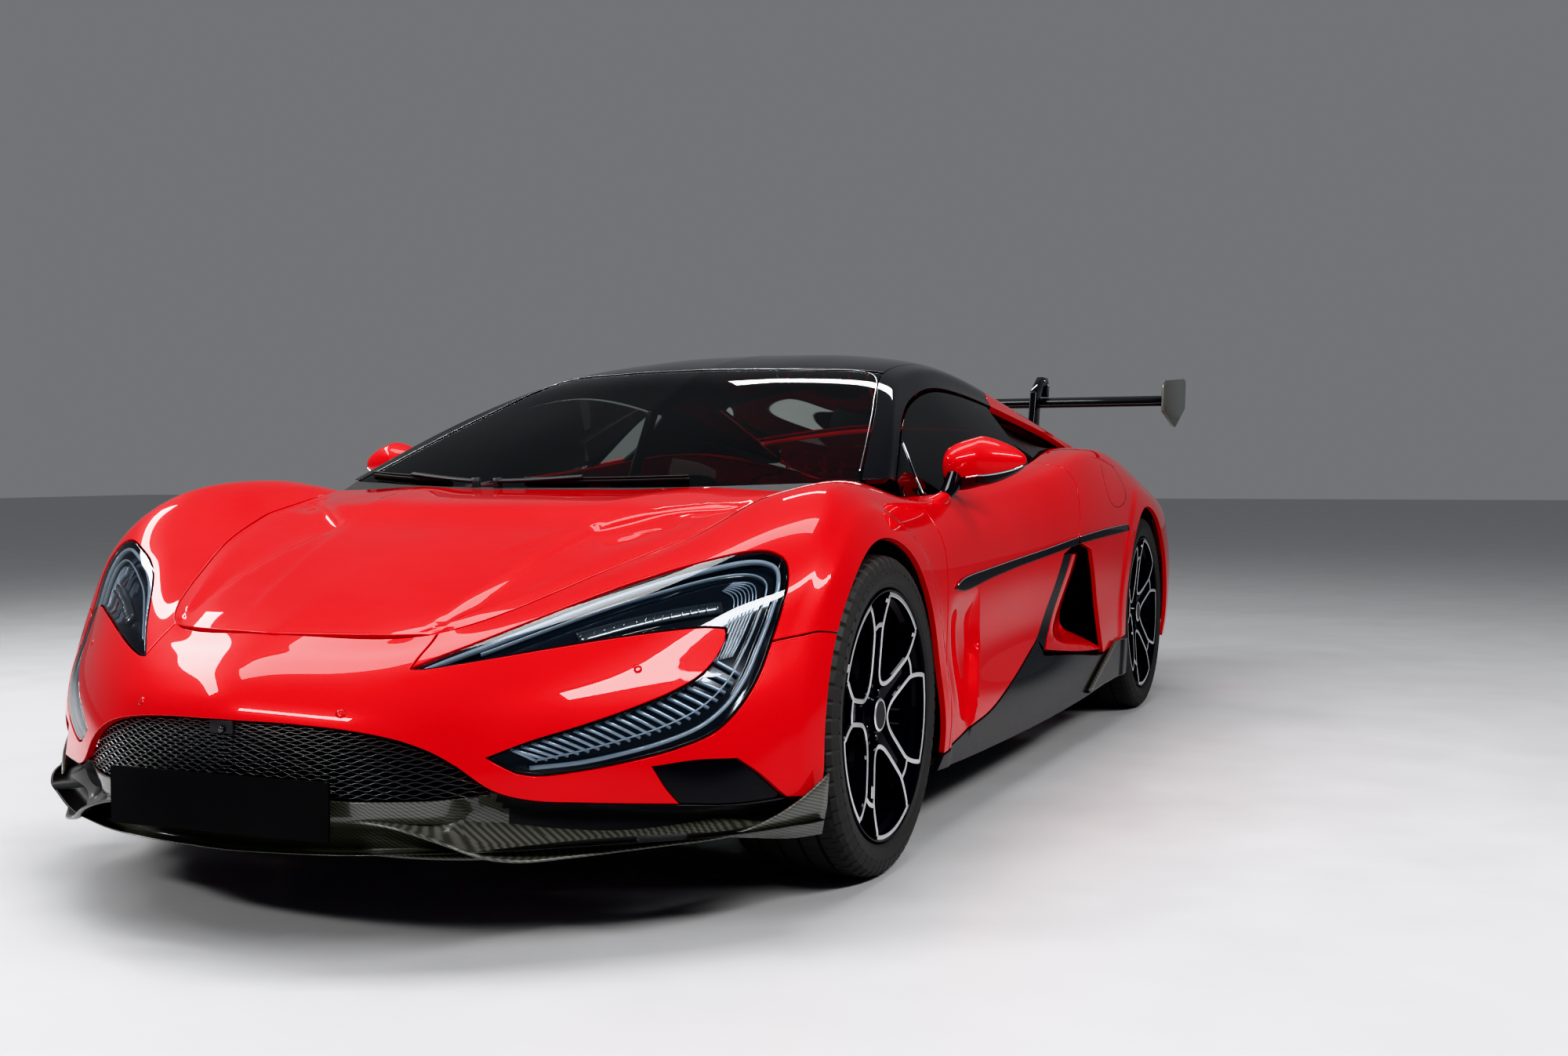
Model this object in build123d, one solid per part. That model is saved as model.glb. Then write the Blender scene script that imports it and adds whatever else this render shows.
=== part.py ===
"""Electric supercar: a two-seat mid-cab coupe built as separate body panels, glass, tub, running gear and wheels.

Row frame, millimetres: origin on the floor under the middle of the car's length, +Z up, the nose towards -Y and
the car's own left side towards +X.  The left half is drawn and the right half is its mirror image.
"""

from build123d import *
import math
import os

# ---- overall sizes ----
LENGTH = 4966.0
WIDTH = 2029.0
HEIGHT = 1295.0
WHEELBASE = 2900.0
FRONT_OVERHANG = 1060.0
REAR_OVERHANG = LENGTH - WHEELBASE - FRONT_OVERHANG
FRONT_AXLE_Y = -LENGTH / 2 + FRONT_OVERHANG
REAR_AXLE_Y = FRONT_AXLE_Y + WHEELBASE

# ---- wheels and running gear ----
TYRE_RADIUS = 363.0
RIM_RADIUS = 268.0
FRONT_TYRE_WIDTH = 275.0
REAR_TYRE_WIDTH = 325.0
FRONT_WHEEL_X = 850.0
REAR_WHEEL_X = 836.0
ARCH_GAP = 35.0
DISC_RADIUS = 198.0
DISC_WIDTH = 34.0
DISC_INSET = 12.0
HUB_RADIUS = 62.0
SPINDLE_RADIUS = 24.0
RUNNING_GAP = 0.1
HUB_BACK = 14.0
ARM_DROP = 226.0
ARM_EYE = 18.0
LUG_THICK = 10.0
BALL_PIN = 7.0
BARREL_WALL = 9.0
SPOKES = 5
ARM_RADIUS = 15.0
STEER_ANGLE = 30.0

# ---- door hinges: a leaning axis lifts the doors as they swing out ----
DOOR_AXIS_POINT = (920.0, -980.0, 735.0)
DOOR_AXIS = (0.1, -0.4, -1.0)
DOOR_SWING = 60.0
DOOR_GAP = 7.0
HINGE_RADIUS = 10.0
HINGE_PIN = 5.0
HINGE_EYE = 16.0
HINGE_BOSS = 24.0
HINGE_ARM = 8.0
HINGE_REACH = 82.0
HINGE_SWEEP = 125.0
HINGE_CLEARANCE = 0.08

# ---- bonnet hinge ----
BONNET_AXIS_Y = -1195.0
BONNET_AXIS_Z = 856.0
BONNET_EYE_X = 560.0
BONNET_PIN = 4.0

# ---- panels ----
SKIN = 22.0
DOOR_DEPTH = 120.0
DOOR_HEM = 18.0
LID_DEPTH = 26.0
GLASS = 5.0
SHUT_GAP = 5.0
FIT_GAP = 0.3
PILLAR = 34.0
WINDOW_SEAT = 4.0

# ---- tub and cabin ----
FLOOR_Z = 115.0
FLOOR_THICK = 22.0
TUB_HALF_WIDTH = 832.0
SILL_WIDTH = 88.0
SILL_HEIGHT = 190.0
DASH_Y = -790.0
FRONT_BULKHEAD_Y = -1012.0
REAR_BULKHEAD_Y = 545.0
BULKHEAD = 24.0
BATTERY_HEIGHT = 96.0
SEAT_X = 370.0
SEAT_WIDTH = 500.0

# ---- wing ----
WING_Z = 1191.0
WING_HALF_SPAN = 930.0
WING_CHORD = 265.0
WING_Y = 2325.0
WING_THICK = 26.0
END_PLATE = 16.0
NECK_X = 385.0
NECK_WIDTH = 20.0

# The body lines are drawn for these sizes and stretched to the ones above.
DRAWN = {"half_width": 1014.5, "height": 1295.0, "front_axle": -1423.0, "rear_axle": 1477.0,
         "front_overhang": 1060.0, "rear_overhang": 1006.0}

# Feature lines of the body side, lowest first: station -> (x, y, z) in drawn millimetres.
# Stations run round the car: 0 nose centre, 5 lamp corner, 8 front axle, 10 door front, 13 door rear,
# 16 rear axle, 19 tail corner, 21 tail centre.
BODY_LINES = {
    "hem": {0: (0, -2440, 190), 2: (330, -2400, 200), 4: (700, -2150, 205), 5: (875, -2000, 205),
            6: (965, -1850, 210), 8: (975, -1423, 200), 10: (975, -900, 165), 13: (985, 450, 150),
            15: (990, 1160, 180), 16: (990, 1477, 200), 17: (985, 1850, 230), 18: (960, 2120, 260),
            19: (880, 2330, 290), 20: (520, 2410, 330), 21: (0, 2430, 340)},
    "low": {0: (0, -2465, 300), 2: (330, -2415, 300), 4: (712, -2140, 300), 5: (890, -1985, 300),
            6: (975, -1840, 300), 8: (985, -1423, 300), 10: (985, -900, 290), 13: (985, 450, 270),
            15: (1000, 1160, 300), 16: (1005, 1477, 300), 17: (1000, 1850, 330), 18: (970, 2130, 350),
            19: (885, 2350, 400), 20: (520, 2440, 430), 21: (0, 2455, 440)},
    "mid": {0: (0, -2480, 390), 2: (335, -2405, 390), 4: (715, -2125, 420), 5: (895, -1955, 440),
            6: (980, -1830, 450), 8: (992, -1423, 450), 10: (965, -900, 440), 12: (950, 50, 430),
            13: (975, 450, 430), 15: (1005, 1160, 460), 16: (1013, 1477, 460), 17: (1005, 1850, 480),
            18: (975, 2140, 490), 19: (885, 2362, 520), 20: (520, 2455, 530), 21: (0, 2470, 540)},
    "waist": {0: (0, -2483, 455), 2: (335, -2380, 465), 4: (705, -2085, 520), 5: (880, -1900, 560),
              6: (968, -1805, 590), 8: (992, -1423, 620), 10: (960, -900, 600), 12: (960, 50, 600),
              13: (985, 450, 610), 15: (1008, 1160, 620), 16: (1014.5, 1477, 630), 17: (1000, 1850, 630),
              18: (965, 2140, 630), 19: (875, 2365, 640), 20: (510, 2463, 650), 21: (0, 2483, 660)},
    "shoulder": {0: (0, -2450, 510), 2: (335, -2335, 520), 4: (706, -2015, 620), 5: (862, -1855, 680),
                 6: (946, -1770, 715), 8: (965, -1423, 775), 10: (945, -900, 730), 12: (950, 50, 745),
                 13: (975, 450, 780), 15: (990, 1160, 800), 16: (992, 1477, 795), 17: (975, 1850, 770),
                 18: (935, 2140, 750), 19: (855, 2350, 745), 20: (500, 2445, 760), 21: (0, 2465, 770)},
    "crown": {0: (0, -2400, 550), 2: (332, -2290, 556), 4: (695, -1960, 680), 5: (825, -1795, 768),
              6: (890, -1690, 815), 8: (872, -1423, 885), 9: (855, -1180, 878), 10: (890, -900, 815),
              12: (905, 50, 845), 13: (925, 450, 890), 14: (915, 850, 945), 15: (905, 1160, 955),
              16: (890, 1477, 940), 17: (865, 1850, 890), 18: (840, 2140, 840), 19: (790, 2330, 810),
              20: (480, 2420, 835), 21: (0, 2440, 850)},
    "inner": {0: (0, -2355, 577), 2: (330, -2255, 578), 4: (650, -1900, 720), 5: (720, -1760, 785),
              6: (745, -1650, 835), 8: (752, -1423, 872), 9: (765, -1180, 880), 10: (852, -900, 834),
              12: (868, 50, 878), 13: (865, 450, 918), 14: (845, 850, 970), 15: (830, 1160, 985),
              16: (805, 1477, 965), 17: (780, 1850, 915), 18: (755, 2140, 870), 19: (700, 2310, 845),
              20: (440, 2390, 870), 21: (0, 2405, 880)},
    "edge": {0: (0, -2319, 597), 2: (327, -2228, 597), 4: (520, -1900, 705), 5: (588, -1750, 752),
             6: (630, -1600, 792), 8: (660, -1423, 826), 9: (690, -1180, 862), 10: (818, -900, 840),
             12: (842, 50, 893), 13: (815, 450, 927), 14: (770, 850, 972), 15: (735, 1160, 985),
             16: (700, 1477, 962), 17: (670, 1850, 922), 18: (645, 2140, 887), 19: (600, 2280, 868),
             20: (400, 2350, 888), 21: (0, 2365, 898)},
}

# Feature lines of the cab, from its centre outwards: station -> (x, y, z).
# Stations: 0 screen base, 3 header, 4 roof top, 6 rear window, 9 tail of the buttress.
CAB_LINES = {
    "centre": {0: (0, -1193, 870), 1: (0, -860, 1008), 2: (0, -540, 1134), 3: (0, -297, 1222),
               4: (0, 200, 1295), 5: (0, 600, 1280), 6: (0, 1000, 1228), 7: (0, 1400, 1140),
               8: (0, 1750, 1030), 9: (0, 2050, 932)},
    "quarter": {0: (360, -1150, 872), 1: (335, -835, 1006), 2: (308, -530, 1124), 3: (280, -282, 1217),
                4: (285, 200, 1286), 5: (285, 600, 1270), 6: (285, 1000, 1214), 7: (285, 1400, 1125),
                8: (285, 1750, 1018), 9: (285, 2050, 926)},
    "rail": {0: (765, -1010, 884), 1: (700, -765, 990), 2: (625, -500, 1098), 3: (540, -215, 1203),
             4: (522, 200, 1248), 5: (530, 600, 1222), 6: (560, 1000, 1150), 7: (602, 1370, 1068),
             8: (645, 1740, 990), 9: (680, 2020, 925)},
    "frame": {0: (822, -905, 880), 1: (775, -740, 965), 2: (702, -499, 1063), 3: (650, -246, 1128),
              4: (622, 60, 1166), 5: (628, 460, 1142), 6: (655, 850, 1090), 7: (690, 1240, 1030),
              8: (680, 1650, 968), 9: (662, 1990, 912)},
    "belt": {0: (830, -885, 842), 1: (845, -700, 846), 2: (850, -480, 856), 3: (850, -240, 870),
             4: (842, 60, 893), 5: (816, 460, 927), 6: (770, 850, 971), 7: (728, 1220, 980),
             8: (693, 1560, 955), 9: (664, 1930, 912)},
}

HEM, LOW, MID, WAIST, SHOULDER, CROWN, INNER, EDGE = range(8)
CENTRE, QUARTER, RAIL, FRAME, BELT = range(5)


# ---- shape helpers ----
def at(x, y, z):
    """Stretches a drawn point to the sizes at the top of the file."""
    if y < DRAWN["front_axle"]:
        new_y = FRONT_AXLE_Y + (y - DRAWN["front_axle"]) * FRONT_OVERHANG / DRAWN["front_overhang"]
    elif y > DRAWN["rear_axle"]:
        new_y = REAR_AXLE_Y + (y - DRAWN["rear_axle"]) * REAR_OVERHANG / DRAWN["rear_overhang"]
    else:
        drawn_base = DRAWN["rear_axle"] - DRAWN["front_axle"]
        new_y = FRONT_AXLE_Y + (y - DRAWN["front_axle"]) * WHEELBASE / drawn_base
    return Vector(x * WIDTH / 2 / DRAWN["half_width"], new_y, z * HEIGHT / DRAWN["height"])


def along(keys, t):
    """Smooth curve (Catmull-Rom) through sparse keys {parameter: tuple}."""
    names = sorted(keys)
    t = max(names[0], min(names[-1], t))
    i = max(j for j in range(len(names) - 1) if t >= names[j])
    t1, t2 = names[i], names[i + 1]
    p1, p2 = keys[t1], keys[t2]
    t0, p0 = (names[i - 1], keys[names[i - 1]]) if i > 0 else (2 * t1 - t2, beyond(p1, p2))
    last = i + 2 < len(names)
    t3, p3 = (names[i + 2], keys[names[i + 2]]) if last else (2 * t2 - t1, beyond(p2, p1))
    a1, a2, a3 = between(p0, p1, t0, t1, t), between(p1, p2, t1, t2, t), between(p2, p3, t2, t3, t)
    return between(between(a1, a2, t0, t2, t), between(a2, a3, t1, t3, t), t1, t2, t)


def between(p, q, tp, tq, t):
    """Straight interpolation from p at tp to q at tq."""
    w = (t - tp) / (tq - tp)
    return tuple(a + (b - a) * w for a, b in zip(p, q))


def beyond(p, q):
    """The point that mirrors q through p."""
    return tuple(2 * a - b for a, b in zip(p, q))


def body_point(s, k):
    """Point of the body side at station s (negative on the right) and line k."""
    x, y, z = along({i: along(line, abs(s)) for i, line in enumerate(BODY_LINES.values())}, k)
    return at(math.copysign(x, s), y, z)


def cab_point(c, k):
    """Point of the cab at station c and line k (negative on the right)."""
    x, y, z = along({i: along(line, c) for i, line in enumerate(CAB_LINES.values())}, abs(k))
    return at(math.copysign(x, k), y, z)


BONNET_CENTRE = {0: (597,), 0.28: (708,), 0.55: (783,), 0.8: (836,), 1: (866,)}
BONNET_RIDGE = 9.0


def bonnet_point(u, v):
    """Point of the bonnet: u runs from -1 to 1 across, v from 0 at the nose to 1 at the screen."""
    edge_x, edge_y, edge_z = along(BODY_LINES["edge"], 2 + 7 * v)
    front_y = along(BODY_LINES["edge"], 2 * abs(u))[1] - along(BODY_LINES["edge"], 2)[1]
    rear_y = -35.0 * (1 - u * u)
    y = edge_y + front_y * (1 - v) + rear_y * v
    centre_z = along(BONNET_CENTRE, v)[0]
    bump = BONNET_RIDGE * math.sin(math.pi * min(1, v * 1.6)) if v < 0.6 else BONNET_RIDGE
    ridge = bump * math.exp(-(((abs(u) - 0.62) / 0.16) ** 2))
    fall = abs(u) ** 4
    return at(u * edge_x, y, centre_z + (edge_z - centre_z) * fall + ridge * (1 - fall))


def steps(a, b, step):
    """Evenly spaced values from a to b, about step apart."""
    n = max(1, round(abs(b - a) / step))
    return [a + (b - a) * i / n for i in range(n + 1)]


def triangle(a, b, c):
    """Flat three-sided face."""
    return Face(Wire.make_polygon([a, b, c], close=True))


def thick_grid(outer, inner):
    """Closed solid between two equal grids of points; outer's normals point away from inner."""
    rows, cols = len(outer), len(outer[0])
    faces = []
    for i in range(rows - 1):
        for j in range(cols - 1):
            for grid, turn in ((outer, False), (inner, True)):
                a, b, c, d = grid[i][j], grid[i + 1][j], grid[i + 1][j + 1], grid[i][j + 1]
                faces += [triangle(a, c, b), triangle(a, d, c)] if turn else [triangle(a, b, c), triangle(a, c, d)]
    rim = [(i, 0) for i in range(rows)] + [(rows - 1, j) for j in range(1, cols)]
    rim += [(i, cols - 1) for i in range(rows - 2, -1, -1)] + [(0, j) for j in range(cols - 2, 0, -1)]
    for (i, j), (k, m) in zip(rim, rim[1:] + rim[:1]):
        a, b, c, d = outer[i][j], outer[k][m], inner[k][m], inner[i][j]
        faces += [triangle(a, c, b), triangle(a, d, c)]
    solid = Solid(Shell(faces))
    return solid if solid.volume > 0 else Solid(solid.wrapped.Reversed())


def skin_panel(point, s_values, k_values, depth, inward=None):
    """Panel of a surface, depth thick along its normal, or along the vector inward."""
    small = 0.02
    outer, inner = [], []
    for s in s_values:
        outer.append([point(s, k) for k in k_values])
        row = []
        for k, p in zip(k_values, outer[-1]):
            if inward is None:
                across = (point(s + small, k) - point(s - small, k)).cross(
                    point(s, k + small) - point(s, k - small))
                row.append(p - across.normalized() * depth)
            else:
                row.append(p + inward * depth)
        inner.append(row)
    return thick_grid(outer, inner)


def side_prism(outline, x0, x1):
    """Prism across the car from a side-view outline of drawn (y, z)."""
    points = [at(0, y, z) for y, z in outline]
    face = Face(Wire.make_polygon([Vector(x0, p.Y, p.Z) for p in points], close=True))
    return extrude(face, x1 - x0, dir=(1, 0, 0))


def front_prism(outline, y0, y1):
    """Prism along the car from a front-view outline of drawn (x, z)."""
    points = [at(x, 0, z) for x, z in outline]
    face = Face(Wire.make_polygon([Vector(p.X, y0, p.Z) for p in points], close=True))
    return extrude(face, y1 - y0, dir=(0, 1, 0))


def block(x0, x1, y0, y1, z0, z1):
    """Box between six planes."""
    return Pos((x0 + x1) / 2, (y0 + y1) / 2, (z0 + z1) / 2) * Box(x1 - x0, y1 - y0, z1 - z0)


def axle_cylinder(x0, x1, y, z, radius):
    """Cylinder along X."""
    return Pos((x0 + x1) / 2, y, z) * Rot(0, 90, 0) * Cylinder(radius, x1 - x0)


def bar(a, b, radius):
    """Round bar from a to b."""
    a, b = Vector(*a), Vector(*b)
    return Plane(origin=(a + b) / 2, z_dir=b - a) * Cylinder(radius, (b - a).length)


def right(shape):
    """Mirror image on the car's right side."""
    return mirror(shape, about=Plane.YZ)


def both(shape):
    """A left piece and its mirror image, in one node."""
    return Compound(children=[*solids(shape), *solids(right(shape))])


def solids(shape):
    """The solids of a shape, largest first."""
    return sorted(shape.solids(), key=lambda s: -s.volume)


def largest(shape):
    """The largest solid of a cut shape."""
    return solids(shape)[0]


ARCH_RADIUS = TYRE_RADIUS + ARCH_GAP


def arch_cut(axle_y):
    """Opening of one wheel arch, from the flank inwards and down to the floor."""
    x0, x1 = 560 * WIDTH / 2029, WIDTH
    round_part = axle_cylinder(x0, x1, axle_y, TYRE_RADIUS, ARCH_RADIUS)
    return round_part + block(x0, x1, axle_y - ARCH_RADIUS, axle_y + ARCH_RADIUS, -50, TYRE_RADIUS)


# ---- body shell ----
SHELL_K = [0, 1, 2, 3, 3.5, 4, 4.5, 5, 5.5, 6, 6.5, 7]
NOSE_S = [0, 1, 2, 2.7, 3.4, 4, 4.5, 5, 5.5, 6, 6.5, 7, 7.5, 8, 8.5, 9, 9.4, 9.8]
SIDE_S = [9, 9.4, 9.8, 10.4, 11, 11.7, 12.4, 13, 13.5, 14, 14.5, 15, 15.5, 16, 16.5, 17, 17.5, 18]
TAIL_S = [17, 17.5, 18, 18.5, 19, 19.5, 20, 20.5, 21]

# Seams in side view, drawn (y, z).
FENDER_SEAM = [(-1790, 900), (-1790, 700), (-1740, 655), (-900, 655), (-900, 1000), (-1400, 1100)]
FENDER_TAIL = [(-1300, 100), (-1300, 700), (-900, 700), (-900, 100)]
DOOR_OUTLINE = [(-903, 1000), (-903, 838), (-895, 740), (-898, 640), (-911, 557), (-932, 453), (-958, 364),
                (-985, 215), (-800, 243), (-603, 262), (-387, 304), (-97, 368), (19, 402), (169, 518), (287, 640),
                (436, 675), (472, 738), (510, 812), (545, 872), (536, 902), (470, 924), (452, 1000)]
SKIRT_TOP = [(-1400, 60), (-1400, 150), (-985, 215), (-800, 243), (-603, 262), (-387, 304), (-97, 368), (19, 402),
             (435, 310), (780, 277), (1079, 290), (1300, 290), (1300, 60)]
INTAKE_OUTLINE = [(400, 640), (105, 350), (800, 285), (597, 640)]
TAIL_SEAM = 2010.0

# Front view outlines, drawn (x, z).
LAMP_OUTLINE = [(325, 540), (470, 618), (661, 706), (779, 740), (863, 747), (890, 730), (903, 660), (894, 571),
                (866, 445), (836, 401), (716, 362), (569, 340), (497, 376), (631, 427), (764, 485), (817, 549),
                (823, 596), (678, 593), (470, 560)]
MOUTH_OUTLINE = [(-430, 300), (-471, 327), (-439, 366), (-402, 388), (-341, 414), (-253, 431), (0, 446), (253, 431),
                 (341, 414), (402, 388), (439, 366), (471, 327), (430, 300)]
CHIN_OUTLINE = [(0, 300), (430, 300), (471, 327), (439, 366), (501, 313), (555, 288), (650, 279), (786, 266),
                (939, 259), (1200, 258), (1200, 0), (0, 0)]
INLET_OUTLINE = [(743, 342), (869, 348), (939, 259), (1000, 240), (786, 260)]


def nose_shell():
    """Skin of the left front of the body from the nose to the door."""
    return skin_panel(body_point, NOSE_S, SHELL_K, SKIN)


def side_shell(depth, inward=None):
    """Skin of the left flank from the door's front to the tail corner."""
    return skin_panel(body_point, SIDE_S, SHELL_K, depth, inward)


def tail_shell():
    """Skin of the left rear corner and half of the tail."""
    return skin_panel(body_point, TAIL_S, SHELL_K, SKIN)


def door_zone(margin=0.0):
    """Door outline as a side prism, grown by margin."""
    points = [at(0, y, z) for y, z in DOOR_OUTLINE]
    face = Face(Wire.make_polygon([Vector(400, p.Y, p.Z) for p in points], close=True))
    if margin:
        face = offset(face, margin, kind=Kind.INTERSECTION).faces()[0]
    return extrude(face, WIDTH, dir=(1, 0, 0))


def fender_zone():
    """Region of the front wing: over the arch, and the strip between arch and door."""
    return side_prism(FENDER_SEAM, 0, WIDTH) + side_prism(FENDER_TAIL, 0, WIDTH)


def lamp_zone():
    """Left headlamp outline as a prism along the car."""
    return front_prism(LAMP_OUTLINE, -LENGTH, FRONT_AXLE_Y - 250)


def mouth_zone():
    """Mouth outline as a prism along the car."""
    return front_prism(MOUTH_OUTLINE, -LENGTH, FRONT_AXLE_Y - 500)


def chin_zone():
    """Left half of the carbon chin under the bumper's lip, as a prism along the car."""
    return front_prism(CHIN_OUTLINE, -LENGTH, FRONT_AXLE_Y)


def inlet_zone():
    """Left brake-duct inlet below the lamp."""
    return front_prism(INLET_OUTLINE, -LENGTH, FRONT_AXLE_Y - 420)


def lid_zone():
    """Upright prism over the bonnet, grown by the shut gap."""
    v_values = steps(0, 1, 0.1)
    ring = [bonnet_point_in(u, 0) for u in (-1, -0.72, -0.5, 0, 0.5, 0.72)]
    ring += [bonnet_point_in(1, v) for v in v_values]
    ring += [bonnet_point_in(u, 1) for u in (0.5, 0, -0.5)] + [bonnet_point_in(-1, v) for v in v_values[:0:-1]]
    face = Face(Wire.make_polygon([Vector(p.X, p.Y, 400) for p in ring], close=True))
    face = offset(face, SHUT_GAP, kind=Kind.INTERSECTION).faces()[0]
    return extrude(face, HEIGHT, dir=(0, 0, 1))


def make_front_end(shell):
    """Bumper, front wings, lamps and grille, all cut from one nose shell."""
    shell = largest(shell - lid_zone())
    arch = arch_cut(FRONT_AXLE_Y)
    zone = fender_zone()
    bumper_half = largest(shell - zone - lamp_zone() - mouth_zone() - chin_zone() - inlet_zone() - arch)
    chin = largest((shell & chin_zone()) - zone - arch)
    bumper = bumper_half + right(bumper_half)
    fender = largest((shell & zone) - lamp_zone() - arch - door_zone(DOOR_GAP) - side_prism(SKIRT_TOP, 0, WIDTH))
    lamp = largest(shell & lamp_zone())
    grille_half = largest(shell & mouth_zone())
    grille = Pos(0, SKIN * 0.6, 0) * (grille_half + right(grille_half))
    return {"front_bumper": bumper, "front_fenders": both(fender), "headlamps": both(lamp), "grille": grille,
            "chin": chin + right(chin)}


def make_splitter(chin):
    """Carbon splitter: the blade under the nose, the chin above it and the curled side winglets."""
    outline = [(0, -2440), (250, -2440), (400, -2420), (578, -2396), (664, -2375), (776, -2283), (913, -2062),
               (950, -1914), (960, -1835), (600, -1835), (0, -1835)]
    blade = extrude(Face(Wire.make_polygon([at(x, y, 0) for x, y in outline], close=True)), 22, dir=(0, 0, 1))
    blade = Pos(0, 0, 168) * blade
    tip = side_prism([(-1985, 168), (-1835, 168), (-1835, 262), (-1850, 292), (-1866, 292), (-1900, 225)], 930, 960)
    foot = side_prism([(-2300, 150), (-1850, 150), (-1850, 169), (-2300, 169)], 250, 262)
    pieces = tip + foot
    return blade + right(blade) + pieces + right(pieces) + chin


def make_bonnet():
    """Front lid with its two long ridges and the hinge eyes at its rear corners."""
    u_values = [-1, -0.85, -0.72, -0.62, -0.5, -0.3, 0, 0.3, 0.5, 0.62, 0.72, 0.85, 1]
    lid = skin_panel(bonnet_point_in, u_values, steps(0, 1, 0.1), LID_DEPTH, Vector(0, 0, -1))
    eyes = axle_cylinder(BONNET_EYE_X - 20, BONNET_EYE_X + 20, BONNET_AXIS_Y, BONNET_AXIS_Z, 12)
    bore = axle_cylinder(-WIDTH, WIDTH, BONNET_AXIS_Y, BONNET_AXIS_Z, BONNET_PIN + RUNNING_GAP)
    return lid + eyes + right(eyes) - bore


def bonnet_point_in(u, v):
    """Bonnet surface drawn in by the shut gap on all sides."""
    return bonnet_point(u * 0.985, 0.008 + v * 0.984)


def make_cowl():
    """Panel between the bonnet's rear edge and the screen, with the pins the bonnet turns on."""
    def cowl_point(u, v):
        front = bonnet_point(u, 1) + Vector(0, 10, -2)
        back = cab_point(0, 2 * u)
        return front + (back - front) * v
    u_values = [0, 0.25, 0.5, 0.675, 0.85, 1]
    panel = skin_panel(cowl_point, [-u for u in u_values[:0:-1]] + u_values, [0, 1], SKIN, Vector(0, 0, -1))
    panel = panel + block(-540, 540, -1165, -990, 780, 800) + block(-60, 60, -1160, -1100, 790, 850)
    eye = axle_cylinder(BONNET_EYE_X - 25, BONNET_EYE_X + 25, BONNET_AXIS_Y, BONNET_AXIS_Z, 17)
    pin = axle_cylinder(BONNET_EYE_X - 32, BONNET_EYE_X + 32, BONNET_AXIS_Y, BONNET_AXIS_Z, BONNET_PIN)
    lug = block(25, 32, -1195, -1130, 795, 860)
    lugs = Pos(BONNET_EYE_X, 0, 0) * (lug + right(lug))
    pins = pin + lugs
    return panel - eye - right(eye) + pins + right(pins)


# ---- cab ----
def cab_panel(c_values, k_values, depth):
    """Skin of the cab on the left, outer face up and out."""
    return skin_panel(lambda c, k: cab_point(c, -k), c_values, [-k for k in k_values][::-1], depth)


def cab_both(c_values, k_max, depth):
    """Skin of the cab across the whole width, from rail to rail."""
    k_values = [0, 0.5, 1, 1.35, 1.7, k_max]
    return skin_panel(lambda c, k: cab_point(c, -k), c_values, [-k for k in k_values[:0:-1]] + k_values, depth)


def glass_point(c, k):
    """Side glass surface: k from 0 under the roof frame to 1 at the belt, 2 tucked into the door."""
    top, low = cab_point(c, 3), cab_point(c, 4)
    drop = (low - top).normalized()
    top = top + drop * (SHUT_GAP + 2)
    return (top + (low - top) * min(k, 1)) + drop * (14 * max(0, k - 1))


def make_cab():
    """Windscreen, roof with its pillars, rear window and side glass."""
    screen = cab_both(steps(0, 3, 0.5), 2, GLASS)
    roof = cab_both([3, 3.5, 4, 4.5, 5, 5.5, 6], 2, SKIN)
    window = cab_both([6, 6.5, 7, 7.5], 2, GLASS)
    pillar = cab_panel(steps(0, 5.4, 0.45), [2, 2.5, 3], PILLAR)
    roof = roof + pillar + right(pillar) - screen
    sail = cab_panel([5.4, 6, 6.5, 7, 7.5, 8.2, 8.9], [2, 2.5, 3], SKIN)
    glass_zone = side_prism([(-860, 800), (-850, 950), (-500, 1200), (40, 1300), (446, 1145), (335, 1013),
                             (330, 800)], 0, WIDTH)
    glass = skin_panel(lambda c, k: glass_point(c, -k), steps(0.3, 5.3, 0.5), [-2, -1, -0.5, 0], GLASS) & glass_zone
    return {"windscreen": screen, "roof": roof, "rear_window": window, "sail_panels": both(largest(sail)),
            "glass": largest(glass)}


def make_deck():
    """Engine cover between the sail panels, from the rear window to the tail edge."""
    def deck_point(u, v):
        stations = {0: cab_point(7.515, 2 * u), 1: cab_point(8.9, 2 * u), 2: body_point(21 - 2 * abs(u), 7)}
        end = Vector(math.copysign(stations[2].X, u), stations[2].Y, stations[2].Z)
        stations[2] = end
        i = min(1, int(v))
        return stations[i] + (stations[i + 1] - stations[i]) * (v - i)
    u_values = [-0.98, -0.75, -0.5, -0.25, 0, 0.25, 0.5, 0.75, 0.98]
    return skin_panel(deck_point, u_values, [0, 0.5, 1, 1.5, 2], SKIN, Vector(0, 0, -1))


def make_ducts():
    """Dark wall of the left duct under the buttress, behind the side glass."""
    def duct_point(c, k):
        along_it = math.sin(math.pi * min(1.0, max(0.0, (c - 5.2) / 4.0)) ** 0.7)
        across = math.sin(math.pi * min(1.0, max(0.0, (-k - 2.75) / 1.27))) ** 0.6
        return cab_point(c, -k) + Vector(-8.0 - 90.0 * along_it * across, 0, 0)
    return skin_panel(duct_point, [5.42, 6, 6.5, 7, 7.5, 8, 8.4], [-4.0, -3.8, -3.5, -3.2, -2.95, -2.8], 8)


# ---- doors and mirrors ----
def make_door(glass):
    """Left door: outer skin and inner trim as one thick panel, slotted for its glass."""
    inward = Vector(-1, 0, 0)

    def layer(depth, margin):
        rear = skin_panel(body_point, SIDE_S[2:], SHELL_K, depth, inward)
        front = skin_panel(body_point, SIDE_S[:3], SHELL_K[:8], depth, inward)
        return (rear + front) & door_zone(margin)
    return largest(layer(SKIN, 0.0) + layer(DOOR_DEPTH, -DOOR_HEM) - glass)


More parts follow.
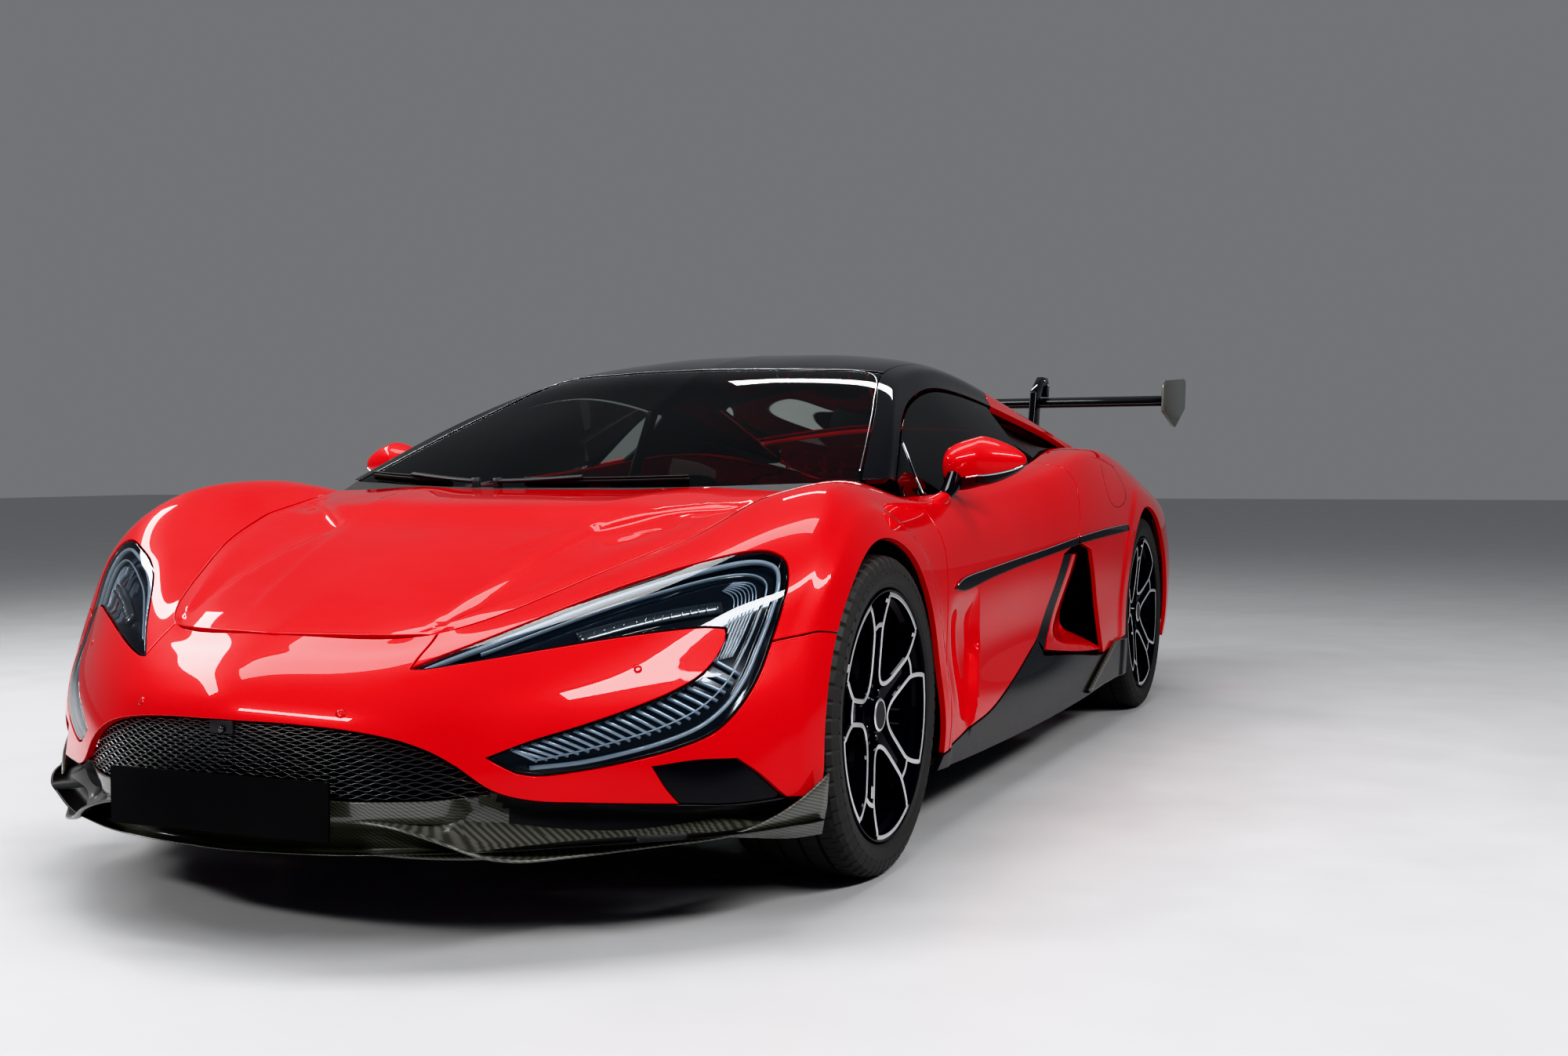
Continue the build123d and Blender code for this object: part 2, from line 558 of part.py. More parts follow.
def make_mirror():
    """Left mirror shell on its stalk."""
    width, height, depth, rim = 98.0, 56.0, 66.0, 10.0
    outer, inner = [], []
    for u in steps(-1, 1, 0.25):
        row = [(v, math.sqrt(max(0.0, (1 - u * u) * (1 - v * v)))) for v in steps(-1, 1, 0.25)]
        lift = 0.55 + 0.45 * math.sqrt(1 - u * u)
        outer.append([at(958 + width * u, -548 + 14 * u - depth * bulge, 938 + height * v * lift) for v, bulge in row])
        inner.append([p + Vector(0, rim + depth * bulge, 0) for p, (v, bulge) in zip(outer[-1], row)])
    stalk = bar((862, -650, 838), (948, -566, 918), 16)
    return thick_grid(outer, inner) + stalk


def hinge_turned(shape_height, radius, along_axis):
    """Cylinder on the left door's hinge axis, its middle along_axis from the hinge centre."""
    axis = Vector(*DOOR_AXIS).normalized()
    centre = Vector(*DOOR_AXIS_POINT) + axis * along_axis
    return Plane(origin=centre, z_dir=axis) * Cylinder(radius, shape_height)


def make_hinge():
    """Left door hinge: the eye and swan-neck arm of the door, and the pin, boss and bracket of the tub."""
    axis = Vector(*DOOR_AXIS).normalized()
    centre = Vector(*DOOR_AXIS_POINT)
    elbow = centre + Vector(-HINGE_REACH, 14, 0)
    eye = hinge_turned(HINGE_EYE, HINGE_RADIUS, 0) + bar(centre, elbow, HINGE_ARM) + Pos(*elbow) * Sphere(HINGE_ARM)
    eye = eye + bar(elbow, elbow + Vector(0, HINGE_SWEEP, 0), HINGE_ARM)
    eye = eye - hinge_turned(HINGE_EYE * 2, HINGE_PIN + HINGE_CLEARANCE, 0)
    boss_at = HINGE_EYE / 2 + RUNNING_GAP + HINGE_BOSS / 2
    foot = centre + axis * (boss_at + 4)
    bracket = hinge_turned(HINGE_BOSS, HINGE_RADIUS, boss_at) + hinge_turned(HINGE_EYE * 2.4, HINGE_PIN, HINGE_EYE * 0.4)
    bracket = bracket + bar(foot, Vector(548, FRONT_BULKHEAD_Y + 3, 660), HINGE_ARM + 1)
    return eye, bracket


# ---- side skirts, quarters and tail ----
def make_sides(door):
    """Quarter panels, skirts and the duct behind the side intake."""
    shell = side_shell(SKIN)
    low_zone = side_prism(SKIRT_TOP, 0, WIDTH)
    clear = door_zone(DOOR_GAP)
    skirt = largest((shell & low_zone) - clear - arch_cut(FRONT_AXLE_Y) - arch_cut(REAR_AXLE_Y))
    seam = block(0, WIDTH, TAIL_SEAM, LENGTH, 0, HEIGHT)
    quarter = shell - low_zone - clear - side_prism(INTAKE_OUTLINE, 0, WIDTH) - arch_cut(REAR_AXLE_Y) - seam
    scoop = skin_panel(scoop_point, [-30, 200, 450, 700, 800], [300, 450, 670], 6) & side_prism(
        [(-40, 330), (800, 250), (700, 690), (200, 690)], 0, WIDTH)
    return {"skirts": both(skirt), "rear_quarters": both(largest(quarter)), "side_scoops": both(largest(scoop - shell - clear))}


def scoop_point(y, z):
    """Duct wall behind the side intake: flush at its front edge and deep at its rear."""
    deep = max(0.0, min(1.0, (y - 20) / 500.0))
    return at(955 - 130 * deep, y, z)


def make_tail():
    """Rear bumper with its lamp panel, and the diffuser under it."""
    half = largest(tail_shell() & block(0, WIDTH, TAIL_SEAM, LENGTH, 0, HEIGHT))
    lamp_band = block(0, WIDTH, 2150, LENGTH, 640, 742)
    lower = block(0, 640, 2150, LENGTH, 0, 470)
    bumper = largest(half - lamp_band - lower)
    lamps = largest(half & lamp_band)
    tail = bumper + right(bumper)
    lamp_bar = lamps + right(lamps)
    floor = [(1890, 118), (1890, 136), (2420, 330), (2438, 330), (2438, 310), (1960, 118)]
    ramp = side_prism(floor, -640, 640)
    fins = [side_prism([(1900, 122), (2420, 300), (2420, 176), (2330, 150), (1960, 118)], x - 4, x + 4)
            for x in (-560, -330, -110, 110, 330, 560)]
    plate = block(-640, 640, 2405, 2438, 320, 470)
    diffuser = ramp + plate
    for fin in fins:
        diffuser = diffuser + fin
    return {"rear_bumper": tail, "tail_lamps": lamp_bar - tail, "diffuser": diffuser - tail}


# ---- wing ----
def make_wing():
    """Wing blade with its end plates, and the two swan necks that carry it."""
    section = [(-0.5, 0.0), (-0.44, 0.5), (-0.2, 0.95), (0.1, 0.85), (0.5, 0.35), (0.5, 0.25), (0.1, 0.05),
               (-0.25, -0.35)]
    points = [(WING_Y + WING_CHORD * y, WING_Z + WING_THICK * z) for y, z in section]
    blade = side_prism_flat(points, -WING_HALF_SPAN, WING_HALF_SPAN)
    plate_outline = [(-160, -112), (70, -120), (152, -40), (130, 70), (-120, 78)]
    plate_points = [(WING_Y + y, WING_Z + z) for y, z in plate_outline]
    plate = side_prism_flat(plate_points, WING_HALF_SPAN, WING_HALF_SPAN + END_PLATE)
    neck_points = [(WING_Y + 40 + y, WING_Z + z) for y, z in NECK_OUTLINE]
    neck = side_prism_flat(neck_points, NECK_X - NECK_WIDTH / 2, NECK_X + NECK_WIDTH / 2)
    wing = blade + plate + right(plate)
    return {"wing": wing, "wing_necks": neck}


NECK_OUTLINE = [(-235, -350), (-150, -350), (-170, -150), (-130, 20), (-70, 78), (-10, 78), (-22, 0), (30, 0),
                (44, 70), (10, 112), (-80, 112), (-180, 30), (-225, -150)]


def side_prism_flat(points, x0, x1):
    """Prism across the car from (y, z) points already at full size."""
    face = Face(Wire.make_polygon([Vector(x0, y, z) for y, z in points], close=True))
    return extrude(face, x1 - x0, dir=(1, 0, 0))


# ---- tub, battery and subframes ----
def make_tub():
    """Carbon tub: floor, sills, bulkheads and the mounts that meet the panels."""
    w = TUB_HALF_WIDTH
    floor = block(-w, w, FRONT_BULKHEAD_Y, REAR_BULKHEAD_Y, FLOOR_Z, FLOOR_Z + FLOOR_THICK)
    sill = block(w - SILL_WIDTH, w, FRONT_BULKHEAD_Y, REAR_BULKHEAD_Y, FLOOR_Z, FLOOR_Z + SILL_HEIGHT)
    front = block(-560, 560, FRONT_BULKHEAD_Y, FRONT_BULKHEAD_Y + BULKHEAD, FLOOR_Z, 780)
    back = block(-780, 780, REAR_BULKHEAD_Y - BULKHEAD, REAR_BULKHEAD_Y, FLOOR_Z, 860)
    tunnel = block(-110, 110, FRONT_BULKHEAD_Y, REAR_BULKHEAD_Y, FLOOR_Z, 330)
    flange = block(w, 972, -930, REAR_BULKHEAD_Y, 168, 186)
    post = bar((700, REAR_BULKHEAD_Y - 20, 840), (590, REAR_BULKHEAD_Y - 20, 1150), 20)
    sides = sill + flange + post
    return floor + sides + right(sides) + front + back + tunnel


def make_battery():
    """Battery pack behind the seats as one plain block."""
    return block(-470, 470, REAR_BULKHEAD_Y, 1060, 150, 560)


def make_front_subframe():
    """Front subframe with the motor housing, crash beam and wishbones."""
    frame = block(-290, 290, -1760, FRONT_BULKHEAD_Y, 150, 420)
    rails = block(200, 260, -2262, -1760, 260, 340)
    beam = block(-430, 430, -2300, -2262, 240, 360)
    crush = block(-200, 200, -2440, -2300, 230, 290)
    frame = frame + rails + right(rails) + beam + crush
    arm_set = front_arms(FRONT_AXLE_Y, FRONT_WHEEL_X, True)
    return frame + arm_set + right(arm_set)


def front_arms(axle_y, wheel_x, turns):
    """Upper and lower wishbones of the left corner, ending in flat eyes on the steering axis."""
    arms = None
    for sign in (-1, 1):
        z = TYRE_RADIUS + sign * ARM_DROP
        root_z = TYRE_RADIUS + (sign * ARM_DROP if sign < 0 else 50)
        root_z = max(root_z, 170)
        meet = Vector(640, axle_y, z)
        for dy in (-150, 150):
            leg = bar((280, axle_y + dy, root_z), meet, ARM_RADIUS)
            arms = leg if arms is None else arms + leg
        link_z = sorted((z + sign * ARM_EYE / 2, z - sign * 3))
        link = block(630, wheel_x, axle_y - 10, axle_y + 10, *link_z)
        eye = Pos(wheel_x, axle_y, z) * Cylinder(16, ARM_EYE)
        pin_low = z - sign * (ARM_EYE / 2)
        pin_high = z - sign * (ARM_EYE / 2 + LUG_THICK + 1)
        pin = block_cylinder(wheel_x, axle_y, pin_low, pin_high, BALL_PIN)
        arms = arms + link + eye + pin
    return arms



def block_cylinder(x, y, z0, z1, radius):
    """Upright cylinder between two heights."""
    return Pos(x, y, (z0 + z1) / 2) * Cylinder(radius, abs(z1 - z0))


def make_rear_subframe():
    """Rear subframe with the two motor housings and wishbones."""
    frame = block(-300, 300, 1060, 1900, 160, 520)
    rails = block(200, 260, 1900, 2405, 330, 400)
    arm_set = front_arms(REAR_AXLE_Y, REAR_WHEEL_X, False)
    return frame + rails + right(rails) + arm_set + right(arm_set)


def make_liners():
    """Wheel-arch liners, half rings above the four tyres."""
    liners = []
    for axle_y, x0, x1 in ((FRONT_AXLE_Y, 600, 960), (REAR_AXLE_Y, 580, 985)):
        ring = axle_cylinder(x0, x1, axle_y, TYRE_RADIUS, ARCH_RADIUS)
        ring = ring - axle_cylinder(x0 - 5, x1 + 5, axle_y, TYRE_RADIUS, ARCH_RADIUS - 4)
        ring = ring - block(0, WIDTH, axle_y - 500, axle_y + 500, -100, 300)
        liners += [ring, right(ring)]
    return liners


# ---- cabin ----
def make_seat():
    """One bucket seat."""
    profile = [(-330, 250), (-330, 330), (-60, 300), (60, 380), (330, 900), (400, 900), (300, 500), (180, 250),
               (180, 137), (-300, 137)]
    body = side_prism(profile, SEAT_X - SEAT_WIDTH / 2, SEAT_X + SEAT_WIDTH / 2)
    return body


def make_dashboard():
    """Dashboard across the cab with the wheel's column."""
    profile = [(FRONT_BULKHEAD_Y + BULKHEAD, 560), (-620, 560), (-560, 640), (-560, 760), (-640, 800),
               (FRONT_BULKHEAD_Y + BULKHEAD, 820)]
    dash = side_prism(profile, -670, 670)
    return dash


def make_steering_wheel():
    """Steering wheel on its column, on the left."""
    centre = Vector(SEAT_X, -430, 690)
    axis = Vector(0, -0.93, -0.37)
    plane = Plane(origin=centre, z_dir=axis)
    ring = plane * Torus(165, 15)
    hub = plane * Cylinder(50, 40)
    spokes = plane * Box(320, 36, 16)
    column = bar(centre, centre + axis * 150, 24)
    return ring + hub + spokes + column


# ---- wheels ----
def make_tyre(width, wheel_x, axle_y):
    """Tyre with rounded shoulders."""
    half = width / 2
    inner, outer = RIM_RADIUS, TYRE_RADIUS
    section = [(inner, -half + 12), (inner + 40, -half), (outer - 16, -half + 4), (outer, -half + 22),
               (outer, half - 22), (outer - 16, half - 4), (inner + 40, half), (inner, half - 12)]
    face = Face(Wire.make_polygon([Vector(x, r, 0) for r, x in section], close=True))
    ring = revolve(face, Axis.X, 360)
    return Pos(wheel_x, axle_y, TYRE_RADIUS) * ring


def make_rim(width, wheel_x, axle_y):
    """Rim with five twin-rail spokes and a bored hub."""
    half = width / 2 - 12
    barrel = axle_cylinder(-half, half, 0, 0, RIM_RADIUS) - axle_cylinder(-WIDTH, WIDTH, 0, 0, RIM_RADIUS - BARREL_WALL)
    hub = axle_cylinder(HUB_BACK, half - 22, 0, 0, HUB_RADIUS)
    rim = barrel + hub
    for i in range(SPOKES):
        for side in (-1, 1):
            rail = Pos(half - 27, side * 26, 149) * Rot(side * -6, 0, 0) * Box(26, 20, 228)
            rim = rim + Rot(95 + 72 * i, 0, 0) * rail
    rim = rim - axle_cylinder(-WIDTH, HUB_BACK + 90, 0, 0, SPINDLE_RADIUS + RUNNING_GAP)
    return Pos(wheel_x, axle_y, TYRE_RADIUS) * rim



def make_disc(wheel_x, axle_y):
    """Brake disc with its bell against the hub's back face."""
    front = HUB_BACK
    disc = axle_cylinder(front - DISC_WIDTH, front, 0, 0, DISC_RADIUS)
    disc = disc - axle_cylinder(front - DISC_WIDTH - 2, front + 1, 0, 0, SPINDLE_RADIUS + RUNNING_GAP)
    return Pos(wheel_x, axle_y, TYRE_RADIUS) * disc


def make_knuckle(wheel_x, axle_y, caliper_side, gap):
    """Upright with spindle, ball-joint lugs (gap is their clearance) and brake caliper."""
    back = HUB_BACK - DISC_WIDTH - 30
    plate_top = ARM_DROP - ARM_EYE / 2 - LUG_THICK / 2
    plate = block(back - 22, back, -45, 45, -plate_top, plate_top)
    spindle = axle_cylinder(back, HUB_BACK + 84, 0, 0, SPINDLE_RADIUS)
    upright = plate + spindle
    for sign in (-1, 1):
        z1 = sign * (ARM_DROP - ARM_EYE / 2 - gap)
        z0 = z1 - sign * LUG_THICK
        lug = block(back - 22, 14, -14, 14, min(z0, z1), max(z0, z1))
        hole = block_cylinder(0, 0, min(z0, z1) - 5, max(z0, z1) + 5, BALL_PIN + gap)
        upright = upright + lug - hole
    front = HUB_BACK
    body = axle_cylinder(front - DISC_WIDTH - 28, front + 30, 0, 0, 246) - axle_cylinder(-500, 500, 0, 0, 128)
    slot = axle_cylinder(front - DISC_WIDTH - SHUT_GAP, front + SHUT_GAP, 0, 0, DISC_RADIUS + SHUT_GAP)
    wedge = block(-500, 500, 60, 300, -110, 110)
    caliper = (body - slot) & (wedge if caliper_side > 0 else Rot(180, 0, 0) * wedge)
    bracket = block(back - 22, front - DISC_WIDTH - 8, 30, 160, -40, 40)
    bracket = bracket if caliper_side > 0 else Rot(180, 0, 0) * bracket
    return Pos(wheel_x, axle_y, TYRE_RADIUS) * (upright + caliper + bracket)


def make_plate():
    """Blank number plate on its bracket."""
    return block(-260, 260, -LENGTH / 2, -LENGTH / 2 + 6, 232, 344) + block(-90, 90, -LENGTH / 2 + 6, -2436, 240, 290)


def main():
    """Builds every piece, trims neighbours to meet face to face and writes one file per node."""
    parts = make_front_end(nose_shell())
    parts.update(make_cab())
    parts["bonnet"] = make_bonnet()
    parts["cowl"] = make_cowl() - parts["front_fenders"] - parts["windscreen"]
    parts["roof"] = parts["roof"] - parts["front_fenders"] - parts["cowl"]
    parts["front_splitter"] = largest(make_splitter(parts.pop("chin")) - parts["front_bumper"])
    parts["number_plate"] = largest(make_plate() - parts["front_bumper"] - parts["front_splitter"])
    glass = parts.pop("glass")
    hinge_eye, hinge_bracket = make_hinge()
    door = make_door(glass)
    mirror_head = largest(make_mirror() - door)
    door = door + hinge_eye
    clear = hinge_turned(HINGE_EYE * 5, HINGE_RADIUS + SHUT_GAP, HINGE_EYE)
    parts["front_fenders"] = parts["front_fenders"] - clear - right(clear)
    parts.update(make_sides(door))
    parts.update(make_tail())
    parts["rear_window"] = parts["rear_window"] - parts["roof"]
    sails = parts["sail_panels"] - parts["rear_quarters"] - parts["roof"] - parts["rear_window"]
    parts["sail_panels"] = Compound(children=solids(sails)[:2])
    deck = make_deck()
    parts.update(make_wing())
    parts["rear_deck"] = largest(deck - parts["rear_bumper"])
    necks = [largest(neck - parts["wing"] - parts["rear_deck"])
             for neck in (parts["wing_necks"], right(parts["wing_necks"]))]
    parts["wing_necks"] = Compound(children=necks)
    left_duct = make_ducts()
    ducts = [largest(duct - parts["rear_quarters"] - parts["sail_panels"] - parts["roof"] - parts["rear_window"]
                     - parts["rear_deck"] - parts["wing_necks"]) for duct in (left_duct, right(left_duct))]
    parts["buttress_ducts"] = Compound(children=ducts)
    parts["floor_tub"] = largest(make_tub() + hinge_bracket + right(hinge_bracket) - parts["roof"] - parts["skirts"] - parts["rear_quarters"]
                                 - parts["front_fenders"] - parts["side_scoops"] - parts["buttress_ducts"])
    parts["battery_block"] = make_battery()
    parts["front_subframe"] = largest(make_front_subframe() - parts["front_bumper"] - parts["front_splitter"]
                                      - parts["number_plate"])
    parts["rear_subframe"] = make_rear_subframe()
    parts["wheel_liners"] = Compound(children=solids(Compound(children=make_liners())))
    parts["dashboard"] = make_dashboard()
    parts["steering_wheel"] = make_steering_wheel() - parts["dashboard"]
    parts["seats"] = both(make_seat())
    for side, turn in (("left", lambda shape: shape), ("right", right)):
        parts["door_" + side] = turn(door)
        parts["door_glass_" + side] = turn(glass)
        parts["mirror_" + side] = turn(mirror_head)
    for end, width, x, y, caliper, gap in (("front", FRONT_TYRE_WIDTH, FRONT_WHEEL_X, FRONT_AXLE_Y, -1, RUNNING_GAP),
                                           ("rear", REAR_TYRE_WIDTH, REAR_WHEEL_X, REAR_AXLE_Y, 1, 0.0)):
        corner = {"tyre": make_tyre(width, x, y), "rim": make_rim(width, x, y), "brake_disc": make_disc(x, y),
                  "knuckle": make_knuckle(x, y, caliper, gap)}
        for name, shape in corner.items():
            parts[f"{name}_{end}_left"] = shape
            parts[f"{name}_{end}_right"] = right(shape)
    os.makedirs("parts", exist_ok=True)
    for name, shape in parts.items():
        shape = shape if len(shape.solids()) > 1 else largest(shape)
        export_step(shape, f"parts/{name}.step")
        print(name, len(shape.solids()), "solids", len(shape.faces()), "faces")


if __name__ == "__main__":
    main()
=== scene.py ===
"""Looks of the electric supercar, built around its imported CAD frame.

Metres, origin on the floor under the middle of the car, nose towards -Y, the car's own left side towards +X.
Each assembly is a class with its sizes as dataclass fields; body skins are panels cut from smooth sheets.
"""

import logging
import math
from dataclasses import dataclass, field
from enum import Enum
from typing import Callable

import bmesh
import bpy
import numpy as np
from mathutils import Matrix, Vector
from mathutils.geometry import delaunay_2d_cdt


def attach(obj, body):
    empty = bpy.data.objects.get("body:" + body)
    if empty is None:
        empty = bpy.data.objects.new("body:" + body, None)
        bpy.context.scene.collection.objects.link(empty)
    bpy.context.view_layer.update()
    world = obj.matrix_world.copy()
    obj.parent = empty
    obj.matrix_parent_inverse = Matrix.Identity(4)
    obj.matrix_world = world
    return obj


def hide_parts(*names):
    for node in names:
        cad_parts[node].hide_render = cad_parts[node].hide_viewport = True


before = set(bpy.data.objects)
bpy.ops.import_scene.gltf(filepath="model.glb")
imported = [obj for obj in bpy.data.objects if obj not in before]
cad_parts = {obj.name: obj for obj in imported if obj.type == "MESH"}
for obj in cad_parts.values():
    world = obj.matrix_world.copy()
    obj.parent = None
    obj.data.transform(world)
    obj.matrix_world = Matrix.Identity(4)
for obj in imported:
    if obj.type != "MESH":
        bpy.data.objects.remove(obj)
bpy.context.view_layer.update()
LOG = logging.getLogger("supercar")


class Side(Enum):
    """Side of the car, as the sign of X."""

    LEFT = 1
    RIGHT = -1


class Body(Enum):
    """Moving bodies of the frame."""

    CAR = "car"
    BONNET = "bonnet"


# Feature lines of the body side, lowest first: station -> (x, y, z) in millimetres.
# Stations run round the car: 0 nose centre, 5 lamp corner, 8 front axle, 10 door front, 13 door rear,
# 16 rear axle, 19 tail corner, 21 tail centre.
BODY_LINES = {
    "hem": {0: (0, -2440, 190), 2: (330, -2400, 200), 4: (700, -2150, 205), 5: (875, -2000, 205),
            6: (965, -1850, 210), 8: (975, -1423, 200), 10: (975, -900, 165), 13: (985, 450, 150),
            15: (990, 1160, 180), 16: (990, 1477, 200), 17: (985, 1850, 230), 18: (960, 2120, 260),
            19: (880, 2330, 290), 20: (520, 2410, 330), 21: (0, 2430, 340)},
    "low": {0: (0, -2465, 300), 2: (330, -2415, 300), 4: (712, -2140, 300), 5: (890, -1985, 300),
            6: (975, -1840, 300), 8: (985, -1423, 300), 10: (985, -900, 290), 13: (985, 450, 270),
            15: (1000, 1160, 300), 16: (1005, 1477, 300), 17: (1000, 1850, 330), 18: (970, 2130, 350),
            19: (885, 2350, 400), 20: (520, 2440, 430), 21: (0, 2455, 440)},
    "mid": {0: (0, -2480, 390), 2: (335, -2405, 390), 4: (715, -2125, 420), 5: (895, -1955, 440),
            6: (980, -1830, 450), 8: (992, -1423, 450), 10: (965, -900, 440), 12: (950, 50, 430),
            13: (975, 450, 430), 15: (1005, 1160, 460), 16: (1013, 1477, 460), 17: (1005, 1850, 480),
            18: (975, 2140, 490), 19: (885, 2362, 520), 20: (520, 2455, 530), 21: (0, 2470, 540)},
    "waist": {0: (0, -2483, 455), 2: (335, -2380, 465), 4: (705, -2085, 520), 5: (880, -1900, 560),
              6: (968, -1805, 590), 8: (992, -1423, 620), 10: (960, -900, 600), 12: (960, 50, 600),
              13: (985, 450, 610), 15: (1008, 1160, 620), 16: (1014.5, 1477, 630), 17: (1000, 1850, 630),
              18: (965, 2140, 630), 19: (875, 2365, 640), 20: (510, 2463, 650), 21: (0, 2483, 660)},
    "shoulder": {0: (0, -2450, 510), 2: (335, -2335, 520), 4: (706, -2015, 620), 5: (862, -1855, 680),
                 6: (946, -1770, 715), 8: (965, -1423, 775), 10: (945, -900, 730), 12: (950, 50, 745),
                 13: (975, 450, 780), 15: (990, 1160, 800), 16: (992, 1477, 795), 17: (975, 1850, 770),
                 18: (935, 2140, 750), 19: (855, 2350, 745), 20: (500, 2445, 760), 21: (0, 2465, 770)},
    "crown": {0: (0, -2400, 550), 2: (332, -2290, 556), 4: (695, -1960, 680), 5: (825, -1795, 768),
              6: (890, -1690, 815), 8: (872, -1423, 885), 9: (855, -1180, 878), 10: (890, -900, 815),
              12: (905, 50, 845), 13: (925, 450, 890), 14: (915, 850, 945), 15: (905, 1160, 955),
              16: (890, 1477, 940), 17: (865, 1850, 890), 18: (840, 2140, 840), 19: (790, 2330, 810),
              20: (480, 2420, 835), 21: (0, 2440, 850)},
    "inner": {0: (0, -2355, 577), 2: (330, -2255, 578), 4: (650, -1900, 720), 5: (720, -1760, 785),
              6: (745, -1650, 835), 8: (752, -1423, 872), 9: (765, -1180, 880), 10: (852, -900, 834),
              12: (868, 50, 878), 13: (865, 450, 918), 14: (845, 850, 970), 15: (830, 1160, 985),
              16: (805, 1477, 965), 17: (780, 1850, 915), 18: (755, 2140, 870), 19: (700, 2310, 845),
              20: (440, 2390, 870), 21: (0, 2405, 880)},
    "edge": {0: (0, -2319, 597), 2: (327, -2228, 597), 4: (520, -1900, 705), 5: (588, -1750, 752),
             6: (630, -1600, 792), 8: (660, -1423, 826), 9: (690, -1180, 862), 10: (818, -900, 840),
             12: (842, 50, 893), 13: (815, 450, 927), 14: (770, 850, 972), 15: (735, 1160, 985),
             16: (700, 1477, 962), 17: (670, 1850, 922), 18: (645, 2140, 887), 19: (600, 2280, 868),
             20: (400, 2350, 888), 21: (0, 2365, 898)},
}

# Feature lines of the cab, from its centre outwards: station -> (x, y, z).
# Stations: 0 screen base, 3 header, 4 roof top, 6 rear window, 9 tail of the buttress.
CAB_LINES = {
    "centre": {0: (0, -1193, 870), 1: (0, -860, 1008), 2: (0, -540, 1134), 3: (0, -297, 1222),
               4: (0, 200, 1295), 5: (0, 600, 1280), 6: (0, 1000, 1228), 7: (0, 1400, 1140),
               8: (0, 1750, 1030), 9: (0, 2050, 932)},
    "quarter": {0: (360, -1150, 872), 1: (335, -835, 1006), 2: (308, -530, 1124), 3: (280, -282, 1217),
                4: (285, 200, 1286), 5: (285, 600, 1270), 6: (285, 1000, 1214), 7: (285, 1400, 1125),
                8: (285, 1750, 1018), 9: (285, 2050, 926)},
    "rail": {0: (765, -1010, 884), 1: (700, -765, 990), 2: (625, -500, 1098), 3: (540, -215, 1203),
             4: (522, 200, 1248), 5: (530, 600, 1222), 6: (560, 1000, 1150), 7: (602, 1370, 1068),
             8: (645, 1740, 990), 9: (680, 2020, 925)},
    "frame": {0: (822, -905, 880), 1: (775, -740, 965), 2: (702, -499, 1063), 3: (650, -246, 1128),
              4: (622, 60, 1166), 5: (628, 460, 1142), 6: (655, 850, 1090), 7: (690, 1240, 1030),
              8: (680, 1650, 968), 9: (662, 1990, 912)},
    "belt": {0: (830, -885, 842), 1: (845, -700, 846), 2: (850, -480, 856), 3: (850, -240, 870),
             4: (842, 60, 893), 5: (816, 460, 927), 6: (770, 850, 971), 7: (728, 1220, 980),
             8: (693, 1560, 955), 9: (664, 1930, 912)},
}
BONNET_CENTRE = {0: (597,), 0.28: (708,), 0.55: (783,), 0.8: (836,), 1: (866,)}
BONNET_RIDGE = 9.0
MM = 0.001
TYRE_RADIUS = 0.363
FRONT_AXLE = (-1.423, TYRE_RADIUS)
REAR_AXLE = (1.477, TYRE_RADIUS)
ARCH_RADIUS = 0.398
FLARE = (0.056, 0.090)
BLADE_Z = (0.200, 0.255, 0.348, 0.444, 0.585, 0.640)
CREASE_Y = (-2.27, -1.978, -1.92, -1.632, -1.564, -1.40)
CREASE_X = (0.12, 0.206, 0.225, 0.310, 0.330, 0.36)
CHANNEL_X = (0.30, 0.333, 0.334, 0.342, 0.42, 0.60)
BLADE_Y = (-0.815, -0.773, -0.699, -0.618, -0.615, -0.615)


def between(p: np.ndarray, q: np.ndarray, tp: float, tq: float, t: float) -> np.ndarray:
    """Straight interpolation from p at tp to q at tq."""
    return p + (q - p) * ((t - tp) / (tq - tp))


def along(keys: dict, t: float) -> np.ndarray:
    """Smooth curve (Catmull-Rom) through sparse keys.

    Args:
        keys: parameter -> point.
        t: where to read the curve.

    Returns:
        The point at t.
    """
    names = sorted(keys)
    t = max(names[0], min(names[-1], t))
    i = max(j for j in range(len(names) - 1) if t >= names[j])
    t1, t2 = names[i], names[i + 1]
    p1, p2 = np.asarray(keys[t1], float), np.asarray(keys[t2], float)
    t0, p0 = (names[i - 1], np.asarray(keys[names[i - 1]], float)) if i > 0 else (2 * t1 - t2, 2 * p1 - p2)
    last = i + 2 < len(names)
    t3, p3 = (names[i + 2], np.asarray(keys[names[i + 2]], float)) if last else (2 * t2 - t1, 2 * p2 - p1)
    a1, a2, a3 = between(p0, p1, t0, t1, t), between(p1, p2, t1, t2, t), between(p2, p3, t2, t3, t)
    return between(between(a1, a2, t0, t2, t), between(a2, a3, t1, t3, t), t1, t2, t)


def ramp(x: np.ndarray, a: float, b: float) -> np.ndarray:
    """Soft step from 0 at a to 1 at b."""
    t = np.clip((x - a) / (b - a), 0.0, 1.0)
    return t * t * (3.0 - 2.0 * t)


def soften(grid: np.ndarray, sigma: float, axis: int) -> np.ndarray:
    """Fairs a grid of points along one axis and keeps its two ends in place.

    Args:
        grid: points, rows x columns x 3.
        sigma: width of the Gaussian in cells.
        axis: 0 or 1.

    Returns:
        The faired grid.
    """
    if sigma <= 0:
        return grid
    g = np.moveaxis(grid, axis, 0)
    n = min(len(g) - 1, int(math.ceil(3 * sigma)))
    front = 2 * g[:1] - g[n:0:-1]
    back = 2 * g[-1:] - g[-2:-n - 2:-1]
    padded = np.concatenate([front, g, back])
    weights = np.exp(-0.5 * (np.arange(-n, n + 1) / sigma) ** 2)
    weights /= weights.sum()
    out = sum(w * padded[i:i + len(g)] for i, w in enumerate(weights))
    return np.moveaxis(out, 0, axis)


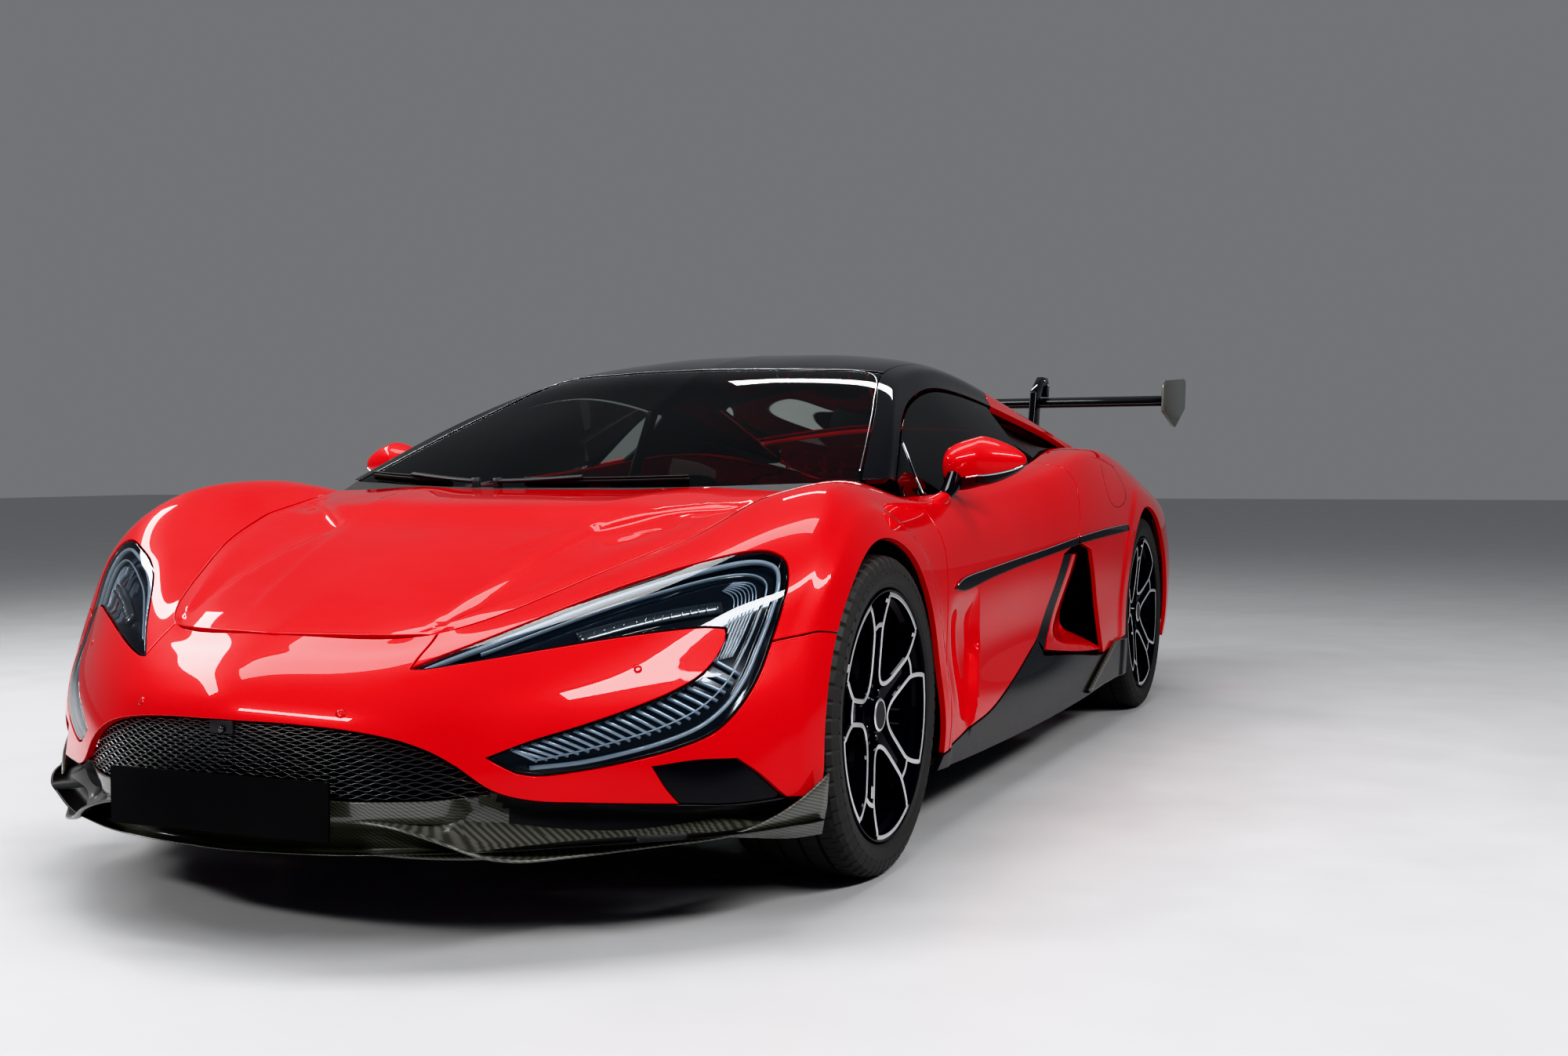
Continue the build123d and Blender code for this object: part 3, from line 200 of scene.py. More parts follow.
class Sheet:
    """A smooth surface over two parameters, read from a faired grid."""

    def __init__(self, point: Callable, first: tuple, second: tuple, fair: tuple = (0.0, 0.0),
                 detail: Callable | None = None, outward: float = 1.0) -> None:
        """Samples the surface.

        Args:
            point: function of both parameters that gives a point in millimetres.
            first: (lowest, highest, step) of the first parameter.
            second: the same for the second parameter.
            fair: width of the fairing in cells, along each parameter.
            detail: function of points in metres that gives offsets to add.
            outward: +1 or -1, the side that faces out.
        """
        self.low = np.array([first[0], second[0]], float)
        self.step = np.array([first[2], second[2]], float)
        rows = [first[0] + first[2] * i for i in range(int(round((first[1] - first[0]) / first[2])) + 1)]
        cols = [second[0] + second[2] * i for i in range(int(round((second[1] - second[0]) / second[2])) + 1)]
        grid = np.array([[point(a, b) for b in cols] for a in rows], float) * MM
        self.grid = soften(soften(grid, fair[0], 0), fair[1], 1)
        self.detail = detail
        self.outward = outward

    def points(self, at: np.ndarray) -> np.ndarray:
        """Points of the surface at N pairs of parameters.

        Args:
            at: N pairs of parameters.

        Returns:
            N points in space.
        """
        at = np.atleast_2d(np.asarray(at, float))
        t = (at - self.low) / self.step
        size = np.array(self.grid.shape[:2])
        i = np.clip(np.floor(t).astype(int), 0, size - 2)
        f = t - i
        out = np.zeros((len(at), 3))
        wa, wb = self._weights(f[:, 0]), self._weights(f[:, 1])
        for a in range(4):
            for b in range(4):
                out += (wa[a] * wb[b])[:, None] * self._cell(i[:, 0] + a - 1, i[:, 1] + b - 1)
        return out + self.detail(out) if self.detail else out

    def _weights(self, f: np.ndarray) -> list:
        """Catmull-Rom weights of four neighbours."""
        return [0.5 * (-f + 2 * f ** 2 - f ** 3), 0.5 * (2 - 5 * f ** 2 + 3 * f ** 3),
                0.5 * (f + 4 * f ** 2 - 3 * f ** 3), 0.5 * (-f ** 2 + f ** 3)]

    def _cell(self, i: np.ndarray, j: np.ndarray) -> np.ndarray:
        """Grid points, with straight continuation one cell past the edges.

        Args:
            i: rows, which may lie one past the grid.
            j: columns, likewise.

        Returns:
            Their points.
        """
        n, m = self.grid.shape[:2]
        ic, jc = np.clip(i, 0, n - 1), np.clip(j, 0, m - 1)
        out = self.grid[ic, jc].copy()
        for over, edge in (((i < 0), 0), ((i >= n), n - 1)):
            inner = 1 if edge == 0 else n - 2
            out[over] = 2 * self.grid[edge, jc[over]] - self.grid[inner, jc[over]]
        for over, edge in (((j < 0), 0), ((j >= m), m - 1)):
            inner = 1 if edge == 0 else m - 2
            out[over] = 2 * self.grid[ic[over], edge] - self.grid[ic[over], inner]
        return out

    def slopes(self, at: np.ndarray) -> tuple:
        """Both derivatives of the surface at N pairs of parameters.

        Args:
            at: N pairs of parameters.

        Returns:
            Two arrays of N vectors.
        """
        at = np.atleast_2d(np.asarray(at, float))
        h = self.step * 0.25
        da = (self.points(at + [h[0], 0]) - self.points(at - [h[0], 0])) / (2 * h[0])
        db = (self.points(at + [0, h[1]]) - self.points(at - [0, h[1]])) / (2 * h[1])
        return da, db

    def normals(self, at: np.ndarray) -> np.ndarray:
        """Outward unit normals at N pairs of parameters.

        Args:
            at: N pairs of parameters.

        Returns:
            N unit vectors.
        """
        da, db = self.slopes(at)
        n = np.cross(da, db) * self.outward
        return n / np.maximum(np.linalg.norm(n, axis=1), 1e-9)[:, None]

    def locate(self, targets: np.ndarray, axes: tuple, window: tuple | None = None, view: Callable | None = None
               ) -> np.ndarray:
        """Parameters whose points match given coordinates.

        Args:
            targets: N pairs of coordinates in metres.
            axes: which two of x, y, z they are.
            window: (a0, a1, b0, b1), the part of the sheet to look in.
            view: another way to turn points into pairs, in place of axes.

        Returns:
            N pairs of parameters.
        """
        flat = view or (lambda p: p[:, list(axes)])
        targets = np.atleast_2d(np.asarray(targets, float))
        n, m = self.grid.shape[:2]
        ii, jj = np.meshgrid(np.arange(n), np.arange(m), indexing="ij")
        at = np.stack([ii.ravel(), jj.ravel()], 1) * self.step + self.low
        if window:
            keep = (at[:, 0] >= window[0]) & (at[:, 0] <= window[1]) & (at[:, 1] >= window[2]) & (at[:, 1] <= window[3])
            at = at[keep]
        shown = flat(self.points(at))
        start = at[[int(np.argmin(((shown - t) ** 2).sum(1))) for t in targets]]
        for _ in range(12):
            base = flat(self.points(start))
            h = self.step * 0.2
            ja = (flat(self.points(start + [h[0], 0])) - base) / h[0]
            jb = (flat(self.points(start + [0, h[1]])) - base) / h[1]
            err = targets - base
            det = ja[:, 0] * jb[:, 1] - ja[:, 1] * jb[:, 0]
            det = np.where(np.abs(det) < 1e-9, 1e-9, det)
            move = np.stack([(err[:, 0] * jb[:, 1] - err[:, 1] * jb[:, 0]) / det,
                             (ja[:, 0] * err[:, 1] - ja[:, 1] * err[:, 0]) / det], 1)
            start = start + np.clip(move, -3 * self.step, 3 * self.step)
            if window:
                start = np.clip(start, [window[0], window[2]], [window[1], window[3]])
        return start


def line_point(lines: dict) -> Callable:
    """Point function over feature lines.

    Args:
        lines: name -> {station: point}, lowest line first.

    Returns:
        Function of a station and a line's number.
    """
    tables = list(lines.values())
    cache = {}

    def point(s: float, k: float) -> np.ndarray:
        """Point at station s on line k.

        Args:
            s: station.
            k: line.

        Returns:
            The point in space.
        """
        key = round(s, 6)
        if key not in cache:
            cache[key] = {i: along(t, s) for i, t in enumerate(tables)}
        return along(cache[key], k)
    return point


def body_function() -> Callable:
    """Body side over station and line, carried past both centre lines as its mirror image.

    Returns:
        Function of station and line that gives a point.
    """
    raw = line_point(BODY_LINES)

    def point(s: float, k: float) -> np.ndarray:
        """Point at station s on line k.

        Args:
            s: station.
            k: line.

        Returns:
            The point in space.
        """
        if s < 0:
            return raw(-s, k) * [-1, 1, 1]
        if s > 21:
            return raw(42 - s, k) * [-1, 1, 1]
        return raw(s, k)
    return point


def body_detail(p: np.ndarray) -> np.ndarray:
    """Pressed forms of the flank: the two arch flares and the step behind the door's front edge.

    Args:
        p: points of the plain side.

    Returns:
        How far each one moves outwards, as vectors.
    """
    out = np.zeros_like(p)
    side = np.sign(p[:, 0])
    flank = ramp(np.abs(p[:, 0]), 0.80, 0.90)
    for y, z in (FRONT_AXLE, REAR_AXLE):
        r = np.hypot(p[:, 1] - y, p[:, 2] - z)
        r = np.where(p[:, 2] < z, np.maximum(np.abs(p[:, 1] - y), 0), r)
        out[:, 0] += side * flank * 0.008 * ramp(r, ARCH_RADIUS + FLARE[1], ARCH_RADIUS + FLARE[0])
    edge = np.interp(p[:, 2], BLADE_Z, BLADE_Y)
    step = ramp(p[:, 1], -0.905, -0.76) * (1 - ramp(p[:, 1], edge - 0.006, edge + 0.004))
    band = ramp(p[:, 2], 0.225, 0.30) * (1 - ramp(p[:, 2], 0.50, 0.60))
    out[:, 0] -= side * flank * 0.020 * step * band
    return out


def cab_function() -> Callable:
    """Cab over station and line, negative lines on the right."""
    raw = line_point(CAB_LINES)
    return lambda c, k: raw(c, abs(k)) * [math.copysign(1, k), 1, 1]


def bonnet_detail(p: np.ndarray) -> np.ndarray:
    """Pressed forms of the bonnet: two creases that spread from the nose and a channel along each side.

    Args:
        p: points of the plain bonnet.

    Returns:
        How far each one moves, as vectors.
    """
    out = np.zeros_like(p)
    x, y = np.abs(p[:, 0]), p[:, 1]
    fade = ramp(y, -2.27, -2.10) * (1 - ramp(y, -1.45, -1.30))
    past = np.maximum(x - np.interp(y, CREASE_Y, CREASE_X), 0.0)
    out[:, 2] -= 0.006 * fade * (1 - np.exp(-past / 0.030)) * (1 - ramp(past, 0.08, 0.20))
    start = np.interp(y, CREASE_Y, CHANNEL_X)
    edge = np.interp(y, (-2.228, -1.942, -1.673, -1.509, -1.18), (0.327, 0.50, 0.611, 0.649, 0.69))
    past = np.maximum(x - start, 0.0)
    out[:, 2] -= 0.015 * fade * (1 - np.exp(-past / 0.010)) * (1 - ramp(x, start + 0.3 * (edge - start), edge - 0.02))
    return out


def bonnet_function() -> Callable:
    """Bonnet over u, -1 to 1 across, and v, 0 at the nose to 1 at the screen.

    Returns:
        Function of u and v that gives a point.
    """
    def point(u: float, v: float) -> np.ndarray:
        """Point at u across and v along.

        Args:
            u: place across.
            v: place along.

        Returns:
            The point in space.
        """
        edge = along(BODY_LINES["edge"], 2 + 7 * v)
        front_y = along(BODY_LINES["edge"], 2 * min(1, abs(u)))[1] - along(BODY_LINES["edge"], 2)[1]
        y = edge[1] + front_y * (1 - v) - 35.0 * (1 - u * u) * v
        centre = along(BONNET_CENTRE, v)[0]
        bump = BONNET_RIDGE * math.sin(math.pi * min(1, v * 1.6)) if v < 0.6 else BONNET_RIDGE
        ridge = bump * math.exp(-(((abs(u) - 0.62) / 0.16) ** 2))
        fall = abs(u) ** 4
        return np.array([u * edge[0], y, centre + (edge[2] - centre) * fall + ridge * (1 - fall)])
    return point


# ---- finishes ----
@dataclass(frozen=True)
class Finish:
    """What one material looks like.

    Attributes:
        name: the material's name.
        color: linear red, green and blue.
        rough: roughness of the base.
        metal: how metallic the base is.
        coat: weight of the clear coat.
        coat_rough: its roughness.
        clear: 1 for a clear sheet, else 0.
        ior: of the base.
        glow: emission strength in the finish's own colour.
        grain: strength of the fine bump.
        grain_scale: how fine it is.
        speckle: strength of the paint's flake bump.
        weave: whether the carbon weave shows.
        slot: the record's material slot; not used.
        shine: specular level of the base.
        coat_ior: of the clear coat.
    """

    name: str
    color: tuple
    rough: float = 0.4
    metal: float = 0.0
    coat: float = 0.0
    coat_rough: float = 0.03
    clear: float = 0.0
    ior: float = 1.5
    glow: float = 0.0
    grain: float = 0.0
    grain_scale: float = 400.0
    speckle: float = 0.0
    weave: bool = False
    slot: str = "black_trim"
    shine: float = 0.5
    coat_ior: float = 1.5


RED = Finish("red_clearcoat", (0.66, 0.0012, 0.0035), 0.34, 0.12, 1.0, 0.015, speckle=0.06, slot="red_paint",
             shine=0.0, coat_ior=1.40)
GLOSS = Finish("gloss_black", (0.006, 0.006, 0.007), 0.12, 0.0, 1.0, 0.02, speckle=0.06, slot="black_gloss",
               shine=0.0, coat_ior=1.40)
CARBON = Finish("carbon_weave", (0.060, 0.060, 0.053), 0.36, 0.0, 0.8, 0.06, weave=True, slot="carbon")
DARK_CARBON = Finish("gloss_carbon", (0.0060, 0.0062, 0.007), 0.30, 0.0, 0.45, 0.06, weave=True, slot="carbon",
                     shine=0.05, coat_ior=1.35)
WING_BLACK = Finish("wing_black", (0.0035, 0.0035, 0.004), 0.35, 0.0, 0.35, 0.05, grain=0.05, slot="carbon",
                    shine=0.05, coat_ior=1.35)
TRIM = Finish("black_trim", (0.012, 0.012, 0.013), 0.55, grain=0.25, slot="black_trim")
MESH = Finish("grille_black", (0.014, 0.014, 0.015), 0.30, grain=0.1, coat=0.4, slot="black_trim")
GLASS = Finish("tinted_glass", (0.55, 0.62, 0.58), 0.0, clear=1.0, slot="glass")
DARK_GLASS = Finish("privacy_glass", (0.045, 0.055, 0.055), 0.0, clear=1.0, slot="glass")
LENS = Finish("lamp_lens", (0.92, 0.95, 0.98), 0.0, clear=1.0, slot="lamp_glass")
HOUSING = Finish("lamp_housing", (0.006, 0.007, 0.012), 0.10, 0.2, 1.0, 0.03, slot="black_gloss")
GUIDE = Finish("light_guide", (0.42, 0.52, 0.62), 0.12, coat=1.0, glow=0.12, slot="lamp_glass")
VANE = Finish("lamp_vane", (0.50, 0.60, 0.72), 0.10, 0.3, 1.0, 0.03, glow=0.10, slot="lamp_glass")
REFLECTOR = Finish("lamp_reflector", (0.16, 0.17, 0.18), 0.18, 0.6, 1.0, 0.03, slot="lamp_glass")
CHROME = Finish("bright_metal", (0.80, 0.82, 0.85), 0.12, 1.0, slot="steel")
MACHINED = Finish("machined_silver", (0.90, 0.91, 0.93), 0.30, 1.0, grain=0.12, grain_scale=900.0, slot="rim_black")
WHEEL_BLACK = Finish("wheel_black", (0.006, 0.006, 0.007), 0.20, 0.0, 0.6, 0.03, speckle=0.06, slot="rim_black",
                     shine=0.0, coat_ior=1.35)
RUBBER = Finish("tyre_rubber", (0.020, 0.019, 0.018), 0.62, grain=0.5, grain_scale=260.0, slot="tyre")
CALIPER = Finish("red_caliper", (0.50, 0.004, 0.006), 0.35, 0.0, 0.8, 0.1, grain=0.1, slot="upright")
IRON = Finish("disc_iron", (0.32, 0.32, 0.33), 0.38, 1.0, grain=0.3, grain_scale=700.0, slot="steel")
ALLOY = Finish("cast_alloy", (0.30, 0.30, 0.32), 0.55, 0.9, grain=0.4, grain_scale=180.0, slot="upright")
LEATHER = Finish("black_leather", (0.020, 0.019, 0.019), 0.52, grain=0.6, grain_scale=650.0, slot="leather")
SUEDE = Finish("grey_green_suede", (0.11, 0.13, 0.10), 0.85, grain=0.5, grain_scale=900.0, slot="leather")
STITCH = Finish("red_stitch", (0.55, 0.01, 0.01), 0.6, grain=0.3, slot="leather")
TAIL_RED = Finish("tail_red", (0.45, 0.0, 0.0), 0.08, coat=1.0, glow=0.25, slot="tail_glass")
SMOKE = Finish("smoked_lens", (0.05, 0.01, 0.012), 0.05, coat=1.0, slot="tail_glass")
PLATE = Finish("blank_plate", (0.0015, 0.0015, 0.0016), 0.6, grain=0.05, slot="plate", shine=0.15)
SCREEN = Finish("dark_screen", (0.004, 0.004, 0.005), 0.08, coat=1.0, slot="black_gloss")
FLOOR = Finish("studio_floor", (0.62, 0.62, 0.63), 0.45, grain=0.02)


class Paintbox:
    """Makes each finish once and hands it out."""

    def __init__(self) -> None:
        """Starts with no material and no shared group."""
        self.made: dict[str, bpy.types.Material] = {}
        self.groups: dict[str, bpy.types.NodeTree] = {}

    def get(self, finish: Finish) -> bpy.types.Material:
        """The material of a finish."""
        if finish.name not in self.made:
            self.made[finish.name] = self._build(finish)
        return self.made[finish.name]

    def group(self, name: str, outputs: tuple, wire: Callable) -> bpy.types.NodeTree:
        """A shared node group, made on first use.

        Args:
            name: its name.
            outputs: names of its value outputs.
            wire: function of (tree, group input, group output) that fills it.

        Returns:
            The node group.
        """
        if name not in self.groups:
            tree = bpy.data.node_groups.new(name, "ShaderNodeTree")
            tree.interface.new_socket("Scale", in_out="INPUT", socket_type="NodeSocketFloat")
            for output in outputs:
                tree.interface.new_socket(output, in_out="OUTPUT", socket_type="NodeSocketFloat")
            wire(tree, tree.nodes.new("NodeGroupInput"), tree.nodes.new("NodeGroupOutput"))
            self.groups[name] = tree
        return self.groups[name]

    def _grain(self, tree: bpy.types.NodeTree, group_in: bpy.types.Node, group_out: bpy.types.Node) -> None:
        """Fine noise height and a broad dust mask.

        Args:
            tree: node group to fill.
            group_in: its input node.
            group_out: its output node.
        """
        links = tree.links
        where = tree.nodes.new("ShaderNodeTexCoord")
        fine = tree.nodes.new("ShaderNodeTexNoise")
        broad = tree.nodes.new("ShaderNodeTexNoise")
        fine.inputs["Detail"].default_value = 3.0
        broad.inputs["Scale"].default_value = 3.5
        broad.inputs["Detail"].default_value = 4.0
        links.new(where.outputs["Object"], fine.inputs["Vector"])
        links.new(where.outputs["Object"], broad.inputs["Vector"])
        links.new(group_in.outputs["Scale"], fine.inputs["Scale"])
        links.new(fine.outputs["Fac"], group_out.inputs["Height"])
        links.new(broad.outputs["Fac"], group_out.inputs["Dust"])

    def _math(self, tree: bpy.types.NodeTree, kind: str, *values: object) -> bpy.types.NodeSocket:
        """Adds a math node to a tree.

        Args:
            tree: the tree.
            kind: the node's operation.
            values: a number or an output socket for each input.

        Returns:
            Its output socket.
        """
        node = tree.nodes.new("ShaderNodeMath")
        node.operation = kind
        for socket, value in zip(node.inputs, values):
            if isinstance(value, (int, float)):
                socket.default_value = value
            else:
                tree.links.new(value, socket)
        return node.outputs[0]

    def _bump(self, tree: bpy.types.NodeTree, height: bpy.types.NodeSocket, strength: float, distance: float) -> None:
        """Feeds a height into the shader's normal.

        Args:
            tree: the material's tree.
            height: output socket of the height.
            strength: of the bump.
            distance: its depth in metres.
        """
        bump = tree.nodes.new("ShaderNodeBump")
        bump.inputs["Strength"].default_value = strength
        bump.inputs["Distance"].default_value = distance
        tree.links.new(height, bump.inputs["Height"])
        tree.links.new(bump.outputs["Normal"], tree.nodes["Principled BSDF"].inputs["Normal"])

    def _blend(self, tree: bpy.types.NodeTree, mask: bpy.types.NodeSocket, low: tuple, high: tuple) -> None:
        """Feeds a blend of two colours into the shader's base colour.

        Args:
            tree: the material's tree.
            mask: output socket, 0 for the low colour and 1 for the high one.
            low: linear colour.
            high: linear colour.
        """
        mix = tree.nodes.new("ShaderNodeMix")
        mix.data_type = "RGBA"
        mix.inputs["A"].default_value = (*low, 1.0)
        mix.inputs["B"].default_value = (*high, 1.0)
        tree.links.new(mask, mix.inputs["Factor"])
        tree.links.new(mix.outputs["Result"], tree.nodes["Principled BSDF"].inputs["Base Color"])

    def _weave(self, tree: bpy.types.NodeTree, group_in: bpy.types.Node, group_out: bpy.types.Node) -> None:
        """Twill weave: two crossed bands that swap every second tow.

        Args:
            tree: node group to fill.
            group_in: its input node.
            group_out: its output node.
        """
        nodes, links = tree.nodes, tree.links
        where = nodes.new("ShaderNodeTexCoord")
        turn = nodes.new("ShaderNodeVectorRotate")
        turn.rotation_type = "EULER_XYZ"
        turn.inputs["Rotation"].default_value = (0.0, 0.0, math.radians(45))
        links.new(where.outputs["Object"], turn.inputs["Vector"])
        split = nodes.new("ShaderNodeSeparateXYZ")
        links.new(turn.outputs["Vector"], split.inputs["Vector"])

        scale, x, y, z = group_in.outputs["Scale"], *split.outputs
        u = self._math(tree, "MULTIPLY", self._math(tree, "ADD", x, z), scale)
        v = self._math(tree, "MULTIPLY", self._math(tree, "ADD", y, z), scale)
        cell = self._math(tree, "ABSOLUTE", self._math(tree, "ADD", *(self._math(tree, "FLOOR", w) for w in (u, v))))
        over = self._math(tree, "LESS_THAN", self._math(tree, "MODULO", cell, 4.0), 1.5)
        waves = [self._math(tree, "ABSOLUTE", self._math(tree, "SINE", self._math(tree, "MULTIPLY", w, math.pi)))
                 for w in (u, v)]
        under = self._math(tree, "SUBTRACT", 1.0, over)
        height = self._math(tree, "ADD", self._math(tree, "MULTIPLY", waves[0], over),
                            self._math(tree, "MULTIPLY", waves[1], under))
        links.new(height, group_out.inputs["Height"])
        links.new(over, group_out.inputs["Tow"])

    def _build(self, finish: Finish) -> bpy.types.Material:
        """Node tree of one finish.

        Args:
            finish: what to make.

        Returns:
            The material.
        """
        material = bpy.data.materials.new(finish.name)
        material.use_nodes = True
        tree = material.node_tree
        nodes = tree.nodes
        color = (*finish.color, 1.0)
        settings = {"Base Color": color, "Roughness": finish.rough, "Metallic": finish.metal, "IOR": finish.ior,
                    "Coat Weight": finish.coat, "Coat Roughness": finish.coat_rough, "Coat IOR": finish.coat_ior,
                    "Specular IOR Level": finish.shine}
        if finish.glow:
            settings |= {"Emission Color": color, "Emission Strength": finish.glow}
        for socket, value in settings.items():
            nodes["Principled BSDF"].inputs[socket].default_value = value
        grain = nodes.new("ShaderNodeGroup")
        grain.node_tree = self.group("grain", ("Height", "Dust"), self._grain)
        grain.inputs["Scale"].default_value = finish.grain_scale
        if finish.clear:
            self._pane(tree, finish)
            return material
        lift = 0.012 if finish.rough > 0.4 else 0.0005
        self._blend(tree, grain.outputs["Dust"], finish.color, tuple(min(1.0, c * 0.8 + lift) for c in finish.color))
        if finish.speckle:
            flake = nodes.new("ShaderNodeTexNoise")
            flake.inputs["Scale"].default_value = 2600.0
            where = nodes.new("ShaderNodeTexCoord")
            tree.links.new(where.outputs["Object"], flake.inputs["Vector"])
            self._bump(tree, flake.outputs["Fac"], finish.speckle, 0.0004)
        if finish.grain:
            self._bump(tree, grain.outputs["Height"], finish.grain, 0.0006)
        if finish.weave:
            self._carbon(tree, finish)
        return material

    def _carbon(self, tree: bpy.types.NodeTree, finish: Finish) -> None:
        """Colour and bump of the weave.

        Args:
            tree: the material's tree.
            finish: the carbon's finish.
        """
        weave = tree.nodes.new("ShaderNodeGroup")
        weave.node_tree = self.group("weave", ("Height", "Tow"), self._weave)
        weave.inputs["Scale"].default_value = 260.0
        dark, pale = (tuple(c * factor for c in finish.color) for factor in (0.7, 1.6))
        self._blend(tree, weave.outputs["Tow"], dark, pale)
        self._bump(tree, weave.outputs["Height"], 0.18, 0.0005)

    def _pane(self, tree: bpy.types.NodeTree, finish: Finish) -> None:
        """Thin clear sheet: tinted straight-through light under a mirror-like reflection.

        Args:
            tree: the material's tree.
            finish: the glass's finish.
        """
        nodes, links = tree.nodes, tree.links
        through = nodes.new("ShaderNodeBsdfTransparent")
        through.inputs["Color"].default_value = (*finish.color, 1.0)
        shine = nodes.new("ShaderNodeBsdfGlossy")
        shine.inputs["Roughness"].default_value = 0.02
        facing = nodes.new("ShaderNodeFresnel")
        facing.inputs["IOR"].default_value = 1.52
        mix = nodes.new("ShaderNodeMixShader")
        links.new(facing.outputs["Fac"], mix.inputs["Fac"])
        links.new(through.outputs["BSDF"], mix.inputs[1])
        links.new(shine.outputs["BSDF"], mix.inputs[2])
        links.new(mix.outputs["Shader"], nodes["Material Output"].inputs["Surface"])
        nodes.remove(nodes["Principled BSDF"])


PAINT = Paintbox()


# ---- meshes ----
@dataclass
class Parts:
    """Vertices, faces and normals being gathered into one mesh."""

    verts: list = field(default_factory=list)
    faces: list = field(default_factory=list)
    normals: list = field(default_factory=list)
    marks: list = field(default_factory=list)
    count: int = 0

    def add(self, verts: np.ndarray, faces: list, normals: np.ndarray | None = None, mark: int = 0) -> None:
        """Adds a patch.

        Args:
            verts: its points, N x 3.
            faces: tuples of point numbers.
            normals: one per point, or None to take the faces' own.
            mark: its material number.
        """
        verts = np.asarray(verts, float)
        self.verts.append(verts)
        self.faces += [tuple(i + self.count for i in f) for f in faces]
        self.normals.append(np.full((len(verts), 3), np.nan) if normals is None else normals)
        self.marks += [mark] * len(faces)
        self.count += len(verts)

    def reversed(self) -> "Parts":
        """The same patches with their faces turned round, and their normals as they are."""
        return Parts(self.verts, [tuple(f[::-1]) for f in self.faces], self.normals, self.marks, self.count)

    def inverted(self) -> "Parts":
        """The same patches facing the other way, with their normals turned too.

        Returns:
            A new set.
        """
        out = self.reversed()
        out.normals = [-n for n in self.normals]
        return out

    def mirrored(self) -> "Parts":
        """The same patches on the other side of the car.

        Returns:
            A new set.
        """
        out = Parts(count=self.count, marks=list(self.marks))
        flip = np.array([-1.0, 1.0, 1.0])
        out.verts = [v * flip for v in self.verts]
        out.normals = [n * flip for n in self.normals]
        out.faces = [tuple(reversed(f)) for f in self.faces]
        return out

    def joined(self, *others: "Parts") -> "Parts":
        """One set of patches from several.

        Args:
            others: sets to add behind this one.

        Returns:
            A new set.
        """
        out = Parts()
        for part in (self, *others):
            out.faces += [tuple(i + out.count for i in f) for f in part.faces]
            out.verts += part.verts
            out.normals += part.normals
            out.marks += part.marks
            out.count += part.count
        return out

    @classmethod
    def read(cls, mesh: bmesh.types.BMesh, mark: int = 0) -> "Parts":
        """Takes over a bmesh and frees it.

        Args:
            mesh: what was modelled.
            mark: material number.

        Returns:
            Its vertices and faces as one patch.
        """
        mesh.verts.index_update()
        parts = cls()
        parts.add([tuple(v.co) for v in mesh.verts], [tuple(v.index for v in f.verts) for f in mesh.faces], None, mark)
        mesh.free()
        return parts

    def build(self, name: str, *finishes: Finish, smooth: bool = True) -> bpy.types.Object:
        """Makes the Blender object.

        Args:
            name: of the object and its mesh.
            finishes: one per material number.
            smooth: whether the faces are shaded smooth.

        Returns:
            The object, linked into the scene.
        """
        mesh = bpy.data.meshes.new(name)
        verts = np.concatenate(self.verts)
        mesh.from_pydata(verts.tolist(), [], self.faces)
        for finish in finishes:
            mesh.materials.append(PAINT.get(finish))
        mesh.polygons.foreach_set("material_index", self.marks)
        mesh.polygons.foreach_set("use_smooth", [smooth] * len(self.faces))
        mesh.update()
        normals = np.concatenate(self.normals)
        if not np.isnan(normals).all():
            own = np.array([v.normal for v in mesh.vertices])
            normals = np.where(np.isnan(normals), own, normals)
            mesh.normals_split_custom_set_from_vertices(normals.tolist())
        obj = bpy.data.objects.new(name, mesh)
        bpy.context.scene.collection.objects.link(obj)
        return obj


def spline(points: np.ndarray, count: int) -> np.ndarray:
    """Evenly spread points on a smooth curve through the given ones.

    Args:
        points: two or more points of any dimension.
        count: points wanted.

    Returns:
        The points, ends included.
    """
    points = np.asarray(points, float)
    if len(points) == 2:
        return points[0] + (points[1] - points[0]) * np.linspace(0, 1, count)[:, None]
    chord = np.concatenate([[0], np.cumsum(np.sqrt(np.linalg.norm(np.diff(points, axis=0), axis=1)))])
    keys = dict(zip(chord.tolist(), points))
    fine = np.array([along(keys, t) for t in np.linspace(0, chord[-1], 12 * len(points))])
    run = np.concatenate([[0], np.cumsum(np.linalg.norm(np.diff(fine, axis=0), axis=1))])
    want = np.linspace(0, run[-1], count)
    return np.stack([np.interp(want, run, fine[:, i]) for i in range(points.shape[1])], 1)


def inside(points: np.ndarray, ring: np.ndarray) -> np.ndarray:
    """Which points lie inside a closed ring in the plane.

    Args:
        points: N pairs.
        ring: corners of the ring, the last joined to the first.

    Returns:
        N booleans.
    """
    x, y = points[:, 0:1], points[:, 1:2]
    ax, ay = ring[:, 0][None], ring[:, 1][None]
    bx, by = np.roll(ring[:, 0], -1)[None], np.roll(ring[:, 1], -1)[None]
    crosses = (ay > y) != (by > y)
    at = ax + (y - ay) * (bx - ax) / np.where(np.abs(by - ay) < 1e-12, 1e-12, by - ay)
    return (crosses & (x < at)).sum(1) % 2 == 1


def area(ring: np.ndarray) -> float:
    """Signed area of a ring."""
    x, y = ring[:, 0], ring[:, 1]
    return 0.5 * float((x * np.roll(y, -1) - np.roll(x, -1) * y).sum())


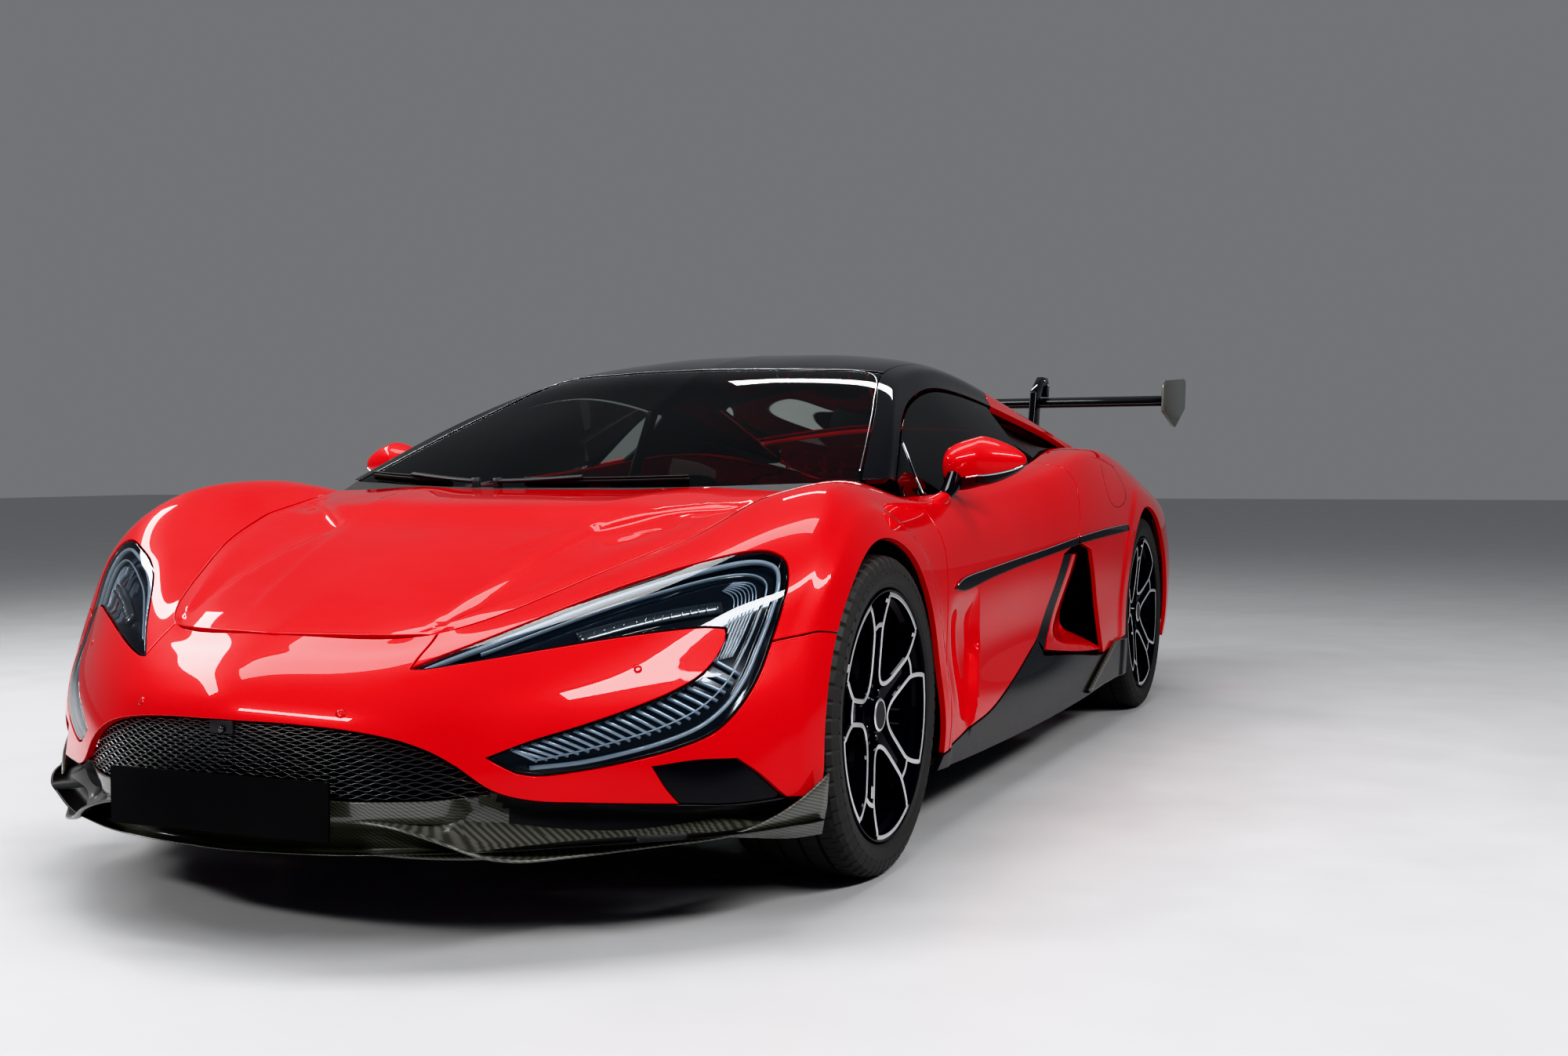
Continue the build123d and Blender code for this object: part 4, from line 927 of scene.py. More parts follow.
@dataclass
class Panel:
    """A piece of a sheet with rolled edges and a short return behind them.

    Attributes:
        sheet: the surface.
        outer: smooth paths in the sheet's parameters that close on each other.
        holes: closed sets of paths left out.
        gap: how far the edge stays back from the paths.
        roll: radius of the edge.
        wall: depth of the return.
        sink: how far the whole panel lies below the sheet.
        pitch: size of the triangles.
        scale: metres for one unit of each parameter.
        open_at: values of the first parameter where the panel goes on into its mirror image.
        mark: material number of the face.
        edge_mark: material number of the edge.
        guides: paths inside the panel that its triangles follow, for pressed creases.
    """

    sheet: Sheet
    outer: list
    holes: list = field(default_factory=list)
    gap: float = 0.0018
    roll: float = 0.0016
    wall: float = 0.014
    sink: float = 0.0
    pitch: float = 0.02
    scale: tuple = (0.35, 0.13)
    open_at: tuple = ()
    mark: int = 0
    edge_mark: int = 0
    guides: tuple = ()

    def _ring(self, paths: list, outer: bool) -> np.ndarray:
        """Closed ring of parameters along the paths.

        Args:
            paths: borders in order round the panel.
            outer: whether this is the outline, not a hole.

        Returns:
            The ring's points.
        """
        pieces = []
        for path in paths:
            path = np.asarray(path, float)
            length = np.linalg.norm(np.diff(self.sheet.points(spline(path, 40)), axis=0), axis=1).sum()
            count = max(2, int(length / (self.pitch * 0.6)) + 2)
            flat = spline(path * self.scale, count) / self.scale
            pieces.append(flat[:-1])
        ring = np.concatenate(pieces)
        keep = np.linalg.norm((np.roll(ring, -1, axis=0) - ring) * self.scale, axis=1) > 1e-5
        ring = ring[keep]
        wanted = self.sheet.outward if outer else -self.sheet.outward
        return ring if area(ring) * wanted > 0 else ring[::-1]

    def _open(self, ring: np.ndarray) -> np.ndarray:
        """Which points of a ring lie where the panel meets its mirror image.

        Args:
            ring: its points.

        Returns:
            A boolean for each point.
        """
        flags = np.zeros(len(ring), bool)
        for value in self.open_at:
            flags |= np.abs(ring[:, 0] - value) < 1e-3
        return flags

    def _frame(self, ring: np.ndarray) -> tuple:
        """Outward direction in the surface at each ring point, and its stretch at corners.

        Args:
            ring: its points.

        Returns:
            Vectors and factors, one for each point.
        """
        p, n = self.sheet.points(ring), self.sheet.normals(ring)
        ahead = np.roll(p, -1, axis=0) - p
        edge = np.cross(ahead, (n + np.roll(n, -1, axis=0)) / 2)
        edge /= np.maximum(np.linalg.norm(edge, axis=1), 1e-9)[:, None]
        flags = self._open(ring)
        closed = flags & np.roll(flags, -1)
        edge_before = np.roll(edge, 1, axis=0)
        closed_before = np.roll(closed, 1)
        both = edge * ~closed[:, None] + edge_before * ~closed_before[:, None]
        size = np.linalg.norm(both, axis=1)
        out = both / np.maximum(size, 1e-9)[:, None]
        out[closed & closed_before] = 0.0
        cosine = np.clip((out * np.where(closed[:, None], edge_before, edge)).sum(1), 0.55, 1.0)
        stretch = np.where(closed | closed_before, 1.0, 1.0 / cosine)
        return out, stretch, closed

    def _shift(self, ring: np.ndarray, move: np.ndarray) -> np.ndarray:
        """Ring moved by 3-D vectors that lie in the surface.

        Args:
            ring: its points.
            move: a vector for each point.

        Returns:
            The moved parameters.
        """
        da, db = self.sheet.slopes(ring)
        aa, ab, bb = (da * da).sum(1), (da * db).sum(1), (db * db).sum(1)
        ma, mb = (da * move).sum(1), (db * move).sum(1)
        det = np.maximum(aa * bb - ab * ab, 1e-12)
        return ring + np.stack([(ma * bb - mb * ab) / det, (mb * aa - ma * ab) / det], 1)

    def _guide_lines(self, flat: list) -> list:
        """Runs of the guides that lie clear of the borders, in scaled parameters.

        Args:
            flat: rings in scaled parameters.

        Returns:
            The runs as arrays.
        """
        border, lines = np.concatenate(flat), []
        for guide in self.guides:
            guide = np.asarray(guide, float)
            length = np.linalg.norm(np.diff(self.sheet.points(guide), axis=0), axis=1).sum()
            line = spline(guide * self.scale, max(3, int(length / (self.pitch * 0.7))))
            keep = inside(line, flat[0])
            for hole in flat[1:]:
                keep &= ~inside(line, hole)
            keep &= np.array([((border - p) ** 2).sum(1).min() for p in line]) > (self.pitch * 0.3) ** 2
            run = []
            for p, good in zip(line, keep):
                if good:
                    run.append(p)
                elif len(run) > 1:
                    lines.append(np.array(run))
                    run = []
                else:
                    run = []
            if len(run) > 1:
                lines.append(np.array(run))
        return lines

    def mesh(self) -> Parts:
        """Triangulates the panel.

        Returns:
            Its patches, with exact normals.
        """
        rings, frames = [], []
        for i, paths in enumerate([self.outer, *self.holes]):
            ring = self._ring(paths, i == 0)
            out, stretch, closed = self._frame(ring)
            ring = self._shift(ring, -out * (stretch * (self.gap + self.roll))[:, None])
            rings.append(ring)
            frames.append((out, closed))
        scale = np.array(self.scale)
        flat = [r * scale for r in rings]
        low, high = flat[0].min(0), flat[0].max(0)
        xs, ys = (np.arange(low[i] + self.pitch / 2, high[i], self.pitch) for i in (0, 1))
        grid = np.stack(np.meshgrid(xs, ys, indexing="ij"), -1).reshape(-1, 2)
        keep = inside(grid, flat[0])
        for hole in flat[1:]:
            keep &= ~inside(grid, hole)
        grid = grid[keep]
        lines = self._guide_lines(flat)
        border = np.concatenate([*flat, *lines])
        far = np.array([((border - g) ** 2).sum(1).min() for g in grid]) > (self.pitch * 0.45) ** 2 if len(grid) else []
        grid = grid[far] if len(grid) else grid
        points, edges, start = [*border.tolist(), *grid.tolist()], [], 0
        for ring in flat:
            n = len(ring)
            edges += [(start + i, start + (i + 1) % n) for i in range(n)]
            start += n
        for line in lines:
            edges += [(start + i, start + i + 1) for i in range(len(line) - 1)]
            start += len(line)
        verts, _, faces, _, _, _ = delaunay_2d_cdt([Vector(p) for p in points], edges, [], 0, 1e-7)
        flat_verts = np.array([tuple(v) for v in verts])
        middle = np.array([flat_verts[list(f)].mean(0) for f in faces])
        good = inside(middle, flat[0])
        for hole in flat[1:]:
            good &= ~inside(middle, hole)
        at = flat_verts / scale
        where, normal = self.sheet.points(at), self.sheet.normals(at)
        where = where - normal * self.sink
        faces = [tuple(f) if self.sheet.outward > 0 else tuple(reversed(f)) for f, g in zip(faces, good) if g]
        parts = Parts()
        parts.add(where, faces, normal, self.mark)
        for ring, (out, closed) in zip(rings, frames):
            self._edge(parts, ring, out, closed)
        return parts

    def well(self, inset: float) -> Parts:
        """The return alone, turned to face the inside of the opening.

        Args:
            inset: how far it stays back from the paths.

        Returns:
            Its patches.
        """
        ring = self._ring(self.outer, True)
        out, stretch, closed = self._frame(ring)
        ring = self._shift(ring, -out * (stretch * inset)[:, None])
        parts = Parts()
        self._edge(parts, ring, -out * 0.999, closed)
        return parts.reversed()

    def _edge(self, parts: Parts, ring: np.ndarray, out: np.ndarray, closed: np.ndarray) -> None:
        """Adds the rolled edge and its return along one ring.

        Args:
            parts: set that receives the faces.
            ring: points of the border.
            out: outward vector for each point.
            closed: whether each point has a rolled edge.
        """
        n = self.sheet.normals(ring)
        p = self.sheet.points(ring) - n * self.sink
        r, half = self.roll, math.sqrt(0.5)
        rows = [p, p + out * r * half - n * r * (1 - half), p + out * r - n * r, p + out * r - n * self.wall]
        turned = [n, (n + out) * half, out, out]
        count = len(ring)
        faces = []
        for k in range(3):
            for i in range(count):
                if closed[i]:
                    continue
                j = (i + 1) % count
                faces.append((k * count + i, k * count + j, (k + 1) * count + j, (k + 1) * count + i)[::-1])
        bare = np.linalg.norm(out, axis=1) < 0.5
        turned = [np.where(bare[:, None], n, t) for t in turned]
        parts.add(np.concatenate(rows), faces, np.concatenate(turned), self.edge_mark)


# ---- sheets of the body ----
BODY = Sheet(body_function(), (-1, 22, 0.1), (0, 7, 0.1), (3.5, 1.5), body_detail, 1.0)
BONNET = Sheet(bonnet_function(), (-1, 1, 0.05), (0, 1, 0.025), (1.0, 1.5), bonnet_detail, 1.0)
CAB = Sheet(cab_function(), (0, 9, 0.1), (-4, 4, 0.1), (3.0, 0.0), None, -1.0)

# Part of the body sheet that the door lies in.
DOOR_WINDOW = (9.0, 14.5, 0, 7)
# Side-view seams, (y, z) in metres.
DOOR_FRONT = [(-0.903, 0.838), (-0.897, 0.79), (-0.895, 0.72), (-0.898, 0.64), (-0.911, 0.557), (-0.932, 0.453),
              (-0.958, 0.364), (-0.978, 0.280), (-0.985, 0.215)]
DOOR_LOW = [(-0.985, 0.215), (-0.80, 0.243), (-0.603, 0.262), (-0.387, 0.304), (-0.097, 0.368), (0.019, 0.402),
            (0.169, 0.518), (0.287, 0.640)]
DOOR_STRIP = [(0.287, 0.640), (0.436, 0.675)]
DOOR_REAR = [(0.436, 0.675), (0.472, 0.738), (0.510, 0.812), (0.548, 0.868), (0.536, 0.902), (0.470, 0.922)]
BAND_REAR = [(0.085, 0.357), (0.257, 0.506), (0.385, 0.640)]
INTAKE = [(0.400, 0.640), (0.105, 0.350), (0.800, 0.285), (0.597, 0.640)]
SKIRT_REAR = [(0.055, 0.345), (0.435, 0.310), (0.780, 0.277), (0.890, 0.287), (1.079, 0.312)]
TAIL_SEAM = 2.010
FENDER_SEAM_Z = 0.580

# Front outlines as (station, line) pairs of the body sheet.
LAMP_TOP = [(1.95, 4.48), (2.29, 5.04), (2.78, 5.60), (3.34, 5.80), (3.97, 5.60), (4.66, 5.06), (5.15, 4.66),
            (5.36, 4.42)]
LAMP_OUT = [(5.36, 4.42), (5.44, 4.25), (5.45, 3.98), (5.34, 3.56), (5.18, 3.05), (5.03, 2.52), (4.86, 2.10),
            (4.66, 1.80), (4.36, 1.62), (4.01, 1.50), (3.59, 1.40), (3.24, 1.37), (3.08, 1.44)]
LAMP_TIP = [(3.08, 1.44), (2.95, 1.60), (2.84, 1.76)]
LAMP_LOW = [(2.84, 1.76), (3.15, 1.98), (3.56, 2.17), (3.94, 2.36), (4.29, 2.57), (4.50, 2.78), (4.62, 3.04),
            (4.68, 3.30), (4.66, 3.46)]
LAMP_ISLAND = [(4.66, 3.46), (4.45, 3.58), (3.84, 3.80), (3.28, 4.00), (2.73, 4.20), (2.36, 4.30), (2.05, 4.38),
               (1.95, 4.48)]
INLET = [[(4.15, 1.36), (4.49, 1.40), (4.88, 1.37)], [(4.88, 1.37), (5.18, 1.08), (5.56, 0.62)],
         [(5.56, 0.62), (4.92, 0.60), (4.42, 0.68)], [(4.42, 0.68), (4.27, 1.02), (4.15, 1.36)]]
MOUTH_TOP = [(0.0, 2.84), (0.85, 2.76), (1.52, 2.58), (2.03, 2.29), (2.36, 1.96), (2.60, 1.62)]
MOUTH_TIP = (2.90, 1.13)
LIP_PATHS = [np.array([(2.60, 1.62), MOUTH_TIP, (3.18, 0.92), (3.68, 0.80), (4.42, 0.68)]),
             np.array([(4.42, 0.68), (4.27, 1.02), (4.15, 1.36)]), np.array([(4.15, 1.36), (4.49, 1.40), (4.88, 1.37)]),
             np.array([(4.88, 1.37), (5.18, 1.08), (5.56, 0.62)]), np.array([(5.56, 0.62), (6.05, 0.55)])]
TAIL_PANEL_TOP = [(21.0, 5.0), (20.2, 5.0), (19.3, 4.9), (18.75, 4.6)]
TAIL_PANEL_LOW = [(18.75, 4.6), (18.9, 3.0), (19.3, 2.2), (20.2, 1.9), (21.0, 1.9)]
LID_CORNER = 2.02


def revolve(profile: list, steps: int, mark: int = 0) -> Parts:
    """Skin of a profile spun about the X axis.

    Args:
        profile: (x, radius) pairs; the faces point outwards where x falls along it.
        steps: faces round the axis.
        mark: material number.

    Returns:
        The skin, closed at a pole.
    """
    mesh = bmesh.new()
    verts = [mesh.verts.new((x, r, 0.0)) for x, r in profile]
    edges = [mesh.edges.new(pair) for pair in zip(verts, verts[1:])]
    bmesh.ops.spin(mesh, geom=[*verts, *edges], axis=(1.0, 0.0, 0.0), cent=(0.0, 0.0, 0.0), angle=2 * math.pi,
                   steps=steps, use_merge=True)
    bmesh.ops.remove_doubles(mesh, verts=mesh.verts, dist=1e-6)
    return Parts.read(mesh, mark)


def side_path(points: list, window: tuple) -> np.ndarray:
    """Parameters of side-view (y, z) points on the left flank."""
    return BODY.locate(np.array(points), (1, 2), window)


def flare_guides(axle: tuple, window: tuple) -> list:
    """Paths along the flare round a wheel arch.

    Args:
        axle: (y, z) of the wheel's middle.
        window: part of the sheet to search.

    Returns:
        The paths as arrays.
    """
    out = []
    for grow in (FLARE[0], 0.5 * (FLARE[0] + FLARE[1]), FLARE[1]):
        radius = ARCH_RADIUS + grow
        circle = [(axle[0] + radius * math.cos(math.radians(a)), axle[1] + radius * math.sin(math.radians(a)))
                  for a in np.linspace(176, 4, 40)]
        out.append(side_path(circle, window))
    return out


def arch_path(axle: tuple, start: float, end: float, count: int = 25) -> list:
    """Side-view points of a wheel arch between two angles, 0 to the rear and 180 to the front."""
    return [(axle[0] + ARCH_RADIUS * math.cos(math.radians(a)), axle[1] + ARCH_RADIUS * math.sin(math.radians(a)))
            for a in np.linspace(start, end, count)]


@dataclass
class Shell:
    """Painted and carbon panels of the body side, nose and tail."""

    front_window: tuple = (5.2, 9.8, 0, 7)
    rear_window: tuple = (13.9, 18.4, 0, 7)
    door_window: tuple = DOOR_WINDOW

    def __post_init__(self) -> None:
        """Finds the seams on the body sheet."""
        seam = math.degrees(math.asin((FENDER_SEAM_Z - FRONT_AXLE[1]) / ARCH_RADIUS))
        self.arch_seam = side_path(arch_path(FRONT_AXLE, 180 - seam, 0), self.front_window)
        low_rear = (FRONT_AXLE[0] + ARCH_RADIUS, 0.212)
        self.arch_rear_leg = side_path([(low_rear[0], 0.363), (low_rear[0], 0.29), low_rear], (8, 9.9, 0, 7))
        self.arch_front = side_path(arch_path(FRONT_AXLE, 180, 180 - seam, 8), self.front_window)
        self.arch_front_leg = side_path([(FRONT_AXLE[0] - ARCH_RADIUS, 0.245), (FRONT_AXLE[0] - ARCH_RADIUS, 0.30),
                                         (FRONT_AXLE[0] - ARCH_RADIUS, 0.363)], (5, 7, 0, 4))
        self.door_front = side_path(DOOR_FRONT, (9.2, 10.6, 0, 7))
        self.door_front[0, 1] = 7.0
        self.door_low = side_path(DOOR_LOW, self.door_window)
        self.door_strip = side_path(DOOR_STRIP, self.door_window)
        self.door_rear = side_path(DOOR_REAR, self.door_window)
        self.door_rear[-1, 1] = 7.0
        for a, b in ((self.door_front, self.door_low), (self.door_low, self.door_strip),
                     (self.door_strip, self.door_rear)):
            b[0] = a[-1]
        self.band_rear = side_path(BAND_REAR, self.door_window)
        self.skirt_rear = side_path(SKIRT_REAR, (11.5, 15.2, 0, 4))
        self.rear_arch = side_path(arch_path(REAR_AXLE, 180, 0, 30), self.rear_window)
        self.tail_seam = side_path([(TAIL_SEAM, z) for z in (0.905, 0.86, 0.78, 0.68, 0.56, 0.44, 0.33, 0.26)],
                                   (16.8, 18.4, 0, 7))
        self.tail_seam[0, 1] = 7.0
        self.tail_seam[-1, 1] = 0.0

    def fender(self) -> Parts:
        """Left front wing: over the arch, and back to the door.

        Returns:
            The patches.
        """
        seam_in = np.array([LAMP_OUT[4], (5.60, 3.02), (5.9, 3.0), tuple(self.arch_seam[0])])
        tip = np.array([(LID_CORNER, 7.0), (1.98, 5.8), LAMP_TOP[0]])
        rim = [np.array([(s, 7.0) for s in np.linspace(self.door_front[0, 0], LID_CORNER, 14)])]
        bottom = np.array([tuple(self.arch_rear_leg[-1]), tuple(self.door_front[-1])])
        outer = [seam_in, self.arch_seam, self._joined(self.arch_seam, self.arch_rear_leg), bottom,
                 self.door_front[::-1], *rim, tip, np.array(LAMP_TOP), np.array(LAMP_OUT[:5])]
        return Panel(BODY, outer, guides=flare_guides(FRONT_AXLE, self.front_window)).mesh()

    def _joined(self, before: np.ndarray, path: np.ndarray) -> np.ndarray:
        """Path whose first point is the end of the one before.

        Args:
            before: path that ends where this one starts.
            path: path to adjust.

        Returns:
            The adjusted path.
        """
        path = path.copy()
        path[0] = before[-1]
        return path

    def bumper(self) -> Parts:
        """Left half of the front bumper, below the lamps and round the mouth.

        Returns:
            The patches.
        """
        seam_in = np.array([tuple(self.arch_seam[0]), (5.9, 3.0), (5.60, 3.02), LAMP_OUT[4]])
        tip = np.array([LAMP_TOP[0], (1.98, 5.8), (LID_CORNER, 7.0)])
        front = [(s, 7.0) for s in np.linspace(LID_CORNER, 0, 6)]
        centre = [(0.0, 7.0), (0.0, 5.0), (0.0, 3.8), (0.0, 2.84)]
        leg = self.arch_front_leg.copy()
        leg[0] = LIP_PATHS[-1][-1]
        arch = self.arch_front.copy()
        arch[0], arch[-1] = leg[-1], self.arch_seam[0]
        outer = [seam_in, np.array(LAMP_OUT[4:]), np.array(LAMP_TIP), np.array(LAMP_LOW), np.array(LAMP_ISLAND), tip,
                 np.array(front), np.array(centre), np.array(MOUTH_TOP), *LIP_PATHS, leg, arch]
        return Panel(BODY, outer, open_at=(0.0,)).mesh()

    def door(self) -> Parts:
        """Left door skin.

        Returns:
            The patches.
        """
        top = np.array([(s, 7.0) for s in np.linspace(self.door_rear[-1, 0], self.door_front[0, 0], 12)])
        z = np.linspace(0.225, 0.60, 14)
        edge = np.interp(z, BLADE_Z, BLADE_Y)
        creases = [side_path([(y + d, h) for y, h in zip(edge, z)], self.door_window) for d in (-0.007, 0.005)]
        outline = [self.door_front, self.door_low, self.door_strip, self.door_rear, top]
        return Panel(BODY, outline, guides=creases, pitch=0.018).mesh()

    def band(self) -> Parts:
        """Gloss black band between the door and the side intake.

        Returns:
            The patches.
        """
        rear = self.band_rear
        top = np.array([tuple(rear[-1]), tuple(self.door_strip[0])])
        down = self.door_low[::-1][:3]
        low = np.array([tuple(down[-1]), tuple(rear[0])])
        return Panel(BODY, [rear, top, down, low], sink=0.004, gap=0.0008).mesh()

    def skirt(self) -> Parts:
        """Carbon strip under the door and the intake.

        Returns:
            The patches.
        """
        front = np.array([(9.42, 0.0), tuple(self.arch_rear_leg[-1])])
        start = np.array([tuple(self.arch_rear_leg[-1]), tuple(self.door_low[0])])
        top = self.door_low[:6]
        step = np.array([tuple(top[-1]), tuple(self.skirt_rear[0])])
        rear_leg = np.array([tuple(self.skirt_rear[-1]), (14.88, 0.5), (14.86, 0.0)])
        hem = np.array([(s, 0.0) for s in np.linspace(14.86, 9.42, 12)])
        return Panel(BODY, [front, start, top, step, self.skirt_rear, rear_leg, hem], roll=0.003).mesh()

    def quarter(self) -> Parts:
        """Left rear quarter from the door to the tail seam, round the intake and the arch.

        Returns:
            The patches.
        """
        start = self.door_strip[-1]
        intake = side_path(INTAKE, (11.5, 14.6, 0, 7))
        rear = self.skirt_rear[2:].copy()
        arch = self.rear_arch.copy()
        leg = side_path([(REAR_AXLE[0] - ARCH_RADIUS, 0.312), (REAR_AXLE[0] - ARCH_RADIUS, 0.363)], (14, 15.5, 0, 4))
        leg[0], leg[-1] = rear[-1], arch[0]
        back_leg = side_path([(REAR_AXLE[0] + ARCH_RADIUS, z) for z in (0.363, 0.30, 0.24)], (16.2, 18, 0, 4))
        back_leg[0] = arch[-1]
        back_leg[-1, 1] = 0.0
        hem = np.array([tuple(back_leg[-1]), tuple(self.tail_seam[-1])])
        top = np.array([(s, 7.0) for s in np.linspace(self.tail_seam[0, 0], self.door_rear[-1, 0], 14)])
        notch = np.array([tuple(start), tuple(intake[-1])])
        edge = np.array([tuple(intake[-1]), tuple(0.5 * (intake[-1] + intake[-2])), tuple(rear[0])])
        outer = [notch, edge, rear, leg, arch, back_leg, hem, self.tail_seam[::-1], top, self.door_rear[::-1]]
        return Panel(BODY, outer, guides=flare_guides(REAR_AXLE, self.rear_window)).mesh()

    def tail(self) -> Parts:
        """Left half of the tail skin, above and beside the black lamp panel.

        Returns:
            The patches.
        """
        seam = self.tail_seam
        hem_out = np.array([tuple(seam[-1]), (18.6, 0.0), (19.0, 0.3)])
        low = np.array([(19.0, 0.3), (19.4, 1.0), (20.2, 1.15), (21.0, 1.15)])
        centre_low = np.array([(21.0, 1.15), (21.0, 1.9)])
        centre_top = np.array([(21.0, 5.0), (21.0, 6.0), (21.0, 7.0)])
        top = np.array([(s, 7.0) for s in np.linspace(21.0, seam[0, 0], 8)])
        panel = [np.array(TAIL_PANEL_LOW[::-1]), np.array(TAIL_PANEL_TOP[::-1])]
        outer = [seam, hem_out, low, centre_low, *panel, centre_top, top]
        return Panel(BODY, outer, open_at=(21.0,)).mesh()

    def tail_panel(self) -> Parts:
        """Left half of the black panel between the tail lamps.

        Returns:
            The patches.
        """
        centre = np.array([(21.0, 1.9), (21.0, 3.5), (21.0, 5.0)])
        outline = [np.array(TAIL_PANEL_TOP), np.array(TAIL_PANEL_LOW), centre]
        return Panel(BODY, outline, sink=0.012, open_at=(21.0,)).mesh()

    def build(self) -> None:
        """Makes all shell pieces and hangs them on their bodies."""
        for half, name, nodes, finish in ((self.bumper(), "bumper_skin", ("front_bumper",), RED),
                                          (self.fender(), "fender_skins", ("front_fenders",), RED),
                                          (self.quarter(), "quarter_skins", ("rear_quarters",), RED),
                                          (self.skirt(), "skirt_skins", ("skirts",), DARK_CARBON),
                                          (self.band(), "side_bands", (), DARK_CARBON),
                                          (self.tail(), "tail_skin", ("rear_bumper",), RED),
                                          (self.tail_panel(), "tail_panel", (), GLOSS)):
            piece(both_sides(half), name, Body.CAR.value, nodes, finish)
        door = self.door()
        piece(door, "door_skin_left", "door_left", ("door_left",), RED)
        piece(door.mirrored(), "door_skin_right", "door_right", ("door_right",), RED)


def piece(parts: Parts, name: str, body: str, nodes: tuple, *finishes: Finish, smooth: bool = True) -> bpy.types.Object:
    """Builds gathered patches, hangs them on a body and lets them stand for CAD nodes.

    Args:
        parts: the patches.
        name: name of the piece.
        body: name of the body that it rides on.
        nodes: CAD nodes that it stands for.
        finishes: one per material number.
        smooth: whether the faces are shaded smooth.

    Returns:
        The object.
    """
    obj = parts.build(name, *finishes, smooth=smooth)
    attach(obj, body)
    if nodes:
        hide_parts(*nodes)
    LOG.info("%s: %d vertices", name, len(obj.data.vertices))
    return obj


# ---- bonnet and cab ----
@dataclass
class Lid:
    """Bonnet lid."""

    def build(self) -> None:
        """Makes the bonnet."""
        v = [(1.0, t) for t in np.linspace(0.0, 1.0, 12)]
        rear = [(u, 1.0) for u in np.linspace(1.0, -1.0, 12)]
        left = [(-1.0, t) for t in np.linspace(1.0, 0.0, 12)]
        front = [(u, 0.0) for u in np.linspace(-1.0, 1.0, 12)]
        guides = []
        for x_of_y in (CREASE_X, CHANNEL_X):
            for sign in (1, -1):
                for shift in (-0.004, 0.010, 0.026):
                    line = [(sign * (np.interp(y, CREASE_Y, x_of_y) + shift), y) for y in np.linspace(-2.20, -1.30, 30)]
                    guides.append(BONNET.locate(np.array(line), (0, 1)))
        lid = Panel(BONNET, [np.array(v), np.array(rear), np.array(left), np.array(front)], scale=(0.55, 1.1),
                    guides=tuple(guides)).mesh()
        piece(lid, "bonnet_skin", Body.BONNET.value, ("bonnet",), RED)


@dataclass
class Cab:
    """Windscreen, roof, pillars, rear window and buttresses."""

    scale: tuple = (0.36, 0.30)

    def _strip(self, c0: float, c1: float, k0: float, k1: float, **more) -> Panel:
        """Rectangular panel of the cab between stations and lines.

        Args:
            c0: first station.
            c1: last station.
            k0: first line.
            k1: last line.

        Returns:
            The panel.
        """
        c, k = np.linspace(c0, c1, 10), np.linspace(k0, k1, 8)
        outer = [np.array([(a, k0) for a in c]), np.array([(c1, b) for b in k]),
                 np.array([(a, k1) for a in c[::-1]]), np.array([(c0, b) for b in k[::-1]])]
        return Panel(CAB, outer, scale=self.scale, **more)

    def build(self) -> None:
        """Makes the cab's fixed pieces."""
        screen = self._strip(0.0, 3.0, -2.0, 2.0, sink=0.003, wall=0.006, gap=0.001).mesh()
        piece(screen, "windscreen_glass", Body.CAR.value, ("windscreen",), GLASS)
        roof = self._strip(3.0, 6.0, -2.0, 2.0, gap=0.0).mesh()
        for sign in (1, -1):
            roof = roof.joined(self._strip(0.05, 5.45, 2.0 * sign, 3.0 * sign, gap=0.0008).mesh())
        piece(roof, "roof_skin", Body.CAR.value, ("roof",), GLOSS)
        window = self._strip(6.0, 7.5, -2.0, 2.0, sink=0.003, wall=0.006).mesh()
        piece(window, "rear_glass", Body.CAR.value, ("rear_window",), DARK_GLASS)
        sails = Parts()
        for sign in (1, -1):
            sails = sails.joined(self._strip(5.45, 9.0, 2.0 * sign, 3.0 * sign, gap=0.001, wall=0.02).mesh())
        piece(sails, "sail_skins", Body.CAR.value, ("sail_panels",), RED)
        for side, name in ((1, "left"), (-1, "right")):
            top = [(c, 3.04 * side) for c in np.linspace(0.12, 5.3, 14)]
            rear = [(5.3, 3.04 * side), (5.18, 3.5 * side), (5.05, 4.0 * side)]
            low = [(c, 4.0 * side) for c in np.linspace(5.05, 0.12, 14)]
            front = [(0.12, 4.0 * side), (0.12, 3.5 * side), (0.12, 3.04 * side)]
            pane = Panel(CAB, [np.array(p) for p in (top, rear, low, front)], scale=(0.36, 0.25), sink=0.004,
                         wall=0.005).mesh()
            piece(pane, "side_glass_" + name, "door_" + name, ("door_glass_" + name,), DARK_GLASS)


# ---- wheels ----
@dataclass
class Corner:
    """One corner of the car, with its own axes: x outwards from the wheel's middle, y and z as the car's."""

    name: str
    x: float
    y: float
    side: Side

    def placed(self, parts: Parts) -> Parts:
        """Moves patches from the corner's axes to the car's.

        Args:
            parts: patches about the axle.

        Returns:
            The same patches in the car's frame.
        """
        out = parts.mirrored() if self.side is Side.RIGHT else parts.joined()
        out.verts = [v + [self.side.value * self.x, self.y, TYRE_RADIUS] for v in out.verts]
        return out


